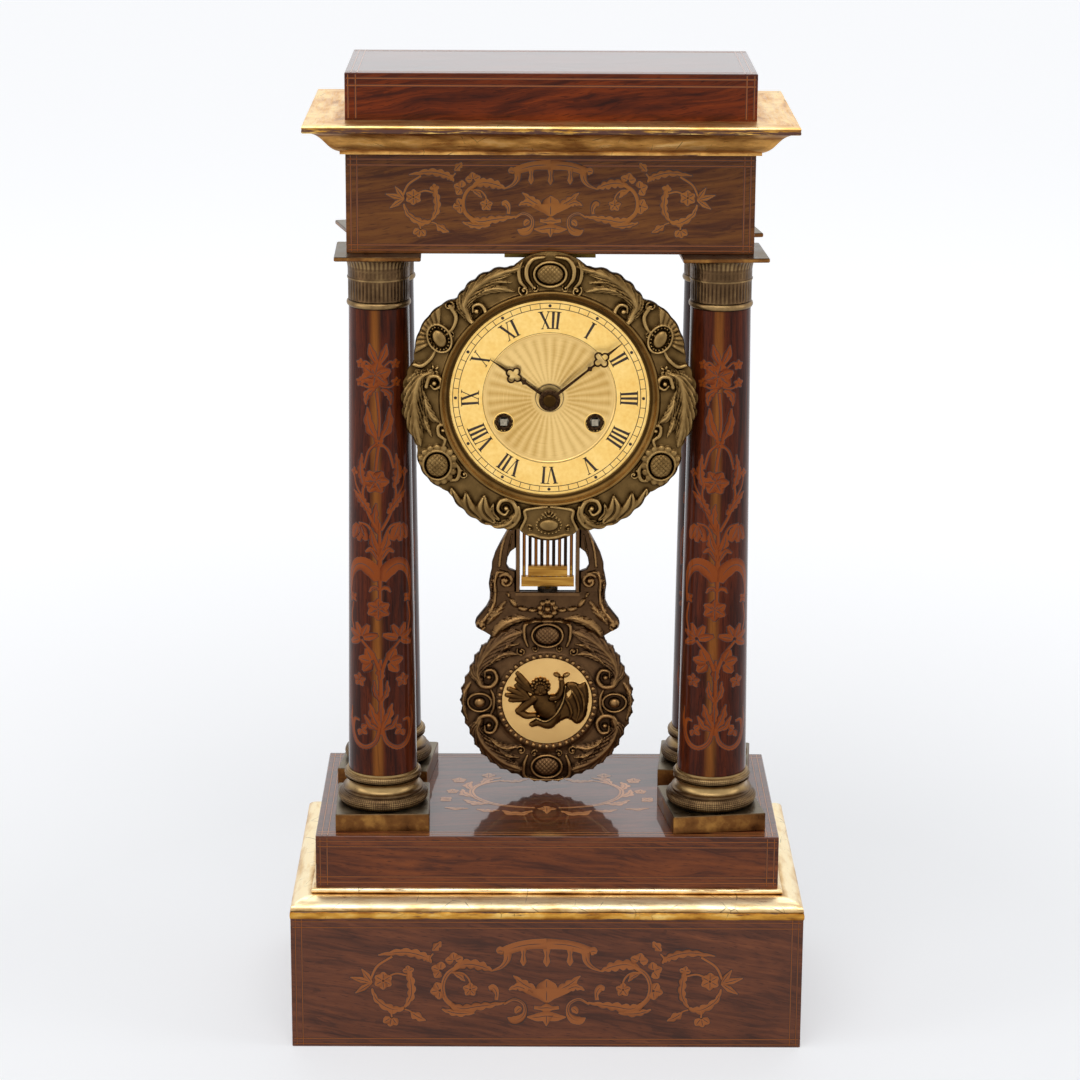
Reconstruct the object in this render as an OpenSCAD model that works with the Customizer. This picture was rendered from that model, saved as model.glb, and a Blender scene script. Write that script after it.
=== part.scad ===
// Portico clock: four columns carry an entablature, and a round striking movement hangs
// from it, with its gridiron pendulum swinging between the columns.
// Millimetres, +Z up, front towards -Y, origin under the middle of the base.

/* [Case] */
// Height of the whole clock; the columns take up what the case leaves
clock_h = 484.3; // [465:0.1:514]
// Width of the lower plinth
base_w = 255; // [245:1:290]
// Depth of the lower plinth
base_d = 148; // [144:1:180]
// Height of the lower plinth
base_h = 72; // [50:1:100]
// Set-back of the upper step from the plinth on every side
step_inset = 12.3; // [9:0.1:14]
// Height of the upper step
step_h = 36; // [30:1:50]
// Thickness of the base boards
board = 10; // [8:0.5:12]
// Thickness of the bottom board
bottom_t = 6; // [4:0.5:8]
// Recess of the bottom board above the resting edge
bottom_recess = 1; // [0.5:0.1:2]
// Width of the frieze and of the attic block
frieze_w = 195; // [190:1:225]
// Depth of the frieze and of the attic block
frieze_d = 86; // [84:1:105]
// Height of the frieze
frieze_h = 48; // [40:1:60]
// Thickness of the frieze boards
frieze_board = 5; // [3.5:0.5:5]
// Thickness of the soffit board
soffit_t = 10; // [9:0.5:14]
// Height of the attic block
attic_h = 22.3; // [15:0.1:30]
// Thickness of the attic block's top
attic_board = 9; // [6:0.5:12]

/* [Gilt mouldings] */
// Height of the base moulding against the step
foot_mould_h = 9; // [7:0.5:12]
// Distance of the base moulding from the plinth's edge
foot_mould_edge = 1.2; // [0.5:0.1:3]
// Width of the bead that runs along the step
foot_bead = 2; // [1.2:0.1:2.6]
// Height of the cornice
cornice_h = 16; // [13:0.5:20]
// Projection of the cornice from the frieze
cornice_out = 19.5; // [16:0.5:24]
// Height of the fillet along the cornice's top edge
cornice_fillet = 3.8; // [2.5:0.1:5]
// Projection of the bead under the cornice
cornice_bead = 2.6; // [1.5:0.1:3.5]

/* [Columns] */
// Distance between the column axes across the front
column_dx = 165.3; // [162:0.1:168]
// Distance between the front and back column axes
column_dy = 64.9; // [62:0.1:66]
// Diameter of a shaft at its foot
shaft_foot_d = 34.3; // [32:0.1:36]
// Diameter of a shaft at its head
shaft_head_d = 29.2; // [27:0.1:31]
// Side of the square column plinth
plinth_w = 46.7; // [46:0.1:50]
// Height of the square column plinth
plinth_h = 9.3; // [6:0.1:14]
// Height of the turned base ring
ring_h = 18; // [15:0.5:22]
// Diameter over the lower torus of the base ring
torus_d = 44.9; // [43:0.1:46]
// Diameter over the upper torus of the base ring
upper_torus_d = 38.5; // [37.5:0.1:41]
// Diameter at the throat of the base ring
throat_d = 34.8; // [34:0.1:36]
// Height of the capital under its abacus
capital_h = 24.9; // [20:0.1:30]
// Diameter over the astragal of the capital
astragal_d = 31.2; // [30.6:0.1:34]
// Diameter of the capital's neck
neck_d = 29.6; // [28.5:0.1:30.5]
// Diameter at the top of the capital's flare
echinus_d = 35.8; // [33:0.1:39]
// Side of the abacus
abacus_w = 41.4; // [39:0.1:45]
// Thickness of the abacus
abacus_t = 2.1; // [1.5:0.1:4]
// Diameter of the spigots at the ends of a shaft
spigot_d = 20; // [16:0.5:22]
// Length of the spigots
spigot_l = 14; // [10:0.5:18]
// Diameter of the tie rods inside the columns
tie_d = 5; // [4:0.5:5]
// Diameter of the bore of a shaft round its tie rod
shaft_bore_d = 8; // [7:0.5:10]
// Width across the corners of a tie rod nut
nut_d = 10; // [8:0.5:10.5]
// Height of a tie rod nut
nut_h = 5; // [4:0.5:6]
// Turn of each column's plinth: front left, front right, back left, back right
plinth_turn = [1.3, 7.9, -5.7, -4.8]; // [-20:0.1:20]
// Turn of each column's abacus in the same order
abacus_turn = [1, 3.4, 15, 8]; // [-20:0.1:20]

/* [Dial and hands] */
// Depth of the dial's centre below the soffit
dial_drop = 70; // [68:0.5:78]
// Distance of the dial's face in front of the case's middle
dial_front = 46; // [45.6:0.1:50]
// Diameter of the dial plate
dial_d = 99; // [98:0.5:100.5]
// Thickness of the dial plate
dial_t = 1; // [0.7:0.1:1.3]
// Diameter of the dial that shows inside the bezel
sight_d = 96.6; // [94:0.1:97]
// Diameter over the bezel's lobes
bezel_d = 144; // [140:0.5:147]
// Depth of the notches between the bezel's lobes
lobe_dip = 3.5; // [2:0.1:5]
// Thickness of the bezel's rim
bezel_rim_t = 2; // [1.5:0.1:3]
// Height of the bezel's relief above its back
bezel_relief = 6; // [5:0.1:8]
// Sideways distance of the winding holes from the dial's centre
winding_dx = 22.1; // [21.8:0.1:22.6]
// Depth of the winding holes below the dial's centre
winding_drop = 12.2; // [11.8:0.1:12.6]
// Diameter of the winding holes
winding_hole_d = 10.2; // [8:0.1:11]
// Hour shown
shown_hour = 10; // [0:1:11]
// Minute shown
shown_minute = 8.5; // [0:0.5:59.5]
// Length of the minute hand
minute_hand_l = 45; // [42:0.5:46.5]
// Length of the hour hand
hour_hand_l = 35; // [31:0.5:38]
// Thickness of the hands
hand_t = 0.6; // [0.4:0.1:0.8]

/* [Movement] */
// Diameter of the movement plates
plate_d = 88.4; // [87.6:0.2:88.6]
// Thickness of the movement plates
plate_t = 2; // [1.6:0.1:2.4]
// Distance between the movement plates
plate_gap = 36; // [36:0.5:40]
// Space for the motion work between dial and front plate
motion_gap = 7; // [7:0.1:8]
// Clearance of the plates inside the drum
drum_play = 0.3; // [0.1:0.1:0.6]
// Wall of the drum case
drum_wall = 1.2; // [0.8:0.1:2]
// Diameter of the drum's front flange
flange_d = 112; // [110:0.5:116]
// Thickness of the drum's front flange
flange_t = 1.5; // [1:0.1:2]
// Width of the shoulder that the front plate sits on
shoulder_w = 3.3; // [3:0.1:3.6]
// Diameter of the plate pillars
pillar_d = 4.8; // [4:0.1:5.6]
// Diameter of the train arbors
arbor_d = 1.1; // [0.9:0.05:1.2]
// Diameter of the pivots
pivot_d = 0.7; // [0.5:0.05:0.8]
// Diameter of the winding arbors
winder_d = 4.8; // [4:0.1:5]
// Diameter of the winding arbor's hub inside its barrel
winder_hub_d = 10; // [8:0.5:11]
// Diameter of the barrels
barrel_d = 31.2; // [29:0.1:31.6]
// Wall of the barrels
barrel_wall = 1; // [0.8:0.1:1.4]
// Length of the barrels
barrel_l = 22; // [18:0.5:22]
// Thickness of the mainsprings
spring_t = 0.35; // [0.25:0.05:0.4]
// Tip diameter of the winding ratchets
ratchet_d = 15; // [13:0.5:16]
// Radial clearance of turning arbors
run = 0.05; // [0.03:0.01:0.08]
// Clearance of parts that are fitted together
fit = 0.05; // [0.02:0.01:0.1]

/* [Wheels] */
// Teeth of the great wheels
great_teeth = 84; // [80:1:86]
// Module of the great wheels
great_mod = 0.4; // [0.38:0.01:0.4]
// Leaves of the pinions that the great wheels drive
second_leaves = 14; // [12:1:14]
// Teeth of the intermediate wheel and of the pin wheel
second_teeth = 70; // [66:1:70]
// Module of the intermediate wheel and of the pin wheel
second_mod = 0.35; // [0.34:0.01:0.35]
// Leaves of the centre pinion
centre_leaves = 12; // [12:1:13]
// Teeth of the centre wheel
centre_teeth = 84; // [80:1:84]
// Module of the centre wheel
centre_mod = 0.3; // [0.28:0.01:0.3]
// Leaves of the small pinions
small_leaves = 7; // [7:1:8]
// Teeth of the third wheel
third_teeth = 78; // [74:1:78]
// Module of the third wheel
third_mod = 0.28; // [0.26:0.01:0.28]
// Teeth of the locking wheel
locking_teeth = 60; // [56:1:62]
// Module of the locking wheel
locking_mod = 0.3; // [0.28:0.01:0.3]
// Teeth of the warning wheel
warning_teeth = 50; // [48:1:52]
// Module of the warning wheel
warning_mod = 0.25; // [0.24:0.01:0.26]
// Thickness of the train wheels
wheel_t = 1.2; // [0.9:0.1:1.3]
// Teeth of the escape wheel
escape_teeth = 30; // [30:1:30]
// Tip diameter of the escape wheel
escape_d = 18; // [17:0.1:18.2]
// Leaves of the cannon pinion
cannon_leaves = 12; // [12:1:12]
// Teeth of the minute wheel
minute_teeth = 36; // [36:1:36]
// Module of the cannon pinion and of the minute wheel
minute_mod = 0.5; // [0.48:0.01:0.52]
// Leaves of the minute pinion
minute_leaves = 10; // [10:1:10]
// Teeth of the hour wheel
hour_teeth = 40; // [40:1:40]
// Diameter of the centre arbor's nose
nose_d = 2.4; // [2:0.1:2.6]
// Diameter of the cannon pinion's pipe
cannon_pipe_d = 4; // [3.6:0.1:4.2]
// Diameter of the hour wheel's pipe
hour_pipe_d = 6; // [5.6:0.1:6.4]

/* [Bell and hammer] */
// Diameter of the bell
bell_d = 62; // [56:0.5:64]
// Depth of the bell
bell_depth = 20; // [16:0.5:24]
// Wall of the bell
bell_wall = 1.6; // [1.2:0.1:2.2]
// Depth of the bell's centre below the dial's centre
bell_drop = 6; // [4:0.5:8]
// Distance of the bell's rim behind the pendulum's middle plane
bell_gap = 10; // [9:0.5:14]
// Diameter of the bell stand's post
stand_d = 4; // [3:0.1:5]
// Diameter of the hammer's head
hammer_d = 6; // [5:0.1:7]

/* [Pendulum] */
// Distance of the pendulum's middle plane behind the back plate
pendulum_gap = 10; // [10:0.5:12]
// Height of the pendulum bob's centre above the step
bob_rise = 47.8; // [47:0.1:55]
// Diameter of the bob
bob_d = 89.6; // [84:0.1:91]
// Thickness of the pressed bob at its rim
bob_t = 2; // [1.5:0.1:3]
// Height of the bob's relief in front of its back
bob_relief = 5.5; // [4.5:0.1:7]
// Diameter of the medallion
medallion_d = 46; // [42:0.1:50]
// Thickness of the medallion's disc
medallion_t = 1; // [0.6:0.1:1.5]
// Diameter of the beads round the medallion
bead_d = 2.6; // [2:0.1:2.8]
// Number of beads round the medallion
bead_n = 44; // [36:1:46]
// Diameter of the weight behind the bob
weight_d = 70; // [50:1:76]
// Thickness of the weight behind the bob
weight_t = 7; // [4:0.5:9]
// Height of the lyre's top above the bob's centre
lyre_h = 124; // [122:0.5:128]
// Thickness of the lyre
lyre_t = 2.4; // [1.8:0.1:3]
// Half of the clear width inside the lyre's frame
frame_half = 14.1; // [13.9:0.1:15]
// Width of the lyre's inner stiles
stile_w = 2.2; // [1.6:0.1:2.8]
// Height of the lyre's bottom rail above the bob's centre
rail_rise = 55.6; // [54:0.1:57]
// Height of the lyre's bottom rail
rail_h = 2.3; // [2:0.1:3]
// Number of gridiron rods
grid_n = 9; // [9:2:9]
// Diameter of the gridiron rods
grid_d = 1.7; // [1.2:0.1:2]
// Spacing of the gridiron rods
grid_pitch = 3; // [2.6:0.1:3]
// Height of a gridiron crossbar
crossbar_h = 5.2; // [4:0.1:5.4]
// Width of the flat pendulum rod
rod_w = 6; // [5:0.1:7]
// Thickness of the flat pendulum rod
rod_t = 1.6; // [1.2:0.1:2]
// Diameter of the rating nut
rating_d = 9.8; // [8:0.1:11]
// Height of the rating nut
rating_h = 2; // [1.6:0.1:2.2]
// Diameter of the rating screw
rating_screw_d = 2; // [1.6:0.1:2.2]
// Thickness of the suspension spring
suspension_t = 0.2; // [0.1:0.05:0.3]
// Width of the suspension spring
suspension_w = 4; // [3:0.1:4.4]

/* [Hidden] */
$fn = 64;

rosewood = "#6b3a22";
oak = "#8a6a44";
gilt = "#c9993f";
ormolu = "#8f7434";
brass = "#b08d3e";
steel = "#70747a";
bronze = "#4a3719";
dark_steel = "#2b2420";
lead = "#5b5d60";

// A length by which cuts pass the faces that they open
past = 0.5;

// Heights of the case
step_w = base_w - 2 * step_inset;
step_d = base_d - 2 * step_inset;
step_top = base_h + step_h;
attic_z = clock_h - attic_h;
cornice_z = attic_z - cornice_h;
soffit = cornice_z - frieze_h;
column_h = soffit - step_top;
dial_z = soffit - dial_drop;
bob_z = step_top + bob_rise;

// Depths of the movement, front to back
dial_y = -dial_front;
drum_y = dial_y + dial_t;
front_y = drum_y + motion_gap;
inner_y = front_y + plate_t;
back_y = inner_y + plate_gap;
rear_y = back_y + plate_t;
pendulum_y = rear_y + pendulum_gap;
drum_ri = plate_d / 2 + drum_play;
drum_ro = drum_ri + drum_wall;

// Column places: front left, front right, back left, back right
columns = [[-column_dx / 2, -column_dy / 2], [column_dx / 2, -column_dy / 2],
  [-column_dx / 2, column_dy / 2], [column_dx / 2, column_dy / 2]];
shaft_h = column_h - plinth_h - ring_h - capital_h - abacus_t;

function polar(r, a) = [r * cos(a), r * sin(a)];
function arc(c, r, a0, a1, n) = [for (i = [0:n]) c + polar(r, a0 + (a1 - a0) * i / n)];
function bow(c, rx, ry, a0, a1, n) =
  [for (i = [0:n]) let (a = a0 + (a1 - a0) * i / n) c + [rx * cos(a), ry * sin(a)]];
// Crossing of two circles, to the left of the line from a to b when side is 1
function meet(a, ra, b, rb, side) =
  let (d = norm(b - a), u = (b - a) / d, t = (ra * ra - rb * rb + d * d) / (2 * d))
  a + t * u + side * sqrt(ra * ra - t * t) * [-u[1], u[0]];

// Wheel places round the dial's centre, seen from the front
going_at = [winding_dx, -winding_drop];
strike_at = [-winding_dx, -winding_drop];
centre_at = [0, 0];
function mesh(m, a, b) = m * (a + b) / 2;
second_at = meet(centre_at, mesh(second_mod, second_teeth, centre_leaves),
  going_at, mesh(great_mod, great_teeth, second_leaves), 1);
pin_at = [-second_at[0], second_at[1]];
third_angle = 81;
third_at = polar(mesh(centre_mod, centre_teeth, small_leaves), third_angle);
escape_reach = mesh(third_mod, third_teeth, small_leaves);
escape_at = [0, third_at[1] + sqrt(escape_reach * escape_reach - third_at[0] * third_at[0])];
pallet_angle = 45;
pallet_gap = 0.06;
pallet_at = escape_at + [0, (escape_d / 2 + pallet_gap) / cos(pallet_angle)];
locking_angle = 105;
locking_at = pin_at + polar(mesh(second_mod, second_teeth, small_leaves), locking_angle);
warning_angle = 110;
warning_at = locking_at + polar(mesh(locking_mod, locking_teeth, small_leaves), warning_angle);
fly_angle = 200;
fly_at = warning_at + polar(mesh(warning_mod, warning_teeth, small_leaves), fly_angle);
minute_at = [0, mesh(minute_mod, cannon_leaves, minute_teeth)];
hour_mod = 2 * minute_at[1] / (minute_leaves + hour_teeth);
hammer_at = [-33, 4];
pillar_r = drum_ri - shoulder_w - pillar_d / 2 - 0.6;
pillar_angles = [40, 155, 240, 300];
hand_angle = 6 * shown_minute;
hour_angle = 30 * shown_hour + shown_minute / 2;

// Depths of the wheels behind the inner face of the front plate
great_y = inner_y + 2.5;
third_y = inner_y + 16;
warning_y = inner_y + 22;
pin_y = back_y - 10.8;
second_y = back_y - 8.5;
centre_y = back_y - 5;
escape_y = back_y - 3.4;
leaf_past = 0.9;

// Tooth form: radial flanks and rounded tips, with backlash
wheel_half = 0.22;
leaf_half = 0.19;
function tooth(z, m, w, add, ded, c) = let (p = 360 / z, r = m * z / 2)
  [polar(r - ded, c - w * p), polar(r, c - w * p), polar(r + 0.6 * add, c - 0.62 * w * p),
   polar(r + add, c - 0.22 * w * p), polar(r + add, c + 0.22 * w * p),
   polar(r + 0.6 * add, c + 0.62 * w * p), polar(r, c + w * p), polar(r - ded, c + w * p)];
function wheel_points(z, m, phase) =
  [for (k = [0:z - 1]) each tooth(z, m, wheel_half, m, 1.1 * m, phase + k * 360 / z)];
function pinion_points(z, m, phase) =
  [for (k = [0:z - 1]) each tooth(z, m, leaf_half, 0.6 * m, 1.5 * m, phase + k * 360 / z)];
// Turn of gear 2 that puts its gaps on the teeth of gear 1, which has a tooth at phase
function mate(z1, phase, at1, at2, z2) =
  let (d = at2 - at1, al = atan2(d[1], d[0]), p = 360 / z1, e = p * round((al - phase) / p) + phase - al)
  al + 180 - e * z1 / z2 + 180 / z2;

// Helpers
module slab(y, t) translate([0, y + t, 0]) rotate([90, 0, 0]) linear_extrude(t) children();
module spin() rotate([-90, 0, 0]) rotate_extrude($fn = 96) children();
module at(p) translate([p[0], 0, p[1]]) children();
module rod(p, d, y0, y1) at(p) translate([0, y0, 0]) rotate([-90, 0, 0]) cylinder(h = y1 - y0, d = d);
module movement() translate([0, 0, dial_z]) children();
module block(w, d, h) translate([-w / 2, -d / 2, 0]) cube([w, d, h]);
module bar(a, b, w) translate(a) rotate(atan2(b[1] - a[1], b[0] - a[0])) translate([0, -w / 2])
  square([norm(b - a), w]);
module pivot_holes(list) for (p = list) rod(p, pivot_d + 2 * run, inner_y - plate_t - past, rear_y + past);

// Toothed wheel with crossed-out arms
module wheel(z, m, phase, hub, arms) {
  rim = m * z / 2 - 1.1 * m - 1.3;
  difference() {
    polygon(wheel_points(z, m, phase));
    difference() {
      circle(rim);
      circle(hub);
      for (k = [0:arms - 1]) rotate(k * 360 / arms) translate([0, -0.6]) square([rim + 1, 1.2]);
    }
  }
}
// Arbor between the plates with a pivot at each end
module arbor() {
  rod(centre_at, arbor_d, inner_y + run, back_y - run);
  rod(centre_at, pivot_d, inner_y - plate_t, rear_y);
}

// Slotted screw with its head at y 0 and its shank towards +y
screw_d = 1.8;
screw_head_d = 3.2;
screw_head_h = 1.1;
slot_w = 0.5;
module screw(l) difference() {
  union() {
    rod([0, 0], screw_head_d, 0, screw_head_h);
    rod([0, 0], screw_d, 0, screw_head_h + l);
  }
  translate([-screw_head_d, -past, -slot_w / 2]) cube([2 * screw_head_d, past + screw_head_h / 2, slot_w]);
}
module screw_hole(l) {
  rod([0, 0], screw_head_d + 2 * fit, -past, screw_head_h);
  rod([0, 0], screw_d + 2 * fit, 0, screw_head_h + l + fit);
}
// Wood screws that come from below
board_screws = [for (x = [-1, 0, 1], y = [-1, 1]) [x * (base_w / 2 - 0.75 * board),
    y * (base_d / 2 - 0.75 * board)],
  for (x = [-1, 1]) [x * (base_w / 2 - 0.75 * board), 0]];
board_screw_l = 14;
bracket_screw_l = 8;
bracket_flange_t = 4;
bracket_half_w = 22;
bracket_screws = [for (x = [-1, 1], y = [0.25, 0.75]) [x * (bracket_half_w - 4), inner_y + y * plate_gap]];
flange_screw_r = flange_d / 2 - 3;
flange_screw_l = 3;
plate_screw_l = 1.6;
pillar_screw_l = 6;

// Case

module base_box() color(rosewood) difference() {
  block(base_w, base_d, base_h);
  translate([0, 0, -past]) block(base_w - board, base_d - board, bottom_recess + bottom_t + past);
  translate([0, 0, -past]) block(base_w - 2 * board, base_d - 2 * board, base_h - board + past);
  block(step_w - 2 * board, step_d - 2 * board, base_h + past);
  for (p = board_screws) translate([p[0], p[1], bottom_recess]) rotate([90, 0, 0])
      screw_hole(board_screw_l);
}

module bottom_board() color(oak) difference() {
  translate([0, 0, bottom_recess]) block(base_w - board - 2 * fit, base_d - board - 2 * fit, bottom_t);
  for (p = board_screws) translate([p[0], p[1], bottom_recess]) rotate([90, 0, 0])
      screw_hole(board_screw_l);
}

module base_step() color(rosewood) difference() {
  translate([0, 0, base_h]) block(step_w, step_d, step_h);
  translate([0, 0, base_h - past]) block(step_w - 2 * board, step_d - 2 * board, step_h - board + past);
  for (p = columns) translate([p[0], p[1], base_h]) cylinder(h = step_h + past, d = tie_d + 2 * fit);
}

mitre_gap = 0.03;
// Four mitred lengths of a moulding round a box, from a profile of [outwards, up] points
module mitred(w, d, out, profile) for (k = [0:3]) rotate(90 * k) {
  sw = k % 2 == 0 ? w : d;
  sd = k % 2 == 0 ? d : w;
  intersection() {
    translate([-sw / 2 - out, 0, 0]) rotate([90, 0, 90]) linear_extrude(sw + 2 * out)
      polygon([for (p = profile) [-sd / 2 - p[0], p[1]]]);
    translate([0, 0, -past]) linear_extrude(cornice_h + foot_mould_h)
      polygon([[-sw / 2 + mitre_gap, -sd / 2], [sw / 2 - mitre_gap, -sd / 2],
        [sw / 2 + out - mitre_gap, -sd / 2 - out], [-sw / 2 - out + mitre_gap, -sd / 2 - out]]);
  }
}

// Bead at the step, then a hollow that runs out to a round nose over a small fillet
foot_out = step_inset - foot_mould_edge;
foot_nose = 0.24 * foot_mould_h;
function foot_profile() = let (nose = [foot_out - foot_nose, foot_mould_h * 0.38], b = foot_bead / 2)
  concat([[0, 0], [foot_out - 0.8, 0], [foot_out - 0.8, nose[1] - foot_nose]],
    arc(nose, foot_nose, -60, 100, 8),
    bow([foot_out - foot_nose - 1, foot_mould_h - foot_bead], foot_out - foot_nose - 1 - foot_bead,
      foot_mould_h - foot_bead - nose[1] - 0.95 * foot_nose, 270, 190, 7),
    arc([foot_bead - b, foot_mould_h - b], b, -20, 90, 6), [[0, foot_mould_h]]);
module base_moulding() color(gilt) translate([0, 0, base_h]) mitred(step_w, step_d, foot_out,
    foot_profile());

// Bead at the frieze, a hollow that turns into a round, and a square fillet at the top edge
function cornice_profile() = let (bead = 1.5, u0 = cornice_bead + 0.4, u1 = cornice_out - 4.2,
    v1 = cornice_h - cornice_fillet - 0.5, um = (u0 + u1) / 2, vm = (bead + v1) / 2)
  concat([[0, 0], [cornice_bead, 0], [cornice_bead, bead], [u0, bead]],
    [for (i = [1:12]) let (t = i / 12, s = t - sin(360 * t) / 14) [u0 + (u1 - u0) * t,
        bead + (v1 - bead) * s]],
    [[u1, v1 + 0.5], [cornice_out, v1 + 0.5], [cornice_out, cornice_h], [0, cornice_h]]);
module cornice() color(gilt) translate([0, 0, cornice_z]) mitred(frieze_w, frieze_d, cornice_out,
    cornice_profile());

module frieze_box() color(rosewood) difference() {
  translate([0, 0, soffit]) block(frieze_w, frieze_d, frieze_h + cornice_h);
  translate([0, 0, soffit + soffit_t])
    block(frieze_w - 2 * frieze_board, frieze_d - 2 * frieze_board, frieze_h + cornice_h);
  for (p = columns) translate([p[0], p[1], soffit - past]) cylinder(h = soffit_t + 2 * past,
      d = tie_d + 2 * fit);
  for (p = bracket_screws) translate([p[0], p[1], soffit - bracket_flange_t]) rotate([90, 0, 0])
    screw_hole(bracket_screw_l);
}

module attic_block() color(rosewood) difference() {
  translate([0, 0, attic_z]) block(frieze_w, frieze_d, attic_h);
  translate([0, 0, attic_z - past])
    block(frieze_w - 2 * board, frieze_d - 2 * board, attic_h - attic_board + past);
}

// Columns

module column_shaft(i) color(rosewood) translate([columns[i][0], columns[i][1],
    step_top + plinth_h + ring_h])
  rotate_extrude() polygon([[shaft_bore_d / 2, -spigot_l], [spigot_d / 2, -spigot_l], [spigot_d / 2, 0],
    [shaft_foot_d / 2, 0], [shaft_head_d / 2, shaft_h], [spigot_d / 2, shaft_h],
    [spigot_d / 2, shaft_h + spigot_l], [shaft_bore_d / 2, shaft_h + spigot_l]]);
module column_shaft_front_left() column_shaft(0);
module column_shaft_front_right() column_shaft(1);
module column_shaft_back_left() column_shaft(2);
module column_shaft_back_right() column_shaft(3);

// Attic base: large torus, fillet, hollow, small torus and a fillet under the shaft
function ring_profile() = let (t = 0.38 * ring_h, f = 0.06 * ring_h, u = 0.19 * ring_h, top = ring_h - f,
    r0 = torus_d / 2 - t / 2, fr = (torus_d + throat_d) / 4 + 0.1, u0 = upper_torus_d / 2 - u / 2,
    low = t + f, high = top - u)
  concat([[0, -past], [r0, -past]], arc([r0, t / 2], t / 2, -90, 90, 12), [[fr, t], [fr, low]],
    bow([fr, (low + high) / 2], fr - throat_d / 2, (high - low) / 2, 250, 110, 8),
    arc([u0, top - u / 2], u / 2, -90, 90, 10), [[shaft_foot_d / 2 + 0.5, top],
        [shaft_foot_d / 2 + 0.5, ring_h], [0, ring_h]]);
module column_base(i) color(ormolu) translate([columns[i][0], columns[i][1], step_top]) difference() {
  union() {
    rotate(plinth_turn[i]) block(plinth_w, plinth_w, plinth_h);
    translate([0, 0, plinth_h]) rotate_extrude() polygon(ring_profile());
  }
  translate([0, 0, plinth_h + ring_h - spigot_l - fit]) cylinder(h = spigot_l + past,
      d = spigot_d + 2 * fit);
  translate([0, 0, -past]) cylinder(h = plinth_h + ring_h, d = tie_d + 2 * fit);
}
module column_base_front_left() column_base(0);
module column_base_front_right() column_base(1);
module column_base_back_left() column_base(2);
module column_base_back_right() column_base(3);

// Astragal, neck with a step, and a flare under the square abacus
function capital_profile() = let (a = 0.14 * capital_h, e = 0.27 * capital_h, ar = astragal_d / 2 - a / 2,
    n = neck_d / 2, stepz = 0.55 * capital_h)
  concat([[0, 0]], arc([ar, a / 2], a / 2, -90, 90, 10),
    [[n, a], [n, stepz], [n + 0.4, stepz], [n + 0.4, stepz + 0.7], [n + 0.1, stepz + 0.7], [n + 0.1,
        capital_h - e]],
    bow([echinus_d / 2 - 0.2, capital_h - e - 0.6], echinus_d / 2 - n - 0.3, e, 180, 95, 7),
    [[echinus_d / 2, capital_h - 0.6], [echinus_d / 2, capital_h], [0, capital_h]]);
module column_capital(i) color(ormolu)
  translate([columns[i][0], columns[i][1], soffit - abacus_t - capital_h]) difference() {
    union() {
      rotate_extrude() polygon(capital_profile());
      translate([0, 0, capital_h]) rotate(abacus_turn[i]) block(abacus_w, abacus_w, abacus_t);
    }
    translate([0, 0, -past]) cylinder(h = spigot_l + fit + past, d = spigot_d + 2 * fit);
    cylinder(h = capital_h + abacus_t + past, d = tie_d + 2 * fit);
  }
module column_capital_front_left() column_capital(0);
module column_capital_front_right() column_capital(1);
module column_capital_back_left() column_capital(2);
module column_capital_back_right() column_capital(3);

module tie_nut() difference() {
  cylinder(h = nut_h, d = nut_d, $fn = 6);
  translate([0, 0, -past]) cylinder(h = nut_h + 2 * past, d = tie_d + 2 * fit);
}
tie_end = 2;
module tie_rods() color(steel) for (p = columns) translate([p[0], p[1], 0]) {
  translate([0, 0, step_top - board - nut_h - tie_end])
    cylinder(h = column_h + board + soffit_t + 2 * nut_h + 2 * tie_end, d = tie_d);
  translate([0, 0, step_top - board - nut_h]) tie_nut();
  translate([0, 0, soffit + soffit_t]) tie_nut();
}

module screws() color(steel) {
  for (p = board_screws) translate([p[0], p[1], bottom_recess]) rotate([90, 0, 0]) screw(board_screw_l);
  for (p = bracket_screws) translate([p[0], p[1], soffit - bracket_flange_t]) rotate([90, 0, 0])
      screw(bracket_screw_l);
  movement() {
    for (a = [45:90:315]) at(polar(flange_screw_r, a)) translate([0, drum_y + flange_t + screw_head_h, 0])
      rotate(180) screw(flange_t + flange_screw_l);
    for (a = [45:90:315]) at(polar(drum_ri - shoulder_w / 2, a)) translate([0, front_y - screw_head_h, 0])
      screw(plate_t + plate_screw_l);
    for (a = pillar_angles) at(polar(pillar_r, a)) translate([0, rear_y + screw_head_h, 0])
      rotate(180) screw(plate_t + pillar_screw_l);
  }
}

// Movement case

shoulder_t = 2.2;
module drum_case() color(brass) movement() difference() {
  spin() polygon([[drum_ri, drum_y], [flange_d / 2, drum_y], [flange_d / 2, drum_y + flange_t],
    [drum_ro, drum_y + flange_t], [drum_ro, rear_y], [drum_ri, rear_y], [drum_ri, inner_y + shoulder_t],
    [drum_ri - shoulder_w, inner_y + shoulder_t], [drum_ri - shoulder_w, inner_y], [drum_ri, inner_y]]);
  for (a = [45:90:315]) at(polar(flange_screw_r, a)) rod([0, 0], screw_d + 2 * fit, drum_y - past,
      drum_y + flange_t + past);
  for (a = [45:90:315]) at(polar(drum_ri - shoulder_w / 2, a))
    rod([0, 0], screw_d + 2 * fit, inner_y - past, inner_y + shoulder_t + past);
}

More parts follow.
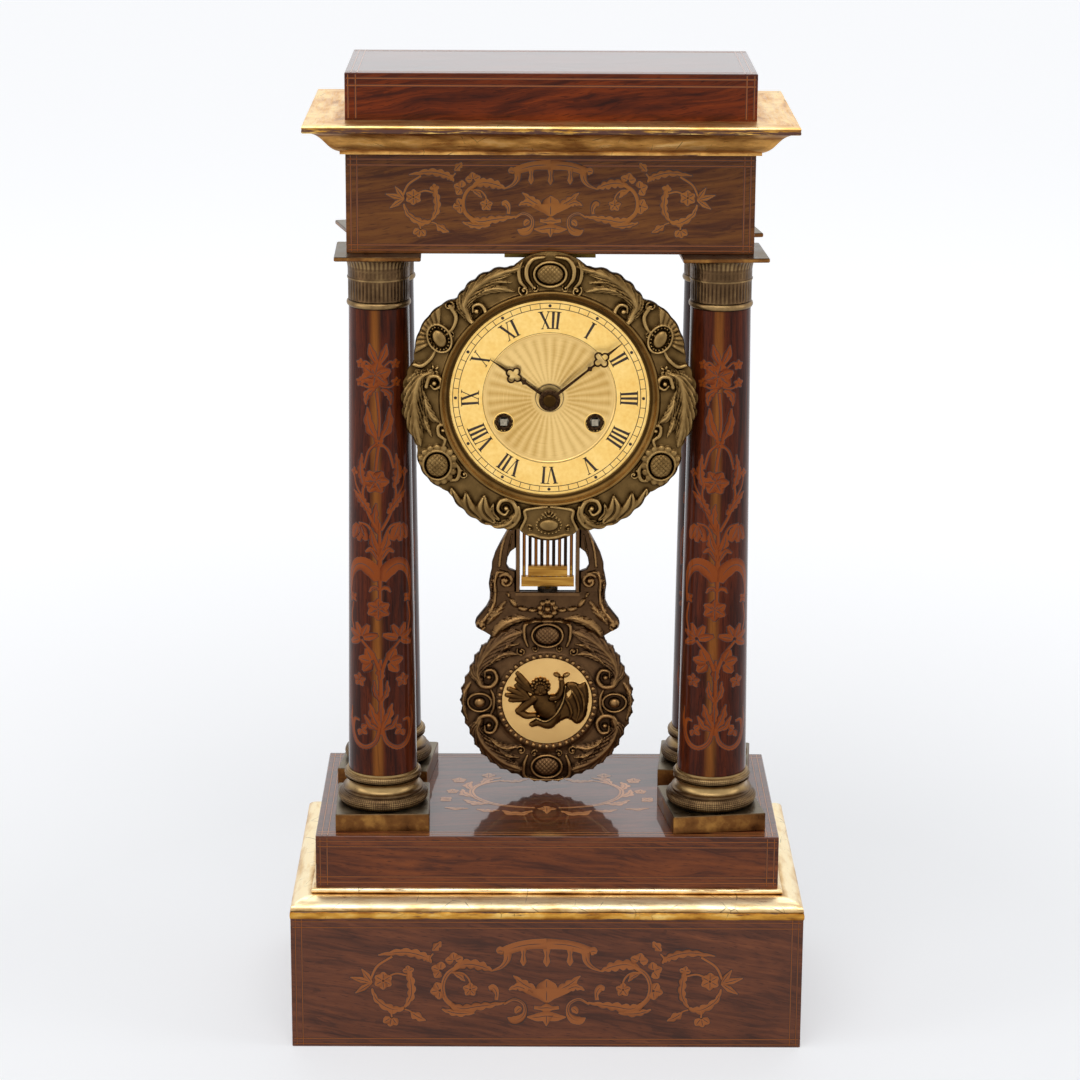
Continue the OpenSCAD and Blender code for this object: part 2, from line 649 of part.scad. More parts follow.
// Bracket that hangs the drum from the soffit
bracket_web_w = 24;
module drum_bracket() color(brass) difference() {
  union() {
    translate([-bracket_half_w, inner_y + 0.15 * plate_gap, soffit - bracket_flange_t])
      cube([2 * bracket_half_w, 0.7 * plate_gap, bracket_flange_t]);
    translate([-bracket_web_w / 2, inner_y + 0.3 * plate_gap, dial_z])
      cube([bracket_web_w, 0.4 * plate_gap, soffit - dial_z - bracket_flange_t / 2]);
  }
  movement() rod(centre_at, 2 * (drum_ro + fit), inner_y, rear_y);
  for (p = bracket_screws) translate([p[0], p[1], soffit - bracket_flange_t]) rotate([90, 0, 0])
    screw_hole(bracket_screw_l);
}

// Lobed outline of the bezel: angle from the top, reach and half-width of each lobe
lobes = [[0, -1.5, 13], [28, -2.2, 16], [59, -0.4, 15], [92, 0, 18], [121, 0, 11], [150, -1.2, 18],
    [180, -0.6, 12]];
function lobed(r, a) = let (b = abs(a) > 180 ? 360 - abs(a) : abs(a))
  max([for (l = lobes) r + l[1] - lobe_dip * pow((b - l[0]) / l[2], 2)]);
module lobed_disc(r) polygon([for (i = [0:143]) let (a = 2.5 * i) polar(lobed(r, a), 90 - a)]);
// Bosses of the bezel: angle, share of the radius, size
bezel_bosses = [[0, 0.855, 6.5], [61, 0.87, 6], [-61, 0.87, 6], [119, 0.88, 6.5], [-119, 0.88, 6.5],
    [180, 0.88, 8]];
bezel_volutes = [[40, 0.78, 4.2], [81, 0.81, 4.6], [157, 0.81, 4.6], [20, 0.89, 3.6], [100, 0.9, 4],
    [142, 0.89, 3.6]];
cove_w = 5;
module bezel() color(ormolu) movement() difference() {
  r = bezel_d / 2;
  s = sight_d / 2;
  union() {
    slab(drum_y - bezel_rim_t, bezel_rim_t) difference() {
      lobed_disc(r);
      circle(s + 1);
    }
    spin() polygon(concat([[s, dial_y - fit], [s, dial_y - 0.8]],
      bow([s, dial_y - 0.8 - 0.62 * bezel_relief], cove_w - 1.5, 0.62 * bezel_relief, 75, 10, 6),
      arc([s + cove_w, drum_y - 0.8 * bezel_relief], 1.5, 170, 20, 6),
      bow([s + cove_w + 9.5, drum_y - bezel_rim_t + past], 8, bezel_relief - bezel_rim_t, 200, 340, 10),
      [[s + cove_w + 17, drum_y - past], [s + 1, drum_y - past], [s + 1, dial_y - fit]]));
    for (b = bezel_bosses) at(polar(r * b[1], 90 - b[0])) translate([0, drum_y - bezel_rim_t, 0])
      spin() intersection() {
        translate([0, b[2] * 0.9]) circle(b[2] * 1.6);
        translate([0, -bezel_relief]) square([b[2], bezel_relief + past]);
      }
    for (v = bezel_volutes, m = [-1, 1]) at(polar(r * v[1], 90 - m * v[0])) translate([0,
        drum_y - bezel_rim_t, 0])
      spin() polygon([[0, 0], [v[2], 0], [v[2], -0.4 * bezel_relief], [0.7 * v[2], -0.62 * bezel_relief],
        [0.45 * v[2], -0.45 * bezel_relief], [0.25 * v[2], -0.7 * bezel_relief], [0,
            -0.75 * bezel_relief]]);
  }
  rod(centre_at, dial_d + 2 * fit, dial_y, drum_y + past);
  for (a = [45:90:315]) at(polar(flange_screw_r, a))
    rod([0, 0], screw_d + 2 * fit, drum_y - flange_screw_l - fit, drum_y + past);
}

// Dial plate with a raised chapter ring edge, and three feet to the front plate
feet_r = 38;
foot_d = 3;
module dial() color(brass) movement() difference() {
  union() {
    rod(centre_at, dial_d, dial_y, drum_y);
    for (a = [90, 210, 330]) rod(polar(feet_r, a), foot_d, drum_y - past / 2, front_y);
    spin() polygon([[8, dial_y - 0.15], [8.6, dial_y - 0.15], [8.6, dial_y + 0.1], [8, dial_y + 0.1]]);
    spin() polygon([[32, dial_y - 0.15], [32.8, dial_y - 0.15], [32.8, dial_y + 0.1], [32, dial_y + 0.1]]);
  }
  rod(centre_at, hour_pipe_d + 1, dial_y - past, drum_y + past);
  for (p = [going_at, strike_at]) rod(p, winding_hole_d, dial_y - past, drum_y + past);
}

// Plates

module front_plate() color(brass) movement() difference() {
  union() {
    rod(centre_at, plate_d, front_y, inner_y);
    for (a = pillar_angles) rod(polar(pillar_r, a), pillar_d, inner_y - past, back_y);
    rod(minute_at, pivot_d + 1, drum_y + 1, inner_y - past);
  }
  pivot_holes([second_at, third_at, escape_at, pallet_at, pin_at, locking_at, warning_at, fly_at,
      hammer_at]);
  rod(centre_at, nose_d + 2 * run, front_y - past, inner_y + past);
  for (p = [going_at, strike_at]) rod(p, winder_d + 2 * run, front_y - past, inner_y + past);
  for (c = clicks) rod(c, click_pin_d + 2 * fit, front_y - past, inner_y + past);
  for (a = [45:90:315]) rod(polar(drum_ri - shoulder_w / 2, a), screw_d + 2 * fit, front_y - past,
      inner_y + past);
  for (a = pillar_angles) rod(polar(pillar_r, a), screw_d + 2 * fit, back_y - pillar_screw_l - fit,
      back_y + past);
}

module back_plate() color(brass) movement() difference() {
  rod(centre_at, plate_d, back_y, rear_y);
  pivot_holes([centre_at, second_at, third_at, escape_at, locking_at, warning_at, fly_at]);
  rod(pin_at, arbor_d + 2 * run, back_y - past, rear_y + past);
  rod(hammer_at, hammer_arbor_d + 2 * run, back_y - past, rear_y + past);
  rod(pallet_at, 3 * arbor_d, back_y - past, rear_y + past);
  for (p = [going_at, strike_at]) rod(p, winder_d + 2 * run, back_y - past, rear_y + past);
  for (a = pillar_angles) rod(polar(pillar_r, a), screw_d + 2 * fit, back_y - past, rear_y + past);
  rod(stand_at, stand_d - 1 + 2 * fit, back_y - past, rear_y + past);
  for (x = [-1, 1]) rod([x * cock_foot_x, cock_z], cock_peg_d + 2 * fit, back_y - past, rear_y + past);
}

// Barrels, springs and winding

module barrel(p) color(brass) movement() at(p) difference() {
  union() {
    spin() polygon([[winder_d / 2 + run, great_y], [barrel_d / 2, great_y], [barrel_d / 2,
        great_y + barrel_l],
      [winder_d / 2 + run, great_y + barrel_l], [winder_d / 2 + run, great_y + barrel_l - barrel_wall],
      [barrel_d / 2 - barrel_wall, great_y + barrel_l - barrel_wall],
      [barrel_d / 2 - barrel_wall, great_y + barrel_wall], [winder_d / 2 + run, great_y + barrel_wall]]);
    slab(great_y, 2 * barrel_wall) difference() {
      polygon(wheel_points(great_teeth, great_mod, 0));
      circle(barrel_d / 2 - barrel_wall / 2);
    }
  }
}
module going_barrel() barrel(going_at);
module strike_barrel() barrel(strike_at);

// Spiral strip from the arbor's hub out to the barrel's wall
spring_turns = 8;
spring_gap = 0.15;
module spiral(hand) {
  r0 = winder_hub_d / 2 + spring_gap;
  r1 = barrel_d / 2 - barrel_wall - spring_gap - spring_t;
  n = spring_turns * 16;
  polygon(concat([for (i = [0:n]) polar(r0 + (r1 - r0) * i / n, hand * i * 22.5)],
    [for (i = [n:-1:0]) polar(r0 + spring_t + (r1 - r0) * i / n, hand * i * 22.5)]));
}
module mainsprings() color(steel) movement() {
  at(going_at) slab(great_y + barrel_wall + spring_gap, barrel_l - 2 * barrel_wall - 2 * spring_gap)
      spiral(1);
  at(strike_at) slab(great_y + barrel_wall + spring_gap, barrel_l - 2 * barrel_wall - 2 * spring_gap)
      spiral(-1);
}

// Winding arbor: hub in the barrel, ratchet on the front plate and a square for the key
ratchet_n = 24;
ratchet_t = 1.5;
square_w = 3.2;
module ratchet(hand) polygon([for (k = [0:ratchet_n - 1], q = [0, 1]) let (p = 360 / ratchet_n)
  polar(ratchet_d / 2 - q * 1.1, hand * (k * p + q * 0.08 * p))]);
module winder(p, hand) color(steel) movement() at(p) {
  rod(centre_at, winder_d, front_y - ratchet_t - 1, rear_y);
  rod(centre_at, winder_hub_d, great_y + barrel_wall + spring_gap,
      great_y + barrel_l - barrel_wall - spring_gap);
  slab(front_y - ratchet_t - spring_gap, ratchet_t) ratchet(hand);
  slab(dial_y + 0.5, motion_gap) translate([-square_w / 2, -square_w / 2]) square(square_w);
}
module going_arbor() winder(going_at, 1);
module strike_arbor() winder(strike_at, -1);

click_pin_d = 2;
click_reach = 4.2;
click_gap = 0.2;
click_angle = -75;
click_r = ratchet_d / 2 + 3.4;
clicks = [going_at + polar(click_r, click_angle), strike_at + polar(click_r, 180 - click_angle)];
// Click with its nose just clear of the ratchet's tips and its pin in the front plate
module click() {
  nose = click_r - sqrt(pow(ratchet_d / 2 + click_gap, 2) - click_reach * click_reach);
  slab(front_y - ratchet_t - spring_gap, ratchet_t) {
    circle(1.9);
    polygon([[-1.6, 1], [1, 1.4], [click_reach, nose], [click_reach + 0.5, nose - 2], [1.2, -1], [-1.2,
        -1]]);
  }
  rod(centre_at, click_pin_d, front_y - spring_gap - past, inner_y);
}
module going_click() color(steel) movement() at(clicks[0]) rotate([0, -90 - click_angle, 0]) click();
module strike_click() color(steel) movement() at(clicks[1]) rotate([0, 90 + click_angle, 0]) mirror([1,
    0, 0]) click();

// Going train

module intermediate_wheel() color(brass) movement() at(second_at) {
  arbor();
  slab(great_y - leaf_past, 2 * barrel_wall + 2 * leaf_past)
    polygon(pinion_points(second_leaves, great_mod, mate(great_teeth, 0, going_at, second_at,
        second_leaves)));
  slab(second_y, wheel_t) wheel(second_teeth, second_mod, 0, 2.4, 4);
}

module centre_wheel() color(brass) movement() {
  rod(centre_at, nose_d, dial_y - 4.2, back_y - run);
  rod(centre_at, pivot_d, back_y - 1, rear_y);
  slab(second_y - leaf_past / 2, wheel_t + leaf_past)
    polygon(pinion_points(centre_leaves, second_mod, mate(second_teeth, 0, second_at, centre_at,
        centre_leaves)));
  slab(centre_y, wheel_t) wheel(centre_teeth, centre_mod, 0, 2.6, 4);
}

module third_wheel() color(brass) movement() at(third_at) {
  arbor();
  slab(centre_y - leaf_past, wheel_t + 2 * leaf_past)
    polygon(pinion_points(small_leaves, centre_mod, mate(centre_teeth, 0, centre_at, third_at,
        small_leaves)));
  slab(third_y, wheel_t) wheel(third_teeth, third_mod, 0, 2.2, 4);
}

// Escape wheel with pointed, leaning teeth, one of them straight up
module escape_wheel() color(brass) movement() at(escape_at) {
  arbor();
  slab(third_y - leaf_past, wheel_t + 2 * leaf_past)
    polygon(pinion_points(small_leaves, third_mod, mate(third_teeth, 0, third_at, escape_at,
        small_leaves)));
  slab(escape_y, wheel_t) difference() {
    polygon([for (k = [0:escape_teeth - 1]) let (p = 360 / escape_teeth, a = 90 + k * p)
      each [polar(escape_d / 2 - 1.9, a - 0.14 * p), polar(escape_d / 2, a - 0.03 * p),
          polar(escape_d / 2, a + 0.03 * p),
        polar(escape_d / 2 - 1.9, a + 0.26 * p)]]);
    difference() {
      circle(escape_d / 2 - 3.2);
      circle(2);
      for (k = [0:3]) rotate(90 * k) translate([0, -0.5]) square([escape_d / 2 - 2.6, 1]);
    }
  }
}

// Anchor over the escape wheel, with the crutch and its fork round the pendulum rod behind the back plate
crutch_y = rear_y + 3.2;
crutch_t = 1.6;
crutch_drop = 60;
fork_play = 0.15;
module pallet_anchor() color(dark_steel) movement() {
  at(pallet_at) {
    rod(centre_at, arbor_d, inner_y + run, crutch_y + crutch_t);
    rod(centre_at, pivot_d, inner_y - plate_t, crutch_y + crutch_t + cock_gap + cock_t);
    slab(crutch_y, crutch_t) {
      circle(2.2);
      translate([-0.9, -crutch_drop]) square([1.8, crutch_drop]);
      translate([-rod_w / 2 - 1.6, -crutch_drop - 1]) square([rod_w + 3.2, 2]);
    }
    for (x = [-1, 1]) translate([x * (rod_w / 2 + fork_play + 0.6) - 0.6, crutch_y, -crutch_drop - 1])
      cube([1.2, pendulum_y + rod_t / 2 + 0.8 - crutch_y, 2]);
  }
  slab(escape_y - 0.3, wheel_t + 0.6) {
    translate(pallet_at) circle(2.2);
    for (m = [-1, 1]) {
      elbow = escape_at + polar(escape_d / 2 + 3.4, 90 + m * pallet_angle);
      bar(pallet_at, elbow, 1.5);
      translate(elbow) circle(0.75);
      bar(elbow, escape_at + polar(escape_d / 2 + pallet_gap, 90 + m * pallet_angle), 0.44);
    }
  }
}

// Striking train

hammer_pins = 10;
hammer_pin_r = 10.4;
hammer_pin_l = 1.4;
module pin_wheel() color(brass) movement() at(pin_at) {
  arbor();
  rod(centre_at, arbor_d, back_y - past, rear_y + 3);
  slab(great_y - leaf_past, 2 * barrel_wall + 2 * leaf_past)
    polygon(pinion_points(second_leaves, great_mod, mate(great_teeth, 0, strike_at, pin_at,
        second_leaves)));
  slab(pin_y, wheel_t) wheel(second_teeth, second_mod, 0, 2.4, 4);
  for (k = [0:hammer_pins - 1])
    rod(polar(hammer_pin_r, (k + 0.5) * 360 / hammer_pins), 0.9, pin_y, pin_y + wheel_t + hammer_pin_l);
}

module locking_wheel() color(brass) movement() at(locking_at) {
  arbor();
  slab(pin_y - leaf_past / 2, wheel_t + leaf_past)
    polygon(pinion_points(small_leaves, second_mod, mate(second_teeth, 0, pin_at, locking_at,
        small_leaves)));
  slab(centre_y, wheel_t) wheel(locking_teeth, locking_mod, 0, 2, 4);
}

// Warning wheel, with the fly's pinion beside it
module warning_wheel() color(brass) movement() at(warning_at) {
  arbor();
  slab(centre_y - leaf_past, wheel_t + 2 * leaf_past)
    polygon(pinion_points(small_leaves, locking_mod, mate(locking_teeth, 0, locking_at, warning_at,
        small_leaves)));
  slab(warning_y, wheel_t) wheel(warning_teeth, warning_mod, 0, 1.8, 4);
  at(fly_at - warning_at) {
    arbor();
    slab(warning_y - leaf_past, wheel_t + 2 * leaf_past)
      polygon(pinion_points(small_leaves, warning_mod, mate(warning_teeth, 0, warning_at, fly_at,
          small_leaves)));
  }
}

// Two-bladed fly that slips on its pinion's arbor
fly_r = 5.5;
fly_l = 14;
fly_y = inner_y + 3;
module fly() color(brass) movement() at(fly_at) difference() {
  union() {
    translate([-fly_r, fly_y, -0.3]) cube([2 * fly_r, fly_l, 0.6]);
    rod(centre_at, arbor_d + 2, fly_y, fly_y + fly_l);
  }
  rod(centre_at, arbor_d + 2 * run, fly_y - past, fly_y + fly_l + past);
}

// Count wheel with a notch after the blows of each hour and its half hour
count_d = 24;
count_t = 1.2;
module count_wheel() color(brass) movement() at(pin_at) slab(rear_y + 1, count_t) difference() {
  circle(d = count_d);
  circle(d = arbor_d + 2 * fit);
  for (n = [1:12]) rotate(4 * (n * (n + 1) / 2 + n)) translate([count_d / 2 - 1.8, -0.7]) square([3, 1.4]);
  for (k = [0:3]) rotate(45 + 90 * k) translate([5.6, 0]) circle(2.6);
}

// Bell, stand and hammer behind the pendulum

bell_y = pendulum_y + bell_gap;
bell_at = [0, -bell_drop];
stand_at = [26, -22];
module bell() color(brass) movement() at(bell_at) spin() polygon(concat(
  bow([0, bell_y], bell_d / 2, bell_depth, 0, 85, 16),
  [[stand_d / 2 + fit, bell_y + bell_depth], [stand_d / 2 + fit, bell_y + bell_depth - bell_wall]],
  bow([0, bell_y], bell_d / 2 - bell_wall, bell_depth - bell_wall, 85, 0, 16)));

arm_t = 3;
module bell_stand() color(steel) movement() {
  arm_y = bell_y - arm_t - 1.6;
  rod(stand_at, stand_d, rear_y, arm_y + arm_t);
  rod(stand_at, stand_d - 1, back_y, rear_y + past);
  slab(arm_y, arm_t) {
    bar(stand_at, bell_at, stand_d);
    translate(stand_at) circle(stand_d * 0.75);
    translate(bell_at) circle(stand_d * 0.9);
  }
  collar_r = stand_d / 2 + 1.5;
  rod(bell_at, 2 * collar_r, arm_y,
    bell_y + (bell_depth - bell_wall) * sqrt(1 - pow(collar_r / (bell_d / 2 - bell_wall), 2)) - fit);
  rod(bell_at, stand_d, arm_y, bell_y + bell_depth + 4);
  at(bell_at) translate([0, bell_y + bell_depth, 0]) rotate([-90, 0, 0]) difference() {
    cylinder(h = 2.6, d = stand_d + 4, $fn = 6);
    translate([0, 0, -past]) cylinder(h = 4, d = stand_d + 2 * fit);
  }
}

hammer_arbor_d = 2;
hammer_gap = 0.7;
hammer_tail = 9.2;
hammer_bar = 1.6;
hammer_y = bell_y + 1;
module hammer() color(steel) movement() {
  head = bell_at + polar(bell_d / 2 + hammer_d / 2 + hammer_gap, 197);
  rod(hammer_at, arbor_d, inner_y + run, back_y - run);
  rod(hammer_at, pivot_d, inner_y - plate_t, inner_y + 1);
  rod(hammer_at, hammer_arbor_d, back_y - 1, hammer_y + hammer_d / 2);
  slab(hammer_y - hammer_bar / 2, hammer_bar) {
    bar(hammer_at, head, hammer_bar);
    translate(hammer_at) circle(2.4);
  }
  rod(head, hammer_d, hammer_y - hammer_d / 2, hammer_y + hammer_d / 2);
  slab(pin_y + wheel_t + 0.1, hammer_pin_l) {
    translate(hammer_at) circle(1.7);
    bar(hammer_at, [hammer_at[0] + hammer_tail, pin_at[1]], 0.9);
  }
}

// Motion work under the dial

cannon_y = front_y - 2.4;
hour_y = front_y - 5.2;
hour_hand_y = dial_y - 2.6;
minute_hand_y = dial_y - 5;
module cannon_pinion() color(brass) movement() difference() {
  union() {
    slab(cannon_y, 1.6) polygon(pinion_points(cannon_leaves, minute_mod, 0));
    rod(centre_at, cannon_pipe_d, minute_hand_y, cannon_y + 1.6);
  }
  rod(centre_at, nose_d + 2 * run, minute_hand_y - past, front_y);
}

module minute_wheel() color(brass) movement() at(minute_at) difference() {
  union() {
    slab(cannon_y + 0.2, wheel_t) wheel(minute_teeth, minute_mod,
      mate(cannon_leaves, 0, centre_at, minute_at, minute_teeth), 3.4, 4);
    slab(hour_y - 0.2, cannon_y - hour_y + 0.6) polygon(pinion_points(minute_leaves, hour_mod, 0));
  }
  rod(centre_at, pivot_d + 1 + 2 * run, hour_y - 1, front_y);
}

module hour_wheel() color(brass) movement() difference() {
  union() {
    slab(hour_y, wheel_t) wheel(hour_teeth, hour_mod, mate(minute_leaves, 0, minute_at, centre_at,
        hour_teeth), 4.4, 4);
    rod(centre_at, hour_pipe_d, hour_hand_y, hour_y + wheel_t);
  }
  rod(centre_at, cannon_pipe_d + 2 * run, hour_hand_y - past, front_y);
}

// Pierced hand with a quatrefoil, drawn along +Y in the plane of the dial
module hand_outline(l, eye, boss, hole) difference() {
  union() {
    circle(boss);
    polygon([[-1.3, 0], [1.3, 0], [0.55, eye - 2.2], [-0.55, eye - 2.2]]);
    for (k = [0:3]) translate([0, eye]) rotate(45 + 90 * k) translate([1.75, 0]) circle(1.75, $fn = 32);
    polygon([[-0.85, eye + 2.4], [0.85, eye + 2.4], [0.1, l], [-0.1, l]]);
  }
  circle(hole);
  for (k = [0:3]) translate([0, eye]) rotate(45 + 90 * k) translate([1.85, 0]) circle(1.05, $fn = 32);
}
hour_eye = 21.6;
minute_eye = 33;
module hour_hand() color(dark_steel) movement() rotate([0, hour_angle, 0]) slab(hour_hand_y, hand_t)
  hand_outline(hour_hand_l, hour_eye, hour_pipe_d / 2 + 1.3, hour_pipe_d / 2 + fit);
// Minute hand with its domed brass cap
cap_d = 10;
cap_seat = 0.1;
cap_rim = 0.6;
cap_dome = 1.5;
module minute_hand() color(dark_steel) movement() rotate([0, hand_angle, 0]) {
  slab(minute_hand_y, hand_t) hand_outline(minute_hand_l, minute_eye, cannon_pipe_d / 2 + 2,
      cannon_pipe_d / 2 + fit);
  seat = minute_hand_y - cap_seat;
  spin() polygon(concat([[0, seat], [0, seat - cap_rim - cap_dome]],
    bow([0, seat - cap_rim], cap_d / 2 - 1, cap_dome, 280, 360, 6), [[cap_d / 2, seat - cap_rim],
        [cap_d / 2, seat]]));
}

// Pendulum

cock_gap = 0.6;
cock_t = 1.8;
cock_foot_x = 13;
cock_peg_d = 2;
cock_z = pallet_at[1];
cock_low = pallet_at[1] - 3.4;
cock_high = pallet_at[1] + 6.2;
arm_low = pallet_at[1] + 2.6;
chop_w = 2.4;
chop_play = 0.1;
suspension_pin_d = 1.2;
// Bridge behind the back plate that carries the anchor's rear pivot and the suspension
module suspension_cock() color(brass) movement() difference() {
  cock_y = crutch_y + crutch_t + cock_gap;
  union() {
    translate([-cock_foot_x - 3, cock_y, cock_low]) cube([2 * cock_foot_x + 6, cock_t,
        cock_high - cock_low]);
    for (x = [-1, 1]) translate([x * cock_foot_x - 3, rear_y, cock_low]) cube([6,
        cock_y - rear_y + past, cock_high - cock_low]);
    for (x = [-1, 1]) rod([x * cock_foot_x, cock_z], cock_peg_d, back_y, rear_y + past);
    translate([-4, cock_y, arm_low]) cube([8, pendulum_y + suspension_w / 2 + 1 - cock_y,
        cock_high - arm_low]);
  }
  rod(pallet_at, pivot_d + 2 * run, cock_y - past, cock_y + cock_t + past);
  translate([-chop_w / 2 - chop_play, pendulum_y - suspension_w / 2 - chop_play, arm_low - past])
    cube([chop_w + 2 * chop_play, suspension_w + 2 * chop_play, cock_high]);
}

chop_low = pallet_at[1] - 8;
chop_high = pallet_at[1] - 2.6;
// Thin strip under a pinned chop
module suspension_spring() color(steel) movement() {
  translate([-suspension_t / 2, pendulum_y - suspension_w / 2, chop_high - 2.4])
    cube([suspension_t, suspension_w, arm_low + 1 - chop_high + 2.4]);
  translate([-chop_w / 2, pendulum_y - suspension_w / 2, arm_low + 0.2])
    cube([chop_w, suspension_w, cock_high - arm_low + 1.2]);
  translate([-3.6, pendulum_y, cock_high + suspension_pin_d / 2]) rotate([0, 90, 0]) cylinder(h = 7.2,
      d = suspension_pin_d);
}

// Gridiron: flat rod from the lower chop, two crossbars and the row of rods
crown_h = 5;
grid_top = lyre_h - crown_h - 3;
upper_bar = rail_rise + rail_h + 8.1;
lower_bar = upper_bar - crossbar_h - 0.4;
grid_half = (grid_n - 1) / 2 * grid_pitch;
module gridiron() color(brass) {
  movement() difference() {
    translate([-1.8, pendulum_y - suspension_w / 2, chop_low]) cube([3.6, suspension_w,
        chop_high - chop_low]);
    translate([-suspension_t / 2 - fit, pendulum_y - suspension_w, chop_high - 2.4 - fit])
      cube([suspension_t + 2 * fit, 2 * suspension_w, 4]);
  }
  translate([-rod_w / 2, pendulum_y - rod_t / 2, bob_z + grid_top]) cube([rod_w, rod_t,
      dial_z + chop_low + 1 - bob_z - grid_top]);
  translate([-grid_half - 1, pendulum_y - 1.3, bob_z + grid_top - 4]) cube([2 * grid_half + 2, 2.6, 4.4]);
  translate([-10, pendulum_y - 1.5, bob_z + upper_bar]) cube([20, 3, crossbar_h]);
  translate([-grid_half - 1.4, pendulum_y - 1.5, bob_z + lower_bar]) cube([2 * grid_half + 2.8, 3,
      crossbar_h]);
  for (k = [0:grid_n - 1]) translate([(k - (grid_n - 1) / 2) * grid_pitch, pendulum_y,
      bob_z + lower_bar + 1])
    cylinder(h = grid_top - lower_bar - 2, d = grid_d, $fn = 24);
  translate([0, pendulum_y, bob_z + rail_rise + 0.2]) cylinder(h = lower_bar - rail_rise + 1,
      d = rating_screw_d);
}

rating_z = rail_rise + rail_h + 0.2;
module rating_nut() color(dark_steel) translate([0, pendulum_y, bob_z + rating_z]) difference() {
  union() {
    cylinder(h = rating_h, d = rating_d);
    for (k = [0:23]) rotate(15 * k) translate([rating_d / 2, 0, 0]) cylinder(h = rating_h, d = 0.5,
        $fn = 16);
  }
  translate([0, 0, -past]) cylinder(h = rating_h + 2 * past, d = rating_screw_d + 2 * run);
}

// Lyre: outer edge of the right half, from the crown down to its scroll and into the bob, measured from the bend
lyre_bend = lyre_h - 5;
lyre_edge = [[8, 5], [15, 3.4], [17.4, 0], [17.6, -9], [18.6, -20], [21, -29.5], [25.4, -38], [28,
    -47], [28.9, -56],
  [29.8, -65], [31.6, -71.5], [34.4, -75], [36.9, -78], [36.4, -81], [33.8, -82.2], [30.6, -81.6],
      [28.2, -84.6]];
lyre_scroll = [33.6, -78.4];
lyre_foot = 30;
crown_skin = 0.5;
module lyre() color(bronze) translate([0, 0, bob_z]) difference() {
  union() {
    slab(pendulum_y - lyre_t / 2 - 0.4, lyre_t) for (m = [0, 1]) mirror([m, 0]) difference() {
      polygon(concat([[0, lyre_foot], [0, lyre_h]], [for (p = lyre_edge) [p[0], lyre_bend + p[1]]],
          [[28.6, lyre_foot]]));
      translate([-1, rail_rise + rail_h]) square([frame_half + 1, lyre_h - rail_rise - rail_h - crown_h]);
      polygon([for (p = [[17.9, -38], [20.4, -49], [20, -60], [17.6, -51]]) [p[0], lyre_bend + p[1]]]);
    }
    for (m = [-1, 1]) {
      at([m * lyre_scroll[0], lyre_bend + lyre_scroll[1]]) translate([0, pendulum_y - lyre_t / 2 - 0.4,
          0]) spin()
        polygon([[0, past], [3.1, past], [3.1, -0.8], [2.2, -1.5], [1.4, -1], [0.7, -1.9], [0, -1.9]]);
      translate([m * (frame_half + stile_w / 2) - stile_w / 2, pendulum_y - lyre_t / 2 - 1.2, rail_rise])
        cube([stile_w, 1.2, lyre_h - rail_rise - crown_h]);
    }
    at([0, rail_rise - 4]) translate([0, pendulum_y - lyre_t / 2 - 0.4, 0]) spin()
      polygon([[0, past], [5, past], [4.6, -0.7], [3, -1.4], [2, -1], [1, -2.1], [0, -2.1]]);
  }
  translate([0, pendulum_y, rail_rise - past]) cylinder(h = rail_h + 2 * past, d = rating_screw_d + 0.6);
  translate([-rod_w / 2 - 0.4, pendulum_y - lyre_t / 2 - 0.4 + crown_skin, lyre_h - 2 * crown_h])
    cube([rod_w + 0.8, lyre_t, 4 * crown_h]);
}

// Scalloped bob pressed in relief, with a recess for the medallion and a ring of beads
bob_front = pendulum_y - lyre_t / 2 - 0.4;
function scallop(r, a) = r - 1.3 * pow(abs(sin(4 * a)), 4) - 0.5 * pow(sin(22 * a), 2);
bob_ring_r = medallion_d / 2 + bead_d / 2 + 0.2;
module bob() color(bronze) translate([0, 0, bob_z]) difference() {
  union() {
    slab(bob_front - bob_t, bob_t) polygon([for (i = [0:179]) polar(scallop(bob_d / 2, 2 * i), 2 * i)]);
    translate([0, bob_front - bob_t + past, 0]) spin() polygon(concat([[0, 0], [0, -1 - past]],
      [[bob_ring_r - bead_d / 2 - 0.1, -1 - past], [bob_ring_r - bead_d / 2 - 0.1, -1.9],
          [bob_ring_r + bead_d / 2, -1.9]],
      bow([bob_d / 2 - 10, 0], 8.4, bob_relief - bob_t, 205, 350, 10), [[bob_d / 2 - 1.7, 0]]));
    for (k = [0:bead_n - 1]) at(polar(bob_ring_r, k * 360 / bead_n)) translate([0,
        bob_front - bob_t - 1.6, 0])
      sphere(d = bead_d, $fn = 20);
    for (a = [0:90:270]) at(polar(bob_d / 2 - 8, a)) translate([0, bob_front - bob_t, 0]) spin()
        intersection() {
      translate([0, 5]) circle(9);
      translate([0, -bob_relief]) square([5.5, bob_relief + past]);
    }
    for (a = [45:90:315], m = [-1, 1]) at(polar(bob_d / 2 - 8.6, a + m * 15)) translate([0,
        bob_front - bob_t, 0]) spin()
      polygon([[0, 0], [4, 0], [4, -2.4], [2.8, -3.6], [1.8, -2.8], [0.9, -4.2], [0, -4.4]]);
  }
  translate([0, bob_front, 0]) rod(centre_at, medallion_d + 2 * fit, -bob_t - 1, -bob_t + medallion_t - 1);
}

module bob_weight() color(lead) translate([0, 0, bob_z]) difference() {
  rod(centre_at, weight_d, bob_front + lyre_t, bob_front + lyre_t + weight_t);
  rod(centre_at, 4, bob_front + lyre_t + weight_t - 2, bob_front + lyre_t + weight_t + past);
}

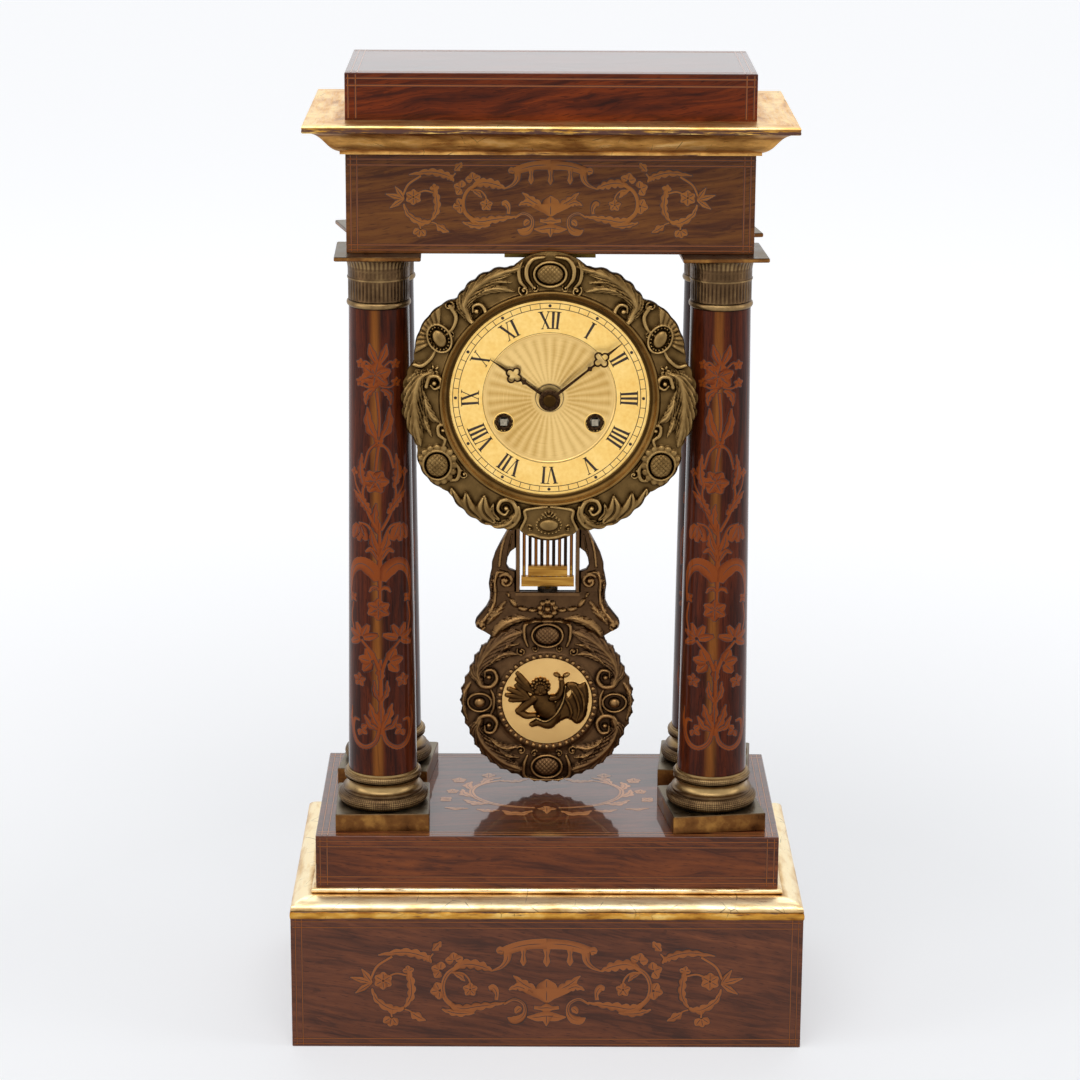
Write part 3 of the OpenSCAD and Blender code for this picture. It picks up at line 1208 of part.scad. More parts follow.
// Polished disc with a small winged child in low relief, a scarf blowing out beside it
module lump(x, z, r, flat) translate([x, bob_front - bob_t - 1, z]) difference() {
  translate([0, flat, 0]) sphere(r, $fn = 32);
  translate([-2 * r, 0, -2 * r]) cube(4 * r);
}
wing_t = 1.2;
scarf_t = 1.5;
module medallion() color(brass) translate([0, 0, bob_z]) {
  front = bob_front - bob_t - 1;
  rod(centre_at, medallion_d, front, front + medallion_t);
  lump(-3.4, 7, 4.8, 2.2);
  lump(-0.8, -0.6, 6.2, 3.6);
  lump(3.2, -7.6, 5.4, 2.9);
  lump(-7.6, -2.8, 3.2, 1.3);
  lump(-12.6, -6, 2.8, 1.1);
  lump(6.2, 1.6, 3, 1.3);
  lump(7.4, 7.4, 2.7, 1);
  slab(front - wing_t, wing_t + 0.1) {
    polygon([[-6, 2.6], [-8.6, 9.4], [-12.4, 13.4], [-15.4, 14.4], [-15.6, 9], [-11.4, 3.2]]);
    polygon([[-6, 0.6], [-11.6, 3], [-15.8, 7.4], [-19.4, 5.2], [-20.2, -0.6], [-15, -2.4]]);
  }
  slab(front - scarf_t, scarf_t + 0.1) polygon([[6.4, 6.6], [7, 12], [13, 11.2], [18.6, 9.4], [20.4,
      1], [18.4, -7.6],
    [13.2, -12], [7.4, -9.6], [12, -4.6], [13.6, 2], [11.4, 6.6]]);
}

base_box();
bottom_board();
base_moulding();
base_step();
frieze_box();
cornice();
attic_block();
column_shaft_front_left();
column_shaft_front_right();
column_shaft_back_left();
column_shaft_back_right();
column_base_front_left();
column_base_front_right();
column_base_back_left();
column_base_back_right();
column_capital_front_left();
column_capital_front_right();
column_capital_back_left();
column_capital_back_right();
tie_rods();
screws();
drum_case();
drum_bracket();
bezel();
dial();
front_plate();
back_plate();
going_barrel();
strike_barrel();
mainsprings();
going_arbor();
strike_arbor();
going_click();
strike_click();
intermediate_wheel();
centre_wheel();
third_wheel();
escape_wheel();
pin_wheel();
locking_wheel();
warning_wheel();
fly();
count_wheel();
hammer();
bell();
bell_stand();
cannon_pinion();
minute_wheel();
hour_wheel();
hour_hand();
minute_hand();
suspension_cock();
suspension_spring();
pallet_anchor();
gridiron();
lyre();
bob();
bob_weight();
medallion();
rating_nut();
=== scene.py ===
import math
import bpy
import bmesh
import numpy as np
from mathutils import Matrix, Vector


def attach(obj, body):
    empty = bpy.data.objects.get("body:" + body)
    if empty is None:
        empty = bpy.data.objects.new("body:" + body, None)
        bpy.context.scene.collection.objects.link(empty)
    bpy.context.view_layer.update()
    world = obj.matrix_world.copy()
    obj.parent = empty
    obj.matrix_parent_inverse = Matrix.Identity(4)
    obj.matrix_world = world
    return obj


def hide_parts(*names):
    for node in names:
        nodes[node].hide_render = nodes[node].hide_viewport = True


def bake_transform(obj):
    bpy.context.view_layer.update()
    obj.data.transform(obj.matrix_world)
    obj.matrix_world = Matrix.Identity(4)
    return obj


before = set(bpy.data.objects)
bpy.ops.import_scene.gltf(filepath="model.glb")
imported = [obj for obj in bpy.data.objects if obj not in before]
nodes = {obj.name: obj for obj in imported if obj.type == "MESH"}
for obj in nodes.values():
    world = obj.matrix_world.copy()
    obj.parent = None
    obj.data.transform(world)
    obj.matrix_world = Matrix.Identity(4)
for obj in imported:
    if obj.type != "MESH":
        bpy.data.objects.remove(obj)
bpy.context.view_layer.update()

tau = 2 * math.pi


# small tools
def colour(text):
    c = np.array([int(text[i:i + 2], 16) for i in (1, 3, 5)]) / 255   # sRGB hex to linear
    return (*np.where(c <= 0.04045, c / 12.92, ((c + 0.055) / 1.055) ** 2.4).tolist(), 1.0)


# The inputs of a node, by name or in order: a socket is linked, anything else becomes the value.
def fill(tree, node, inputs):
    for socket, value in inputs.items() if isinstance(inputs, dict) else enumerate(inputs):
        if isinstance(value, bpy.types.NodeSocket):
            tree.links.new(value, node.inputs[socket])
        else:
            node.inputs[socket].default_value = value


# One node with its settings, its inputs and, on a ramp, its stops; it gives one of its outputs back.
def add(tree, kind, inputs=(), out=0, stops=(), **settings):
    node = tree.nodes.new("ShaderNode" + kind)
    for key, value in settings.items():
        setattr(node, key, value)
    fill(tree, node, inputs)
    if stops:
        ramp = node.color_ramp.elements
        while len(ramp) < len(stops):
            ramp.new(0.5)
        for spot, (place, tone) in zip(ramp, stops):
            spot.position = place
            spot.color = colour(tone)
    return node.outputs[out]


# Values and links of a material's own shader.
def setShader(m, inputs):
    fill(m.node_tree, m.node_tree.nodes["Principled BSDF"], inputs)


# A material and its tree; roughness and metallic are plain values until something is linked.
def newMaterial(name, rough, metallic=0.0):
    m = bpy.data.materials.new(name)
    m.use_nodes = True
    setShader(m, {"Roughness": rough, "Metallic": metallic})
    return m, m.node_tree


def seenRays(tree):   # 1 on rays that see a surface straight, in a mirror or through glass
    kinds = ("Is Camera Ray", "Is Glossy Ray", "Is Transmission Ray")
    straight, mirror, through = [add(tree, "LightPath", out=kind) for kind in kinds]
    seen = add(tree, "Math", (straight, mirror), operation="MAXIMUM")
    return add(tree, "Math", (seen, through), operation="MAXIMUM")


# A sheet is a grid of points (nu, nv, 3) in mm; each cell becomes a quad, and the grid's own uv goes along.
def sheet(points, uv=None, flip=False):
    nu, nv = points.shape[:2]
    a = (np.arange(nu - 1)[:, None] * nv + np.arange(nv - 1)[None, :]).ravel()
    quads = np.stack([a, a + nv, a + nv + 1, a + 1], -1)
    if flip:
        quads = quads[:, ::-1]
    if uv is None:
        uv = grid(np.arange(nu), np.arange(nv))
    return {"v": points.reshape(-1, 3), "f": [quads], "uv": np.asarray(uv, float).reshape(-1, 2)}


# Every pair of a u and a v, as an array (nu, nv, 2).
def grid(u, v):
    return np.stack(np.meshgrid(u, v, indexing="ij"), -1)


# One flat face through a ring of points, with x and y (or the two given axes) as its uv.
def capFace(ring, axes=(0, 1), flip=False):
    order = np.arange(len(ring))[None, :]
    return {"v": ring, "f": [order[:, ::-1] if flip else order], "uv": ring[:, list(axes)]}


# relief: the level that ormolu tints by, patina together with painted shade in hollows and painted
# highlight on ridges
def toned(part, relief, mat=0):   # a part with relief for tinting: one value, or one at each point
    return dict(part, mat=mat, attr={"relief": np.broadcast_to(np.ravel(relief), len(part["v"]))})


def closed(rows):   # the first row again at the end
    return np.concatenate([rows, rows[:1]])


# Parts joined into one mesh at the origin: corners are laid end to end, close points are merged.
def assemble(name, parts, mats, body="case", replaces=(), sharp=35, recalc=False):
    mergeMetres = 2e-6
    verts = np.concatenate([p["v"] for p in parts])
    uvs = np.concatenate([p["uv"] for p in parts])
    counts, corners, slots, offset = [], [], [], 0
    for p in parts:
        for f in p["f"]:
            counts.append(np.full(len(f), f.shape[1]))
            corners.append((f + offset).ravel())
            slots.append(np.full(len(f), p.get("mat", 0)))
        offset += len(p["v"])
    counts, corners, slots = map(np.concatenate, (counts, corners, slots))
    mesh = bpy.data.meshes.new(name)
    mesh.vertices.add(len(verts))
    mesh.vertices.foreach_set("co", (verts * 0.001).astype(np.float32).ravel())
    mesh.loops.add(len(corners))
    mesh.loops.foreach_set("vertex_index", corners.astype(np.int32))
    mesh.polygons.add(len(counts))
    mesh.polygons.foreach_set("loop_start", (np.cumsum(counts) - counts).astype(np.int32))
    mesh.update(calc_edges=True)
    layer = mesh.uv_layers.new(name="UVMap")
    layer.data.foreach_set("uv", uvs[corners].astype(np.float32).ravel())
    for key in {k for p in parts for k in p.get("attr", {})}:
        rows = [np.broadcast_to(p.get("attr", {}).get(key, 0.5), len(p["v"])) for p in parts]
        values = np.concatenate(rows).astype(np.float32)
        mesh.attributes.new(key, "FLOAT", "POINT").data.foreach_set("value", values)
    for m in mats:
        mesh.materials.append(m)
    mesh.polygons.foreach_set("material_index", slots.astype(np.int32))
    bm = bmesh.new()
    bm.from_mesh(mesh)
    bmesh.ops.remove_doubles(bm, verts=bm.verts, dist=mergeMetres)
    if recalc:
        bmesh.ops.recalc_face_normals(bm, faces=bm.faces)
    bm.to_mesh(mesh)
    bm.free()
    mesh.polygons.foreach_set("use_smooth", np.ones(len(mesh.polygons), bool))
    mesh.set_sharp_from_angle(angle=math.radians(sharp))
    obj = bpy.data.objects.new(name, mesh)
    bpy.context.scene.collection.objects.link(obj)
    if body:
        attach(obj, body)
    if replaces:
        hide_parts(*replaces)
    return obj


# Arc length along a polyline (n, 2 or 3), starting at 0.
def runLength(p):
    return np.concatenate([[0], np.cumsum(np.linalg.norm(np.diff(p, axis=0), axis=1))])


# Values spread evenly over 0 to 1 and read at the shares t.
def along(t, values):
    return np.interp(t, np.linspace(0, 1, len(values)), values)


# Smooth curve through the given points, n samples: cubics whose slopes come from the neighbouring points.
def smooth(points, n=60):
    p = np.asarray(points, float)
    p = np.vstack([2 * p[0] - p[1], p, 2 * p[-1] - p[-2]])
    t = np.linspace(0, len(p) - 3, n)
    k = np.minimum(t.astype(int), len(p) - 4)
    t = (t - k)[:, None]
    a, b, c, d = p[k], p[k + 1], p[k + 2], p[k + 3]
    square, cube = 2 * a - 5 * b + 4 * c - d, 3 * b - a - 3 * c + d
    return 0.5 * (2 * b + (c - a) * t + square * t ** 2 + cube * t ** 3)


# Unit vectors to the right of a path (n, 2), and along it.
def sideways(path, loop=False):
    t = np.roll(path, -1, 0) - np.roll(path, 1, 0) if loop else np.gradient(path, axis=0)
    t /= np.linalg.norm(t, axis=1)[:, None]
    return np.column_stack([t[:, 1], -t[:, 0]]), t


# A profile (out, up) carried round a rectangle w by d; offsets keep the corner radius r, so it mitres.
def frameSweep(w, d, profile, r=0.5, steps=5):
    profile = np.array(profile, float)
    turn = np.concatenate([np.linspace(0, math.pi / 2, steps) + k * math.pi / 2 for k in range(4)])[:, None]
    sx = np.repeat([1, -1, -1, 1], steps)[:, None]
    sy = np.repeat([1, 1, -1, -1], steps)[:, None]
    x = sx * (w / 2 + profile[None, :, 0] - r) + r * np.cos(turn)
    y = sy * (d / 2 + profile[None, :, 0] - r) + r * np.sin(turn)
    pts = np.stack([x, y, np.broadcast_to(profile[:, 1], x.shape)], -1)
    u = runLength(closed(np.concatenate([sx * w / 2, sy * d / 2], 1)))
    return sheet(closed(pts), grid(u, runLength(profile)))


# The flat end of such a sweep, inset from the rectangle at height z.
def frameCap(w, d, inset, z, down, r=0.5):
    ring = frameSweep(w, d, [[inset, z], [inset - 0.01, z]], r)["v"].reshape(-1, 2, 3)[:-1, 0]
    return capFace(ring, flip=down)


# A profile (r, z) turned about a vertical axis; swell, from angle and row, is added to the radius.
def lathe(profile, at, n=96, swell=None, a0=0.0):
    th = a0 + np.linspace(0, tau, n + 1)
    r = profile[None, :, 0] + (0 if swell is None else swell(th[:, None], np.arange(len(profile))[None, :]))
    r = np.broadcast_to(r, (n + 1, len(profile)))
    pts = np.stack([at[0] + r * np.cos(th)[:, None], at[1] + r * np.sin(th)[:, None],
                    np.broadcast_to(profile[:, 1], r.shape)], -1)
    return sheet(pts, grid((th - a0) * profile[:, 0].max(), runLength(profile)))


# An arc of an ellipse from angle a0 to a1 in degrees.
def bow(c, rx, ry, a0, a1, n):
    a = np.radians(np.linspace(a0, a1, n + 1))
    return np.stack([c[0] + rx * np.cos(a), c[1] + ry * np.sin(a)], -1)


# Places on an upright face: x and z about a height, standing forward of a plane by lift.
def facing(x, z, lift, plane, centre):
    x, z, lift = np.broadcast_arrays(x, z, lift)
    return np.stack([x, plane - lift, centre + z], -1)


print("tools ready")

# camera
camera = {"place": (-0.01192, -1.5710, 0.6889), "towards": (0.00483, 0.96211, -0.27261), "roll": 0.28,
          "lens": 108.03, "sensor": 36, "far": 60}
scene = bpy.context.scene
cam = bpy.data.objects.new("camera", bpy.data.cameras.new("camera"))
scene.collection.objects.link(cam)
cam.data.lens = camera["lens"]
cam.data.sensor_width = camera["sensor"]
cam.location = camera["place"]
cam.rotation_euler = (Vector(camera["towards"]).to_track_quat("-Z", "Y").to_matrix()
                      @ Matrix.Rotation(math.radians(camera["roll"]), 3, "Z")).to_euler()
cam.data.clip_end = camera["far"]
scene.camera = cam
scene.view_settings.view_transform = "Standard"

# light, floor and backdrop
studio = {"backdrop": "#fbfcfe", "ambient": 0.42, "floor": "#bcbdbf", "glowNear": 0.42, "glowFar": 0.74,
          "glowFrom": 0.3, "glowTo": 1.3, "floorHalf": 14, "aim": (0, 0, 0.26)}
world = bpy.data.worlds.new("studio")
world.use_nodes = True
scene.world = world
t = world.node_tree
paint = colour(studio["backdrop"])
dim, white = [add(t, "Background", {"Color": paint, "Strength": s}) for s in (studio["ambient"], 1.0)]
mixed = add(t, "MixShader", (seenRays(t), dim, white))
t.links.new(mixed, t.nodes["World Output"].inputs["Surface"])

# Matt white paper, one sheet under and behind: it glows a little where it is seen, so that it stays white
paper, t = newMaterial("mattWhitePaper", 0.9)
here = add(t, "TexCoord", out="Object")
fibre = add(t, "TexNoise", {"Vector": here, "Scale": 900.0, "Detail": 3.0})
away = add(t, "VectorMath", (here,), "Value", operation="LENGTH")
glow = add(t, "MapRange", (away, *[studio[k] for k in ("glowFrom", "glowTo", "glowNear", "glowFar")]))
setShader(paper, {
    "Base Color": colour(studio["floor"]), "Specular IOR Level": 0.1, "Emission Color": paint,
    "Emission Strength": add(t, "Math", (seenRays(t), glow), operation="MULTIPLY"),
    "Normal": add(t, "Bump", {"Height": fibre, "Strength": 0.02, "Distance": 0.0002})})
floorMesh = bpy.data.meshes.new("floor")
far = studio["floorHalf"]
floorMesh.from_pydata([(-far, -far, 0), (far, -far, 0), (far, far, 0), (-far, far, 0)], [], [(0, 1, 2, 3)])
floorMesh.materials.append(paper)
floor = bpy.data.objects.new("floor", floorMesh)
scene.collection.objects.link(floor)

lamps = [   # place (m), size (m), power (W)
    ((-0.2, -1.15, 1.75), (1.6, 1.0), 17.0),
    ((-1.45, -0.55, 0.75), (0.7, 1.3), 7.0),
    ((1.5, -0.35, 0.8), (0.7, 1.3), 6.0),
    ((0.1, 1.0, 1.6), (1.8, 0.8), 6.0),
]
for i, (place, size, power) in enumerate(lamps):
    light = bpy.data.lights.new(f"softbox{i}", "AREA")
    light.shape = "RECTANGLE"
    light.size, light.size_y = size
    light.energy = power
    lamp = bpy.data.objects.new(f"softbox{i}", light)
    lamp.location = place
    lamp.rotation_euler = (Vector(studio["aim"]) - Vector(place)).to_track_quat("-Z", "Y").to_euler()
    scene.collection.objects.link(lamp)
print("camera and light ready")


# woods
# Brazilian rosewood veneer, sawn, laid and French-polished: streaky brown with near-black lines along the
# grain, short open pores, and a clear shellac film that mirrors the room more the flatter one looks at it.
def rosewood(name, tints, filmIor, wander=1.0, gloss=0.15, slant=-0.13, paintedHighlight=None):
    m, t = newMaterial(name, 0.42)
    uv = add(t, "TexCoord", out="UV")   # mm along and across the grain
    drift = add(t, "Mapping", {"Vector": uv, "Scale": (1 / 60, 1 / 24, 1)})
    drift = add(t, "TexNoise", {"Vector": drift, "Scale": 1.0, "Detail": 2.0}, "Color")
    drift = add(t, "VectorMath", (drift, (0.0, 9.0 * wander, 0.0)), operation="MULTIPLY")
    bent = add(t, "VectorMath", (uv, drift), operation="ADD")
    bent = add(t, "Mapping", {"Vector": bent, "Rotation": (0, 0, slant)})
    streak = add(t, "Mapping", {"Vector": bent, "Scale": (1 / 44, 1 / 2.3, 1)})
    streak = add(t, "TexNoise", {"Vector": streak, "Scale": 1.0, "Detail": 6.0, "Roughness": 0.6,
                                 "Distortion": 0.5})
    cloud = add(t, "Mapping", {"Vector": bent, "Scale": (1 / 60, 1 / 13, 1), "Location": (3, 7, 0)})
    cloud = add(t, "TexNoise", {"Vector": cloud, "Scale": 1.0, "Detail": 3.0, "Distortion": 1.3})
    both = add(t, "Math", (streak, 0.55), operation="MULTIPLY")
    both = add(t, "Math", (cloud, 0.45, both), operation="MULTIPLY_ADD")
    wood = add(t, "ValToRGB", (both,), stops=list(zip((0.31, 0.43, 0.55, 0.70), tints)))
    pore = add(t, "Mapping", {"Vector": bent, "Scale": (1 / 5.5, 1 / 0.5, 1)})
    pore = add(t, "TexNoise", {"Vector": pore, "Scale": 1.0, "Detail": 1.0})
    dash = add(t, "MapRange", (pore, 0.60, 0.70, 0.0, 0.75))
    # ink lines: the thin dark contours of a slow noise, here and there
    ink = add(t, "Mapping", {"Vector": bent, "Scale": (1 / 70, 1 / 8, 1), "Location": (5, 2, 0)})
    ink = add(t, "TexNoise", {"Vector": ink, "Scale": 1.0, "Detail": 3.0, "Distortion": 0.6})
    ink = add(t, "Math", (ink, 0.5, 0.02), operation="COMPARE")
    ink = add(t, "Math", (ink, add(t, "MapRange", (cloud, 0.58, 0.42, 0.0, 0.5))), operation="MULTIPLY")
    dark = add(t, "Math", (dash, ink), operation="MAXIMUM")
    final = add(t, "Mix", {0: dark, 6: wood, 7: colour(tints[0])}, 2, data_type="RGBA")
    if paintedHighlight:   # a painted highlight: a pale stripe along the grain, given by its place across it, its width in mm and its tint
        place, width, pale = paintedHighlight
        across = add(t, "Math", (add(t, "SeparateXYZ", (uv,), 1), place), operation="SUBTRACT")
        across = add(t, "Math", (across,), operation="ABSOLUTE")
        share = add(t, "MapRange", (streak, 0.3, 0.65, 0.4, 0.9))
        share = add(t, "MapRange", (across, 0.4, width, share, 0.0), interpolation_type="SMOOTHSTEP")
        final = add(t, "Mix", {0: share, 6: final, 7: colour(pale)}, 2, data_type="RGBA")
    # old shellac is not flat: slow waves some 18 mm long
    waves = add(t, "Mapping", {"Vector": uv, "Scale": (1 / 22, 1 / 15, 1)})
    waves = add(t, "TexNoise", {"Vector": waves, "Scale": 1.0, "Detail": 2.0})
    setShader(m, {
        "Base Color": final, "Specular IOR Level": gloss,
        "Coat Weight": 1.0, "Coat Roughness": 0.06, "Coat IOR": filmIor,
        "Normal": add(t, "Bump", {"Height": dash, "Strength": 0.15, "Distance": 0.00005}, invert=True),
        "Coat Normal": add(t, "Bump", {"Height": waves, "Strength": 0.12, "Distance": 0.0006})})
    return m


baseWood = rosewood("rosewoodFrenchPolished", ("#371b11", "#532b19", "#6a3921", "#804728"), 1.26,
                    slant=0.17)
stepWood = rosewood("rosewoodStepPolished", ("#381a0e", "#572b17", "#713a1c", "#874822"), 1.2, 1.8,
                    slant=0.1)
friezeWood = rosewood("rosewoodFadedPolished", ("#38190b", "#542c12", "#6c3f18", "#7f4e20"), 1.2,
                      gloss=0.09)
blockWood = rosewood("rosewoodRedPolished", ("#2a0d05", "#4e1e0a", "#692b0d", "#813911"), 1.15, 1.6, 0.09)
# the pale stripe down the front of each shaft is a painted highlight
columnWood = rosewood("rosewoodColumnPolished", ("#1d0904", "#371409", "#511f0b", "#6b2d11"), 1.15, 0.4,
                      0.05, slant=0.0, paintedHighlight=(52.2, 4.0, "#955820"))
topWood = rosewood("rosewoodTopPolished", ("#2a120a", "#48220f", "#633018", "#7a4022"), 1.6)


# Fruitwood marquetry: fine plain wood, tanned by age and scorched in hot sand towards one edge, under the
# same film. uv runs along a piece and across it (0 to 1); tone shifts its shade from piece to piece.
def fruitwood(name, pale, mid, burnt, filmIor, gloss=0.15):
    m, t = newMaterial(name, 0.4)
    uv = add(t, "TexCoord", out="UV")
    grain = add(t, "Mapping", {"Vector": uv, "Scale": (0.25, 5.0, 1)})
    grain = add(t, "TexNoise", {"Vector": grain, "Scale": 1.0, "Detail": 3.0})
    edge = add(t, "MapRange", (add(t, "SeparateXYZ", (uv,), 1), 0.0, 0.42, 0.55, 0.0))
    shade = add(t, "Math", (grain, 0.5, edge), operation="MULTIPLY_ADD")
    shade = add(t, "Math", (shade, add(t, "Attribute", out="Fac", attribute_name="tone")), operation="ADD")
    setShader(m, {
        "Base Color": add(t, "ValToRGB", (shade,), stops=((0.3, pale), (0.8, mid), (0.9, burnt))),
        "Specular IOR Level": gloss, "Coat Weight": 1.0, "Coat Roughness": 0.07, "Coat IOR": filmIor,
        "Normal": add(t, "Bump", {"Height": grain, "Strength": 0.08, "Distance": 0.00004})})
    return m


frontInlay = fruitwood("pearwoodInlay", "#a05d2e", "#854a24", "#45220f", 1.2)
friezeInlay = fruitwood("pearwoodFadedInlay", "#9a5f29", "#824c1f", "#45240f", 1.2, 0.07)
columnInlay = fruitwood("pearwoodColumnInlay", "#8c4317", "#6f2f10", "#3a160a", 1.15, 0.05)
topInlay = fruitwood("pearwoodTopInlay", "#c4834f", "#a86a3b", "#6a3a1c", 1.5)
stringWood = fruitwood("boxwoodStringing", "#945429", "#7e4622", "#5a2e14", 1.17, 0.05)
stringTop = fruitwood("boxwoodStringingTop", "#b5713c", "#9a5c2e", "#6c3c1e", 1.5)

# Saw cut round each inlaid piece, filled with dark glue: dull, nearly black
kerf, t = newMaterial("darkGlueLine", 0.5)
glue = add(t, "TexNoise", {"Vector": add(t, "TexCoord", out="Object"), "Scale": 600.0})
setShader(kerf, {"Base Color": add(t, "ValToRGB", (glue,), stops=((0.3, "#120604"), (0.7, "#2a110a"))),
                 "Coat Weight": 1.0, "Coat Roughness": 0.1, "Coat IOR": 1.2})

# Oak bottom board, planed and left raw: straight brown grain with grey dust
oak, t = newMaterial("oakPlanedRaw", 0.8)
grain = add(t, "Mapping", {"Vector": add(t, "TexCoord", out="Object"), "Scale": (12, 260, 40)})
grain = add(t, "TexNoise", {"Vector": grain, "Scale": 1.0, "Detail": 5.0})
oakTints = ((0.3, "#4a3520"), (0.55, "#7d5f3c"), (0.75, "#977850"))
setShader(oak, {"Base Color": add(t, "ValToRGB", (grain,), stops=oakTints),
                "Normal": add(t, "Bump", {"Height": grain, "Strength": 0.3, "Distance": 0.0003})})


# metals
# Burnished gold leaf over red bole on carved wood: warm mirror-like gold with soft dents, rubbed through to
# red and brown in streaks along it, and broken by thin dark cracks across. One attribute darkens it with
# dirt and painted shade in the hollows and quirks; where it is negative, it lightens the rounds as a
# painted highlight.
def goldLeaf(name, pale, gold, deep, worn):
    m, t = newMaterial(name, 0.3, 1.0)
    uv = add(t, "TexCoord", out="UV")   # mm along the length and round the profile
    tone = add(t, "Mapping", {"Vector": uv, "Scale": (1 / 18, 1 / 7, 1)})
    tone = add(t, "TexNoise", {"Vector": tone, "Scale": 1.0, "Detail": 5.0, "Roughness": 0.6})
    dirt, wear = [add(t, "Attribute", out="Fac", attribute_name=key) for key in ("dirt", "wear")]
    # dirt and painted light: where positive it darkens with dirt and painted shade, where negative it
    # paints a highlight
    level = add(t, "Math", (dirt, -0.42, tone), operation="MULTIPLY_ADD")
    leaf = add(t, "ValToRGB", (level,), stops=((0.08, worn), (0.3, deep), (0.5, gold), (0.7, pale)))
    rub = add(t, "Mapping", {"Vector": uv, "Scale": (1 / 14, 1 / 1.3, 1), "Location": (9, 4, 0)})
    rub = add(t, "TexNoise", {"Vector": rub, "Scale": 1.0, "Detail": 6.0, "Roughness": 0.7})
    bare = add(t, "Math", (wear, 0.34, rub), operation="MULTIPLY_ADD")
    bare = add(t, "MapRange", (bare, 0.74, 0.82))
    crack = add(t, "Mapping", {"Vector": uv, "Scale": (1 / 17, 1 / 30, 1), "Rotation": (0, 0, 0.5)})
    crack = add(t, "TexVoronoi", {"Vector": crack, "Scale": 1.0}, "Distance", feature="DISTANCE_TO_EDGE")
    crack = add(t, "MapRange", (crack, 0.0, 0.012, 0.8, 0.0))
    crack = add(t, "Math", (crack, add(t, "MapRange", (tone, 0.5, 0.6))), operation="MULTIPLY")
    rubbed = add(t, "Mix", {0: bare, 6: leaf, 7: colour(worn)}, 2, data_type="RGBA")
    setShader(m, {
        "Base Color": add(t, "Mix", {0: crack, 6: rubbed, 7: colour("#2a140a")}, 2, data_type="RGBA"),
        "Metallic": add(t, "Math", (1.0, bare), operation="SUBTRACT"),
        "Roughness": add(t, "MapRange", (rub, 0.3, 0.8, 0.22, 0.55)),
        "Normal": add(t, "Bump", {"Height": tone, "Strength": 0.25, "Distance": 0.0004})})
    return m


giltFoot = goldLeaf("burnishedGoldLeaf", "#fbe8bd", "#e3c28c", "#ae854d", "#6b3a1e")
giltEdge = goldLeaf("burnishedGoldEdge", "#efca78", "#cc953f", "#8e5a20", "#4d2411")
giltCornice = goldLeaf("rubbedGoldLeaf", "#f6d494", "#d9a45a", "#90602f", "#55290f")


# Cast bronze, mercury-gilt and gone brown: gold left on what stands proud, dark wax and dirt in the
# hollows, with painted shade and highlight on top: relief is 0 in hollows and 1 on ridges, and it also
# darkens crevices and lightens rims as light would; size is that of the stains in mm.
def ormolu(name, hollow, mid, proud, rough, relief=True, size=7.0):
    m, t = newMaterial(name, rough, 1.0)
    here = add(t, "TexCoord", out="Object")
    stain = add(t, "TexNoise", {"Vector": here, "Scale": 1000 / size, "Detail": 5.0, "Roughness": 0.65})
    level = stain
    if relief:
        # patina and painted shade from the mesh: darker in hollows, lighter on ridges
        patinaShadeLevel = add(t, "Attribute", out="Fac", attribute_name="relief")
        level = add(t, "Math", (stain, 0.45, patinaShadeLevel), operation="MULTIPLY_ADD")
        level = add(t, "Math", (level, 0.22), operation="SUBTRACT")
    fine = add(t, "TexNoise", {"Vector": here, "Scale": 1400.0, "Detail": 2.0})
    setShader(m, {
        "Base Color": add(t, "ValToRGB", (level,), stops=((0.22, hollow), (0.5, mid), (0.82, proud))),
        "Roughness": add(t, "MapRange", (stain, 0.3, 0.7, rough - 0.08, rough + 0.14)),
        "Normal": add(t, "Bump", {"Height": fine, "Strength": 0.12, "Distance": 0.0001})})
    return m


bezelBronze = ormolu("giltBronzePatinated", "#34240f", "#6d5430", "#ab8c58", 0.36)
bobBronze = ormolu("darkGiltBronze", "#302014", "#63482f", "#9c774a", 0.36)
columnBronze = ormolu("ormoluColumnMounts", "#2a1d13", "#5b452e", "#a88b5c", 0.34)
greyBronze = ormolu("ormoluGreyed", "#4b4234", "#756a56", "#9a8d76", 0.3, False, 14.0)
plinthBronze = ormolu("ormoluRubbedRed", "#3c2212", "#724a26", "#b78644", 0.34, False, 11.0)
bracketBrass = ormolu("castBrassDull", "#4e3c18", "#8d7136", "#b5964f", 0.38, False, 9.0)
coveBrass = ormolu("bezelCoveBrown", "#38260f", "#684c26", "#86683a", 0.32)
medalBrass = ormolu("brassMedallion", "#2c1c0e", "#6a4a26", "#deb472", 0.34)


# Rolled brass sheet, lacquered: fine straight brushing and a few darker spots.
def brass(name, dark, mid, pale, rough, brush=(40, 40, 2600)):
    m, t = newMaterial(name, rough, 1.0)
    here = add(t, "TexCoord", out="Object")
    lines = add(t, "Mapping", {"Vector": here, "Scale": brush})
    lines = add(t, "TexNoise", {"Vector": lines, "Scale": 1.0, "Detail": 3.0})
    spot = add(t, "TexNoise", {"Vector": here, "Scale": 120.0, "Detail": 5.0, "Roughness": 0.7})
    level = add(t, "Math", (lines, 0.35), operation="MULTIPLY")
    level = add(t, "Math", (spot, 0.65, level), operation="MULTIPLY_ADD")
    setShader(m, {
        "Base Color": add(t, "ValToRGB", (level,), stops=((0.33, dark), (0.5, mid), (0.66, pale))),
        "Roughness": add(t, "MapRange", (level, 0.3, 0.7, rough + 0.12, rough - 0.05)),
        "Normal": add(t, "Bump", {"Height": lines, "Strength": 0.1, "Distance": 0.00005})})
    return m


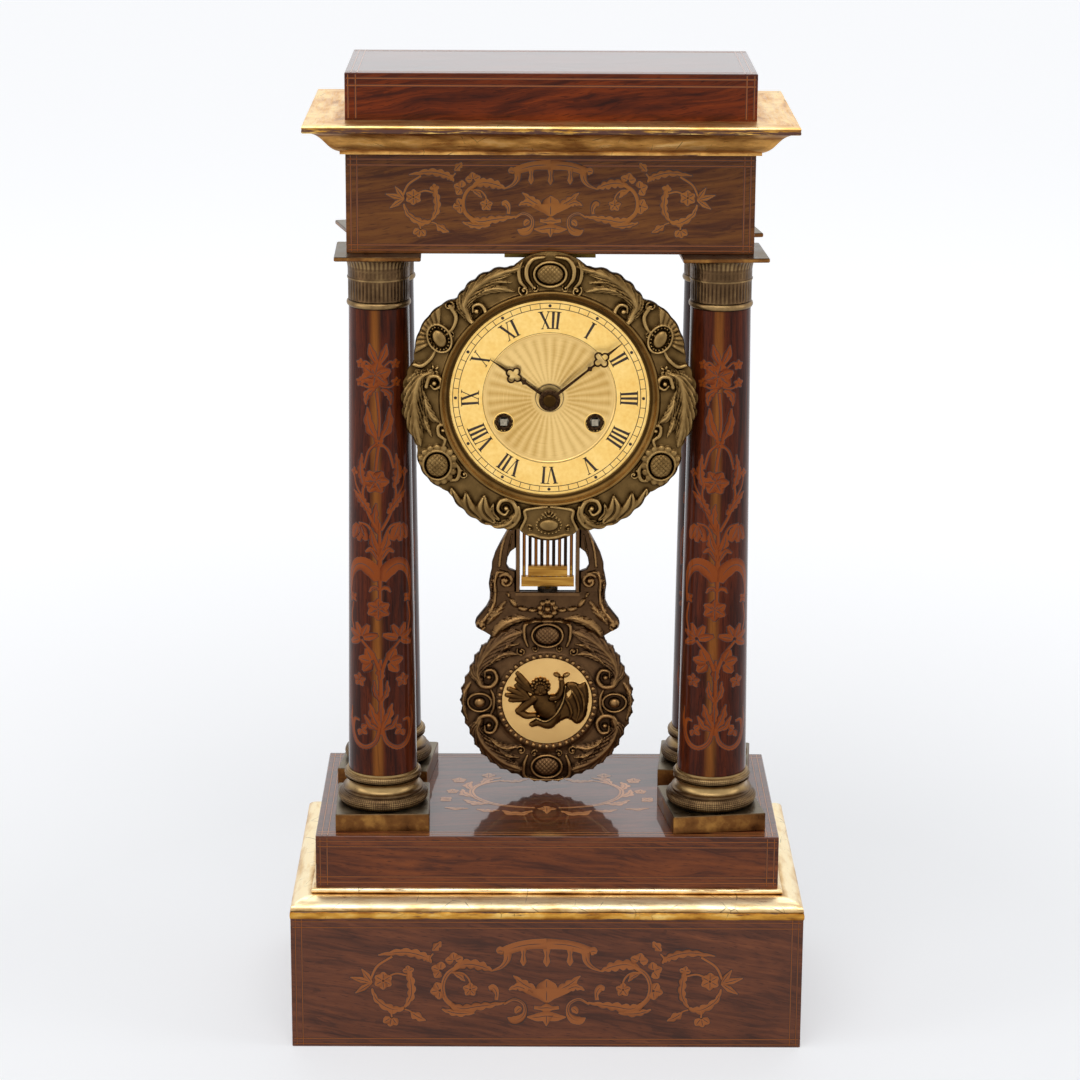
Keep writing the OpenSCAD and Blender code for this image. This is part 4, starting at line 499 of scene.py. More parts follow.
plateBrass = brass("brassPlateLacquered", "#7c5f26", "#a5833c", "#c2a055", 0.28)
wheelBrass = brass("brassWheelCut", "#7f6428", "#b18f45", "#cbaa5c", 0.25)
drumBrass = brass("brassDrumSpun", "#6f5522", "#94743a", "#b3934e", 0.3, (2200, 30, 2200))
bellMetal = brass("bellMetalTurned", "#85724a", "#9c875a", "#b39e6e", 0.22, (90, 90, 90))
# Gilt brass dial, grained and lacquered: bright satin gold, a few dark specks and rubbed patches
dialGilt = brass("brassDialGilt", "#efc068", "#f6cd78", "#fcd788", 0.36, (500, 40, 500))


# Steel: ground bright on arbors and screws, blackened on the anchor and nut, bronzed dark on the hands;
# faint grinding lines.
def steel(name, dark, pale, rough, metallic=1.0):
    m, t = newMaterial(name, rough, metallic)
    lines = add(t, "Mapping", {"Vector": add(t, "TexCoord", out="Object"), "Scale": (900, 60, 900)})
    lines = add(t, "TexNoise", {"Vector": lines, "Scale": 1.0, "Detail": 4.0})
    setShader(m, {
        "Base Color": add(t, "ValToRGB", (lines,), stops=((0.35, dark), (0.65, pale))),
        "Roughness": add(t, "MapRange", (lines, 0.3, 0.7, rough + 0.1, rough)),
        "Normal": add(t, "Bump", {"Height": lines, "Strength": 0.08, "Distance": 0.00005})})
    return m


brightSteel = steel("steelGroundBright", "#58534c", "#a09a91", 0.25)
squareSteel = steel("steelPolishedSquares", "#8d8372", "#a69b87", 0.3)
blackSteel = steel("steelBlackened", "#17120e", "#332a22", 0.35)
handBronze = steel("steelBronzedHands", "#24160d", "#43301f", 0.32)
leadGrey = steel("leadCastDull", "#515356", "#5f6164", 0.6)
# Numerals filled with dark wax: brown-black, dull
waxBlack = steel("waxFilledEngraving", "#1c110a", "#332113", 0.6, 0.0)

# Gridiron: steel and brass rods by turns, 3 mm apart and browned with age, over bars of old brass
gridiron = {"pairPerMetre": 1000 / 6, "barTop": 0.2271}
rods, t = newMaterial("gridironSteelAndBrass", 0.32, 1.0)
here = add(t, "TexCoord", out="Object")
across, up = [add(t, "SeparateXYZ", (here,), k) for k in (0, 2)]
turn = add(t, "Math", (across, gridiron["pairPerMetre"], 0.25), operation="MULTIPLY_ADD")
turn = add(t, "Math", (turn,), operation="FRACT")
rodTone = add(t, "ValToRGB", (turn,), stops=((0.48, "#7d4c22"), (0.52, "#2b1c12")))
lines = add(t, "Mapping", {"Vector": here, "Scale": (60, 300, 900)})
lines = add(t, "TexNoise", {"Vector": lines, "Scale": 1.0, "Detail": 4.0})
barTone = add(t, "ValToRGB", (lines,), stops=((0.3, "#7d521f"), (0.55, "#a97a35"), (0.75, "#c59848")))
isRod = add(t, "Math", (up, gridiron["barTop"]), operation="GREATER_THAN")
setShader(rods, {"Base Color": add(t, "Mix", {0: isRod, 6: barTone, 7: rodTone}, 2, data_type="RGBA")})

# Engine-turned dial centre: greyer gold; the cutter's fine rings scatter light, and the alternate dark and
# pale rays this gives are painted reflection, read from the ray attribute. uv is the angle in turns and the
# radius in mm.
turned, t = newMaterial("brassEngineTurned", 0.34, 1.0)
rings = add(t, "Mapping", {"Vector": add(t, "TexCoord", out="UV"), "Scale": (14, 2.4, 1)})
rings = add(t, "TexNoise", {"Vector": rings, "Scale": 1.0, "Detail": 3.0})
blot = add(t, "TexNoise", {"Vector": add(t, "TexCoord", out="Object"), "Scale": 70.0, "Detail": 4.0})
ray = add(t, "Attribute", out="Fac", attribute_name="ray")
level = add(t, "Math", (rings, 0.35, ray), operation="MULTIPLY_ADD")
level = add(t, "Math", (blot, 0.25, level), operation="MULTIPLY_ADD")
turnedTints = ((0.25, "#9f7c43"), (0.6, "#c49c57"), (0.98, "#e8c47f"))
setShader(turned, {"Base Color": add(t, "ValToRGB", (level,), stops=turnedTints),
                   "Normal": add(t, "Bump", {"Height": rings, "Strength": 0.25, "Distance": 0.0001})})

# Plain finishes on the CAD's own pieces; what gets a finer piece below is replaced there
finishes = {
    plateBrass: ["front_plate", "back_plate", "suspension_cock", "count_wheel"],
    wheelBrass: ["going_barrel", "strike_barrel", "intermediate_wheel", "centre_wheel", "third_wheel",
                 "escape_wheel", "pin_wheel", "locking_wheel", "warning_wheel", "fly", "cannon_pinion",
                 "minute_wheel", "hour_wheel"],
    bracketBrass: ["drum_bracket"],
    drumBrass: ["drum_case"], bellMetal: ["bell"], rods: ["gridiron"],
    brightSteel: ["tie_rods", "screws", "mainsprings", "going_click", "strike_click", "bell_stand",
                  "hammer"],
    squareSteel: ["going_arbor", "strike_arbor"], blackSteel: ["pallet_anchor", "rating_nut"],
    leadGrey: ["bob_weight"], oak: ["bottom_board"],
}
for finish, names in finishes.items():
    for name in names:
        nodes[name].data.materials.clear()
        nodes[name].data.materials.append(finish)
print("materials ready")

# case
base = {"w": 255.0, "d": 148.0, "top": 72.0, "ledge": 22.3, "rebate": 5, "board": 7,
        "stepW": 230.4, "stepD": 123.4, "stepTop": 108.0}
head = {"w": 195.0, "d": 86.0, "soffit": 398.0, "cornice": 446.0, "attic": 462.0, "top": 484.3, "boards": 5,
        "lid": 9}
soft = 0.35   # the veneer's edges are rubbed round by this much (mm)
wall = 10     # thickness of the plinth's, step's and block's boards (mm)


# Slow hand-made unevenness: a few sine waves of seeded direction and phase over (u, v) in mm.
def uneven(u, v, long, across, seed, n=7):
    r = np.random.default_rng(seed)
    total = 0
    for _ in range(n):
        wave = u / long * r.uniform(0.6, 2.2) * tau + v / across * r.uniform(-1.5, 1.5) * tau
        total = total + np.sin(wave + r.uniform(0, tau)) / n
    return total


# A box skin: bands of a section (out, up) carried round a rectangle, flat caps where the section ends.
def veneerBox(name, w, d, bands, caps, mats, node):
    parts = [dict(frameSweep(w, d, section), mat=mat) for mat, section in bands]
    parts += [dict(frameCap(w, d, inset, z, down), mat=mat) for mat, inset, z, down in caps]
    assemble(name, parts, mats, replaces=(node,))


# A box open below: walls up from z0, and a lid under z1 that takes the second wood.
def liddedBox(name, w, d, z0, z1, lid, mats, node):
    sides = [(-wall, z1 - lid), (-wall, z0), (0, z0), (0, z1 - soft)]
    bands = [(0, sides), (1, [(0, z1 - soft), (-soft, z1)])]
    veneerBox(name, w, d, bands, [(1, -soft, z1, False), (0, -wall, z1 - lid, True)], mats, node)


top, ledge, rebate, board = base["top"], -base["ledge"], -base["rebate"], base["board"]
veneerBox("veneeredPlinth", base["w"], base["d"], [
    (0, [(-wall, board), (rebate, board), (rebate, 0), (-soft, 0), (0, soft), (0, top - soft)]),
    (1, [(0, top - soft), (-soft, top), (ledge, top)]),
    (0, [(ledge, top), (ledge, top - wall), (-wall, top - wall), (-wall, board)])],
    [], [baseWood, topWood], "base_box")
liddedBox("veneeredStep", base["stepW"], base["stepD"], top, base["stepTop"], wall, [stepWood, topWood],
          "base_step")
z0, z1, inside, floorZ = head["soffit"], head["attic"], -head["boards"], head["soffit"] + wall
veneerBox("veneeredFrieze", head["w"], head["d"],
          [(0, [(-soft, z0), (0, z0 + soft), (0, z1), (inside, z1), (inside, floorZ)])],
          [(0, -soft, z0, True), (0, inside, floorZ, False)], [friezeWood], "frieze_box")
liddedBox("veneeredBlock", head["w"], head["d"], z1, head["top"], head["lid"], [blockWood, topWood],
          "attic_block")


# A moulding of gilded wood: the section is carried round the box, and both its height and its reach waver a
# little. Each band of the profile takes its own gold.
def giltMoulding(name, w, d, section, wear, dirt, bands, z, mats, node, seed):
    p = frameSweep(w, d, section + [0, z], r=0.05, steps=2)
    nv = len(section)
    pts, uv = p["v"].reshape(-1, nv, 3), p["uv"].reshape(-1, nv, 2)
    u = uv[:, 0, 0]
    fine = np.unique(np.concatenate([u, np.linspace(0, u[-1], 260)]))
    lines = [[np.interp(fine, u, pts[:, j, k]) for k in range(3)] for j in range(nv)]
    rows = np.array(lines).transpose(2, 0, 1)
    uv = grid(fine, uv[0, :, 1])
    free = np.clip(section[:, 0] / 3, 0, 1)
    clear = (section[:, 1] > 0.2) & (section[:, 1] < section[:, 1].max() - 0.1)
    rows[..., 2] += 0.10 * free * uneven(uv[..., 0], uv[..., 1], 40, 9, seed) * clear
    sway = 0.5 + 0.5 * uneven(uv[..., 0], uv[..., 1], 25, 6, seed + 1)
    rows[..., :2] *= 1 - 0.0012 * (free * sway)[..., None]
    parts = []
    for first, last, mat in bands:
        keep = slice(first, last)
        soil = {k: np.tile(q[keep], len(fine)) for k, q in (("wear", wear), ("dirt", dirt))}
        parts.append(dict(sheet(rows[:, keep], uv[:, keep]), mat=mat, attr=soil))
    assemble(name, parts, mats, replaces=(node,), sharp=60)


# Stretches of a profile, each with its points, wear, and dirt with painted light (dirt and painted shade
# where positive, painted highlight where negative); the last two are spread over the points.
def profileOf(stretches):
    points = np.concatenate([np.asarray(row[0], float) for row in stretches])
    shares = [np.linspace(0, 1, len(row[0])) for row in stretches]
    wear, dirt = [np.concatenate([along(t, row[k]) for t, row in zip(shares, stretches)]) for k in (1, 2)]
    return points, wear, dirt


# Foot: a low band lapped over the plinth's edge, a quirk, a broad elliptical round, a bead at the step.
# the last list of each stretch is dirt and painted light: shade painted into the quirk and at the ends of
# the rounds, highlights painted on their faces
footProfile = profileOf([
    ([(0, 0), (11.9, 0), (11.9, -3.5)], [0.3, 0.3], [0.6, 0.6]),
    (bow((12.15, -1.5), 0.6, 1.95, -75, 80, 14), [1.0, 0.5, 0.35, 0.5, 0.9], [0.6, 0.1, -0.1, 0.0, 0.5]),
    ([(11.9, 0.6), (11.3, 0.75)], [0.3, 0.3], [1.1, 1.1]),
    (bow((1.5, 1.2), 10.9, 5.1, -4, 85, 34), [0.5, 0.5, 0.2, 0.1, 0.1, 0.1, 0.1],
     [0.6, 0.15, -0.1, -0.4, -0.55, -0.4, 0.4]),
    (bow((0.8, 7.5), 1.6, 1.5, -50, 90, 12), [0.3, 0.5, 0.6], [0.9, -0.2, -0.25, -0.1]),
    ([(0, 9)], [0.4, 0.4], [0.0, 0.0])])
footCut = 18   # points of the low band
giltMoulding("gildedFootMoulding", base["stepW"], base["stepD"], *footProfile,
             ((0, footCut, 1), (footCut - 1, None, 0)), top, [giltFoot, giltEdge], "base_moulding", 11)
# Cornice: an ogee, height running as t minus a sine of one turn, under a lip of two beads
rise = np.linspace(0, 1, 25)
ogee = np.column_stack([3.0 + 12.3 * rise, 1.5 + 10.2 * (rise - np.sin(tau * rise) / 14)])
lip = np.concatenate([[[15.3, 12.2]], bow((18.7, 13.0), 0.8, 0.8, -90, 0, 5),
                      [[19.35, 14.1], [19.35, 14.3]],
                      bow((18.5, 15.0), 1.0, 1.0, -20, 90, 7)])
corniceSection = np.concatenate([[[0, 0], [2.6, 0], [2.6, 1.5]], ogee, lip, [[9, 16], [0, 16]]])
lipRow = np.arange(len(lip))
corniceWear = np.concatenate([
    [0.2, 0.6, 0.5], np.full(len(rise), 0.2),
    np.interp(lipRow, [0, 2, 6, 8, 10, 16], [0.3, 0.9, 1.0, 0.9, 0.5, 0.4]), [0.2, 0.2]])
# dirt and painted light along the cornice: darker in the hollow under the lip, where shade falls; where
# negative, a painted highlight on the lip's beads
corniceDirtAndPaintedLight = np.concatenate([
    [0.2, 0.1, 0.4], np.interp(np.arange(len(rise)), [0, 4, 16, 22, 24], [0.3, 0.08, 0.12, 0.25, 0.7]),
    np.interp(lipRow, [0, 1, 4, 7, 9, 11, 16], [0.8, 0.3, -0.2, 0.0, 0.5, -0.35, -0.3]), [-0.25, -0.1]])
giltMoulding("gildedCornice", head["w"], head["d"], corniceSection, corniceWear, corniceDirtAndPaintedLight,
             ((0, 29, 0), (28, 38, 1), (37, None, 0)), head["cornice"], [giltCornice, giltEdge],
             "cornice", 23)
print("case ready")

# columns
column = {"x": 82.65, "y": 32.45, "plinth": 46.7, "plinthH": 9.3, "abacus": 41.4, "abacusH": 2.1,
          "foot": 135.3, "head": 371.0, "rFoot": 17.15, "rHead": 14.6, "plinthTurn": (1.3, 7.9, -5.7, -4.8),
          "abacusTurn": (1, 3.4, 15, 8), "knurl": 62, "flutes": 46}
columnNames = ("front_left", "front_right", "back_left", "back_right")
columnAt = [(sx * column["x"], sy * column["y"]) for sy in (-1, 1) for sx in (-1, 1)]
ringSection = np.concatenate([
    [[10.1, 0]], bow((19.03, 3.42), 3.42, 3.42, -90, 90, 28), [[20.025, 6.86], [20.025, 7.92]],
    bow((20.025, 10.71), 2.625, 2.79, 250, 110, 18), bow((17.54, 15.21), 1.71, 1.71, -90, 90, 14),
    [[17.65, 16.94], [17.65, 18], [10.1, 18]]])
ringLong = runLength(ringSection)
knurled = np.zeros(len(ringSection))   # full on the torus, less on the upper bead
knurled[4:27] = np.sin(np.linspace(0, math.pi, 23)) ** 0.3
knurled[-16:-5] = 0.7 * np.sin(np.linspace(0, math.pi, 11)) ** 0.3
capSection = np.concatenate([
    [[10.1, 0]], bow((13.857, 1.743), 1.743, 1.743, -90, 90, 14), [[14.8, 3.6]],
    np.linspace([14.8, 4.2], [14.8, 13.0], 9), [[14.8, 13.68], [15.2, 13.72], [15.2, 14.4], [14.9, 14.44]],
    np.linspace([14.9, 14.9], [14.9, 17.8], 5), bow((17.7, 17.58), 2.8, 6.72, 178, 95, 16),
    [[17.9, 24.3], [17.9, 24.9], [4, 24.9]]])
fluteDepth = np.zeros(len(capSection))
fluteDepth[17:26] = 0.24 * np.sin(np.linspace(0.3, math.pi - 0.3, 9)) ** 0.4
fluteDepth[31:36] = 0.10
fluteDepth[37:51] = 0.22 * np.sin(np.linspace(0.2, math.pi - 0.2, 14)) ** 0.5


# Diamond knurling: two crossed sets of waves round the ring, some 2 mm apart.
def knurl(th, j):
    n, s = column["knurl"], ringLong[j]
    wave = np.cos(n * th + s * 3.1) * np.cos(n * th - s * 3.1)
    return 0.22 * wave * knurled[j]


# Flutes round the capital: a raised cosine, squared, as deep as its row says.
def flutes(th, j):
    return -fluteDepth[j] * (0.5 + 0.5 * np.cos(column["flutes"] * th)) ** 2


# A square plate turned on its column, with rounded edges: sides redder, faces greyer.
def squarePlate(w, z0, z1, at, turn):
    e = 0.4
    parts = [toned(frameSweep(w, w, [(-e, z0), (0, z0 + e), (0, z1 - e)]), 0.45, 1),
             toned(frameSweep(w, w, [(0, z1 - e), (-e, z1)]), 0.45)]
    parts += [toned(frameCap(w, w, -e, z, down), 0.45, 2) for z, down in ((z0, True), (z1, False))]
    c, s = math.cos(math.radians(turn)), math.sin(math.radians(turn))
    for p in parts:
        x, y, z = p["v"].T
        p["v"] = np.column_stack([at[0] + c * x - s * y, at[1] + s * x + c * y, z])
    return parts


# A turned mount with waves on it; its tint is a base tone for each row plus painted shade, shadeGain times
# the
# waves: darker in the hollows of the knurl and flutes, lighter on their crests.
def turnedMount(section, z, at, n, swell, tone, shadeGain):
    th, j = np.meshgrid(np.linspace(0, tau, n + 1), np.arange(len(section)), indexing="ij")
    return toned(lathe(section + [0, z], at, n, swell), tone[j] + shadeGain * swell(th, j))


# The shaft's radius falls evenly from foot to head.
def shaftRadius(z):
    foot, up = column["foot"], column["head"] - column["foot"]
    return column["rFoot"] + (column["rHead"] - column["rFoot"]) * (z - foot) / up


shaftZ = np.linspace(column["foot"], column["head"], 48)
ringTone = np.interp(ringSection[:, 0], [17.2, 18.5, 20.5, 22.5], [0.8, 0.6, 0.46, 0.46])
capTone = 0.5 + np.where(capSection[:, 0] > 15.1, 0.12, 0)
mounts = [columnBronze, plinthBronze, greyBronze]
for i, (place, at) in enumerate(zip(columnNames, columnAt)):
    shaft = lathe(np.column_stack([shaftRadius(shaftZ), shaftZ]), at, a0=math.pi / 2)
    shaft["uv"] = shaft["uv"][:, ::-1] + [300 * i, 0]
    rows = shaft["v"].reshape(-1, len(shaftZ), 3)[:-1]
    ends = [capFace(rows[:, k], flip=k == 0) for k in (0, -1)]
    assemble(f"veneeredShaft_{place}", [shaft] + ends, [columnWood], replaces=(f"column_shaft_{place}",))
    z0, z1 = base["stepTop"], base["stepTop"] + column["plinthH"]
    parts = squarePlate(column["plinth"], z0, z1, at, column["plinthTurn"][i])
    parts.append(turnedMount(ringSection, z1, at, 372, knurl, ringTone, 1.3))
    assemble(f"bronzeBase_{place}", parts, mounts, replaces=(f"column_base_{place}",))
    parts = [turnedMount(capSection, column["head"], at, 276, flutes, capTone, 1.2)]
    z0, z1 = head["soffit"] - column["abacusH"], head["soffit"]
    parts += squarePlate(column["abacus"], z0, z1, at, column["abacusTurn"][i])
    assemble(f"bronzeCapital_{place}", parts, mounts, replaces=(f"column_capital_{place}",))
print("columns ready")

# inlay and stringing
# An inlaid leaf is a ribbon: a smooth spine, half-widths along it, and rounded lobes cut into its edges.
def leaf(points, widths, lobes=0, depth=0.44):
    n = max(22, 9 * lobes)
    t = np.linspace(0, 1, n)
    w = along(t, widths)
    cuts = [1 - np.abs(np.sin(math.pi * (lobes * t + phase))) if lobes else 0 * t for phase in (0, 0.5)]
    return smooth(points, n), *[w * (1 - depth * cut) for cut in cuts]


# One leaf for each row: points, half-widths, number of lobes, depth of the cuts.
def leaves(*rows):
    return [leaf(*row) for row in rows]


def spray(c, r, petals, first=90.0, spread=360.0, fat=0.42):   # petals round a point, or fanned to one side
    whole = spread == 360
    step = np.arange(petals) * spread / petals if whole else np.linspace(-spread / 2, spread / 2, petals)
    a = np.radians(first + step)
    widths = [0.16 * r, fat * r, 0.8 * fat * r, 0.1 * r]
    return [leaf([np.add(c, share * r * d) for share in (0.12, 0.6, 1)], widths)
            for d in np.column_stack([np.cos(a), np.sin(a)])]


def sprays(*rows):
    return [petal for row in rows for petal in spray(*row)]


def rose(c, r, petals=6, first=90.0):   # an open flower: broad petals with a second, smaller ring on them
    return spray(c, r, petals, first, fat=0.44) + spray(c, 0.56 * r, 5, first + 36, fat=0.42)


# A straight strip of even half-width.
def line(p, q, half):
    return np.linspace(p, q, 3), np.full(3, half), np.full(3, half)


# Shapes and their images across x = 0, with left and right widths exchanged.
def mirrored(shapes):
    return shapes + [(s * [-1, 1], b, a) for s, a, b in shapes]


def widened(shapes, by):
    return [(s, by * a, by * b) for s, a, b in shapes]


def scaled(shapes, sx, sz, at):   # the same drawing at another size and place
    return [(s * [sx, sz] + np.array(at), a * sx, b * sx) for s, a, b in shapes]


inlay = {"proud": 0.05, "step": 0.0007, "kerfProud": 0.02, "rooted": -0.02, "vein": 0.17,
         "veinProud": 0.056, "veinFrom": 1.25, "tones": (-0.12, 0.2)}


# Ribbons laid on a surface: place(u, v, lift) gives the point in mm. Each stands a hair higher than the
# last, so that crossing pieces never share a plane, with side walls down into the veneer and a wider dark
# line beneath. A wide leaf has the engraver's line down its middle.
def inlayPiece(name, shapes, place, wood, seed, kerfWide=0.17):
    r = np.random.default_rng(seed)
    across = np.array([-1, -1, -0.5, 0, 0.5, 1, 1])
    parts = []
    for i, (spine, left, right) in enumerate(shapes):
        side, t = sideways(spine)
        run = runLength(spine)
        share = run / run[-1]
        tone = r.uniform(*inlay["tones"])
        higher = inlay["step"] * i
        layers = [(0, 0.0, inlay["proud"] + higher, left, right),
                  (1, kerfWide, inlay["kerfProud"], left, right)]
        if max(left) > inlay["veinFrom"]:
            taper = inlay["vein"] * np.clip(np.minimum((share - 0.1) * 9, (0.88 - share) * 4), 0, 1)
            layers.append((1, 0.0, inlay["veinProud"] + higher, taper, taper))
        for mat, grow, lift, wideLeft, wideRight in layers:
            half = np.where(across < 0, (wideLeft + grow)[:, None], (wideRight + grow)[:, None])
            p = spine[:, None, :] + side[:, None, :] * (across * half)[..., None]
            p[0] -= t[0] * grow
            p[-1] += t[-1] * grow
            up = np.where(np.arange(7) % 6, lift, inlay["rooted"])
            pts = place(p[..., 0], p[..., 1], np.broadcast_to(up, p.shape[:2]))
            ribbon = sheet(pts, grid(run, (across + 1) / 2), flip=True)
            parts.append(dict(ribbon, mat=mat, attr={"tone": tone}))
    assemble(name, parts, [wood, kerf], sharp=40)


# The four kinds of face that inlay lies on.
def frontFace(d):
    return lambda u, v, h: np.stack([u, -d / 2 - h, v], -1)


def endFace(w, s):
    return lambda u, v, h: np.stack([s * (w / 2 + h), s * u, v], -1)


def topFace(z):
    return lambda u, v, h: np.stack([u, v, z + h], -1)


# Wrapped round the shaft: the angle from its front line is wrap times u over the radius.
def shaftFace(at, wrap=1.12):
    def place(u, v, h):
        r = shaftRadius(v)
        a = wrap * u / r
        return np.stack([at[0] + np.sin(a) * (r + h), at[1] - np.cos(a) * (r + h), v], -1)
    return place


# Panel drawing, right half (mm from the plinth's middle and foot): urn, canopy and scrolling leaves
half = leaves(
    ([(0, 55.9), (9, 55.4), (16, 53.8), (21.4, 51.6)], [2.5, 2.3, 2.3, 2.2]),
    ([(21.6, 51.6), (23.4, 52), (25, 51.4)], [1.6, 2.1, 0.8]),
    ([(19.4, 51), (19.9, 46.8), (22.6, 43.4), (27.2, 41.2)], [1.9, 1.5, 0.9, 0.4]),
    ([(11.6, 53.6), (11.6, 50), (11.6, 46.4), (11.6, 44)], [1.6, 0.8, 1.5, 0.3]),
    ([(27, 41.2), (32.5, 43.6), (39.5, 44.8), (46.2, 42.8)], [0.5, 2.6, 2.7, 1.3], 5),
    ([(43.6, 43.8), (49.4, 39.6), (51.8, 33.4), (50.8, 26.6), (46.4, 21.9)], [1, 0.95, 0.9, 1, 1.2]),
    ([(48, 22.8), (42, 20.8), (35, 21.9), (28, 22.9), (20.6, 24.2)], [1.4, 2.5, 2.3, 1.6, 0.4], 6),
    ([(52.4, 20.4), (45, 18.3), (36, 18.4)], [0.4, 1.6, 1.7, 0.4], 4),
    ([(47.4, 40.4), (42, 40), (38.8, 36.8), (38, 33)], [0.5, 0.45, 0.45]),
    ([(46.6, 40.2), (42.8, 38), (40.8, 35.6)], [0.4, 1.6, 0.3], 2),
    ([(25.2, 25.6), (25, 29.2), (26.6, 32), (29, 31.8)], [0.9, 0.8, 1.5, 1.7, 0.9]),
    ([(21.4, 23.2), (16.2, 26), (11.4, 23.4), (10.8, 18.6), (13.4, 15.2), (17, 14.6), (19.6, 16)],
     [0.5, 0.6, 0.7, 0.9, 2, 2, 0.3]),
    ([(12.4, 21.2), (14.2, 20.4), (15.6, 18.4)], [0.5, 1.7, 1.5, 0.5]),
    ([(6, 31), (11.6, 34.2), (16.8, 38.8)], [1.6, 2.6, 1.9, 0.3], 3),
    ([(9.4, 30.8), (14.4, 32.8), (19, 31)], [1.5, 1.9, 1.6, 0.3], 3),
    ([(57.4, 47.6), (61, 50.8), (71, 53.2), (84, 51.6)], [0.5, 1.9, 2.3, 1.8, 0.3], 7),
    ([(77, 50.8), (84.4, 45.6), (87.8, 38.8)], [0.5, 0.55, 0.5]),
    ([(87.4, 33.6), (84.6, 27.2), (77.4, 22.4), (71.2, 23)], [0.5, 1.4, 2.4, 0.8], 5),
    ([(71, 23.4), (67.8, 29.6), (67.8, 37), (69.2, 43.6)], [0.6, 1.7, 2, 1.9, 1], 5),
    ([(69.8, 40.6), (75, 41.6), (80, 39.6)], [0.45, 0.45, 0.45]),
    ([(71, 22.4), (68.6, 21.6), (67, 20.4)], [0.35, 0.35]),
    ([(68, 20.8), (64.6, 18.4), (60.4, 16.2)], [0.3, 2.4, 1.9, 0.2], 2),
    ([(77.2, 22.6), (77.6, 20), (77.4, 18)], [0.4, 0.4]),
    ([(57.6, 47.8), (58.2, 50.2), (56.6, 52.6)], [0.4, 0.4]),
    ([(57, 52), (54.8, 54.6), (52.6, 57)], [0.4, 2.2, 1.9, 0.5], 2))
half += sprays(((38.2, 31.2), 3.8, 5), ((46, 46.6), 4.6, 3, 80, 150, 0.46),
               ((53, 41.4), 4.8, 3, 20, 150, 0.46), ((53.4, 30.6), 4.8, 3, -10, 150, 0.46),
               ((81.6, 37.8), 4.8, 6), ((77.6, 18), 5, 3, -80, 90, 0.4))
half += leaves(*[([(87.2, 36.6), tip], [0.4, 1.5, 0.2]) for tip in ((92.4, 44.2), (98, 39.6), (95.6, 31))])
half += spray((69, 43.2), 2.9, 3, 80, 160, 0.45)
middle = leaves(
    ([(0, 53.6), (0, 49.5), (0, 46.2), (0, 43.6)], [1.8, 0.9, 1.6, 0.3]),
    ([(0, 24.2), (0, 26.2), (0, 29.2), (0, 31.9)], [1, 3.4, 9, 12.4]),
    ([(0, 31.6), (0, 34.4), (0, 36.9)], [5, 3.9, 0.4]),
    ([(-6.2, 21.6), (-3, 21.2), (0, 21.4), (3, 21.2), (6.2, 21.6)], [0.9, 0.9, 2.4, 0.9, 0.9]),
    ([(-9.8, 16.4), (-5, 16.2), (0, 16.9), (5, 16.2), (9.8, 16.4)], [0.3, 1.9, 2.4, 1.9, 0.3]),
    ([(0, 17.6), (0, 11.4)], [3.2, 0.2]))
half = [(spine - [0, 2.0 if spine[:, 0].mean() > 57 else 0], a, b) for spine, a, b in half]
panel = widened(middle + mirrored(half), 1.16)
inlayPiece("panelMarquetryBase", panel, frontFace(base["d"]), frontInlay, 3, kerfWide=0.3)
friezePanel = scaled(panel, 0.80, 0.78, (0, 425.0 - 35.4 * 0.78))
inlayPiece("panelMarquetryFrieze", friezePanel, frontFace(head["d"]), friezeInlay, 4, kerfWide=0.26)

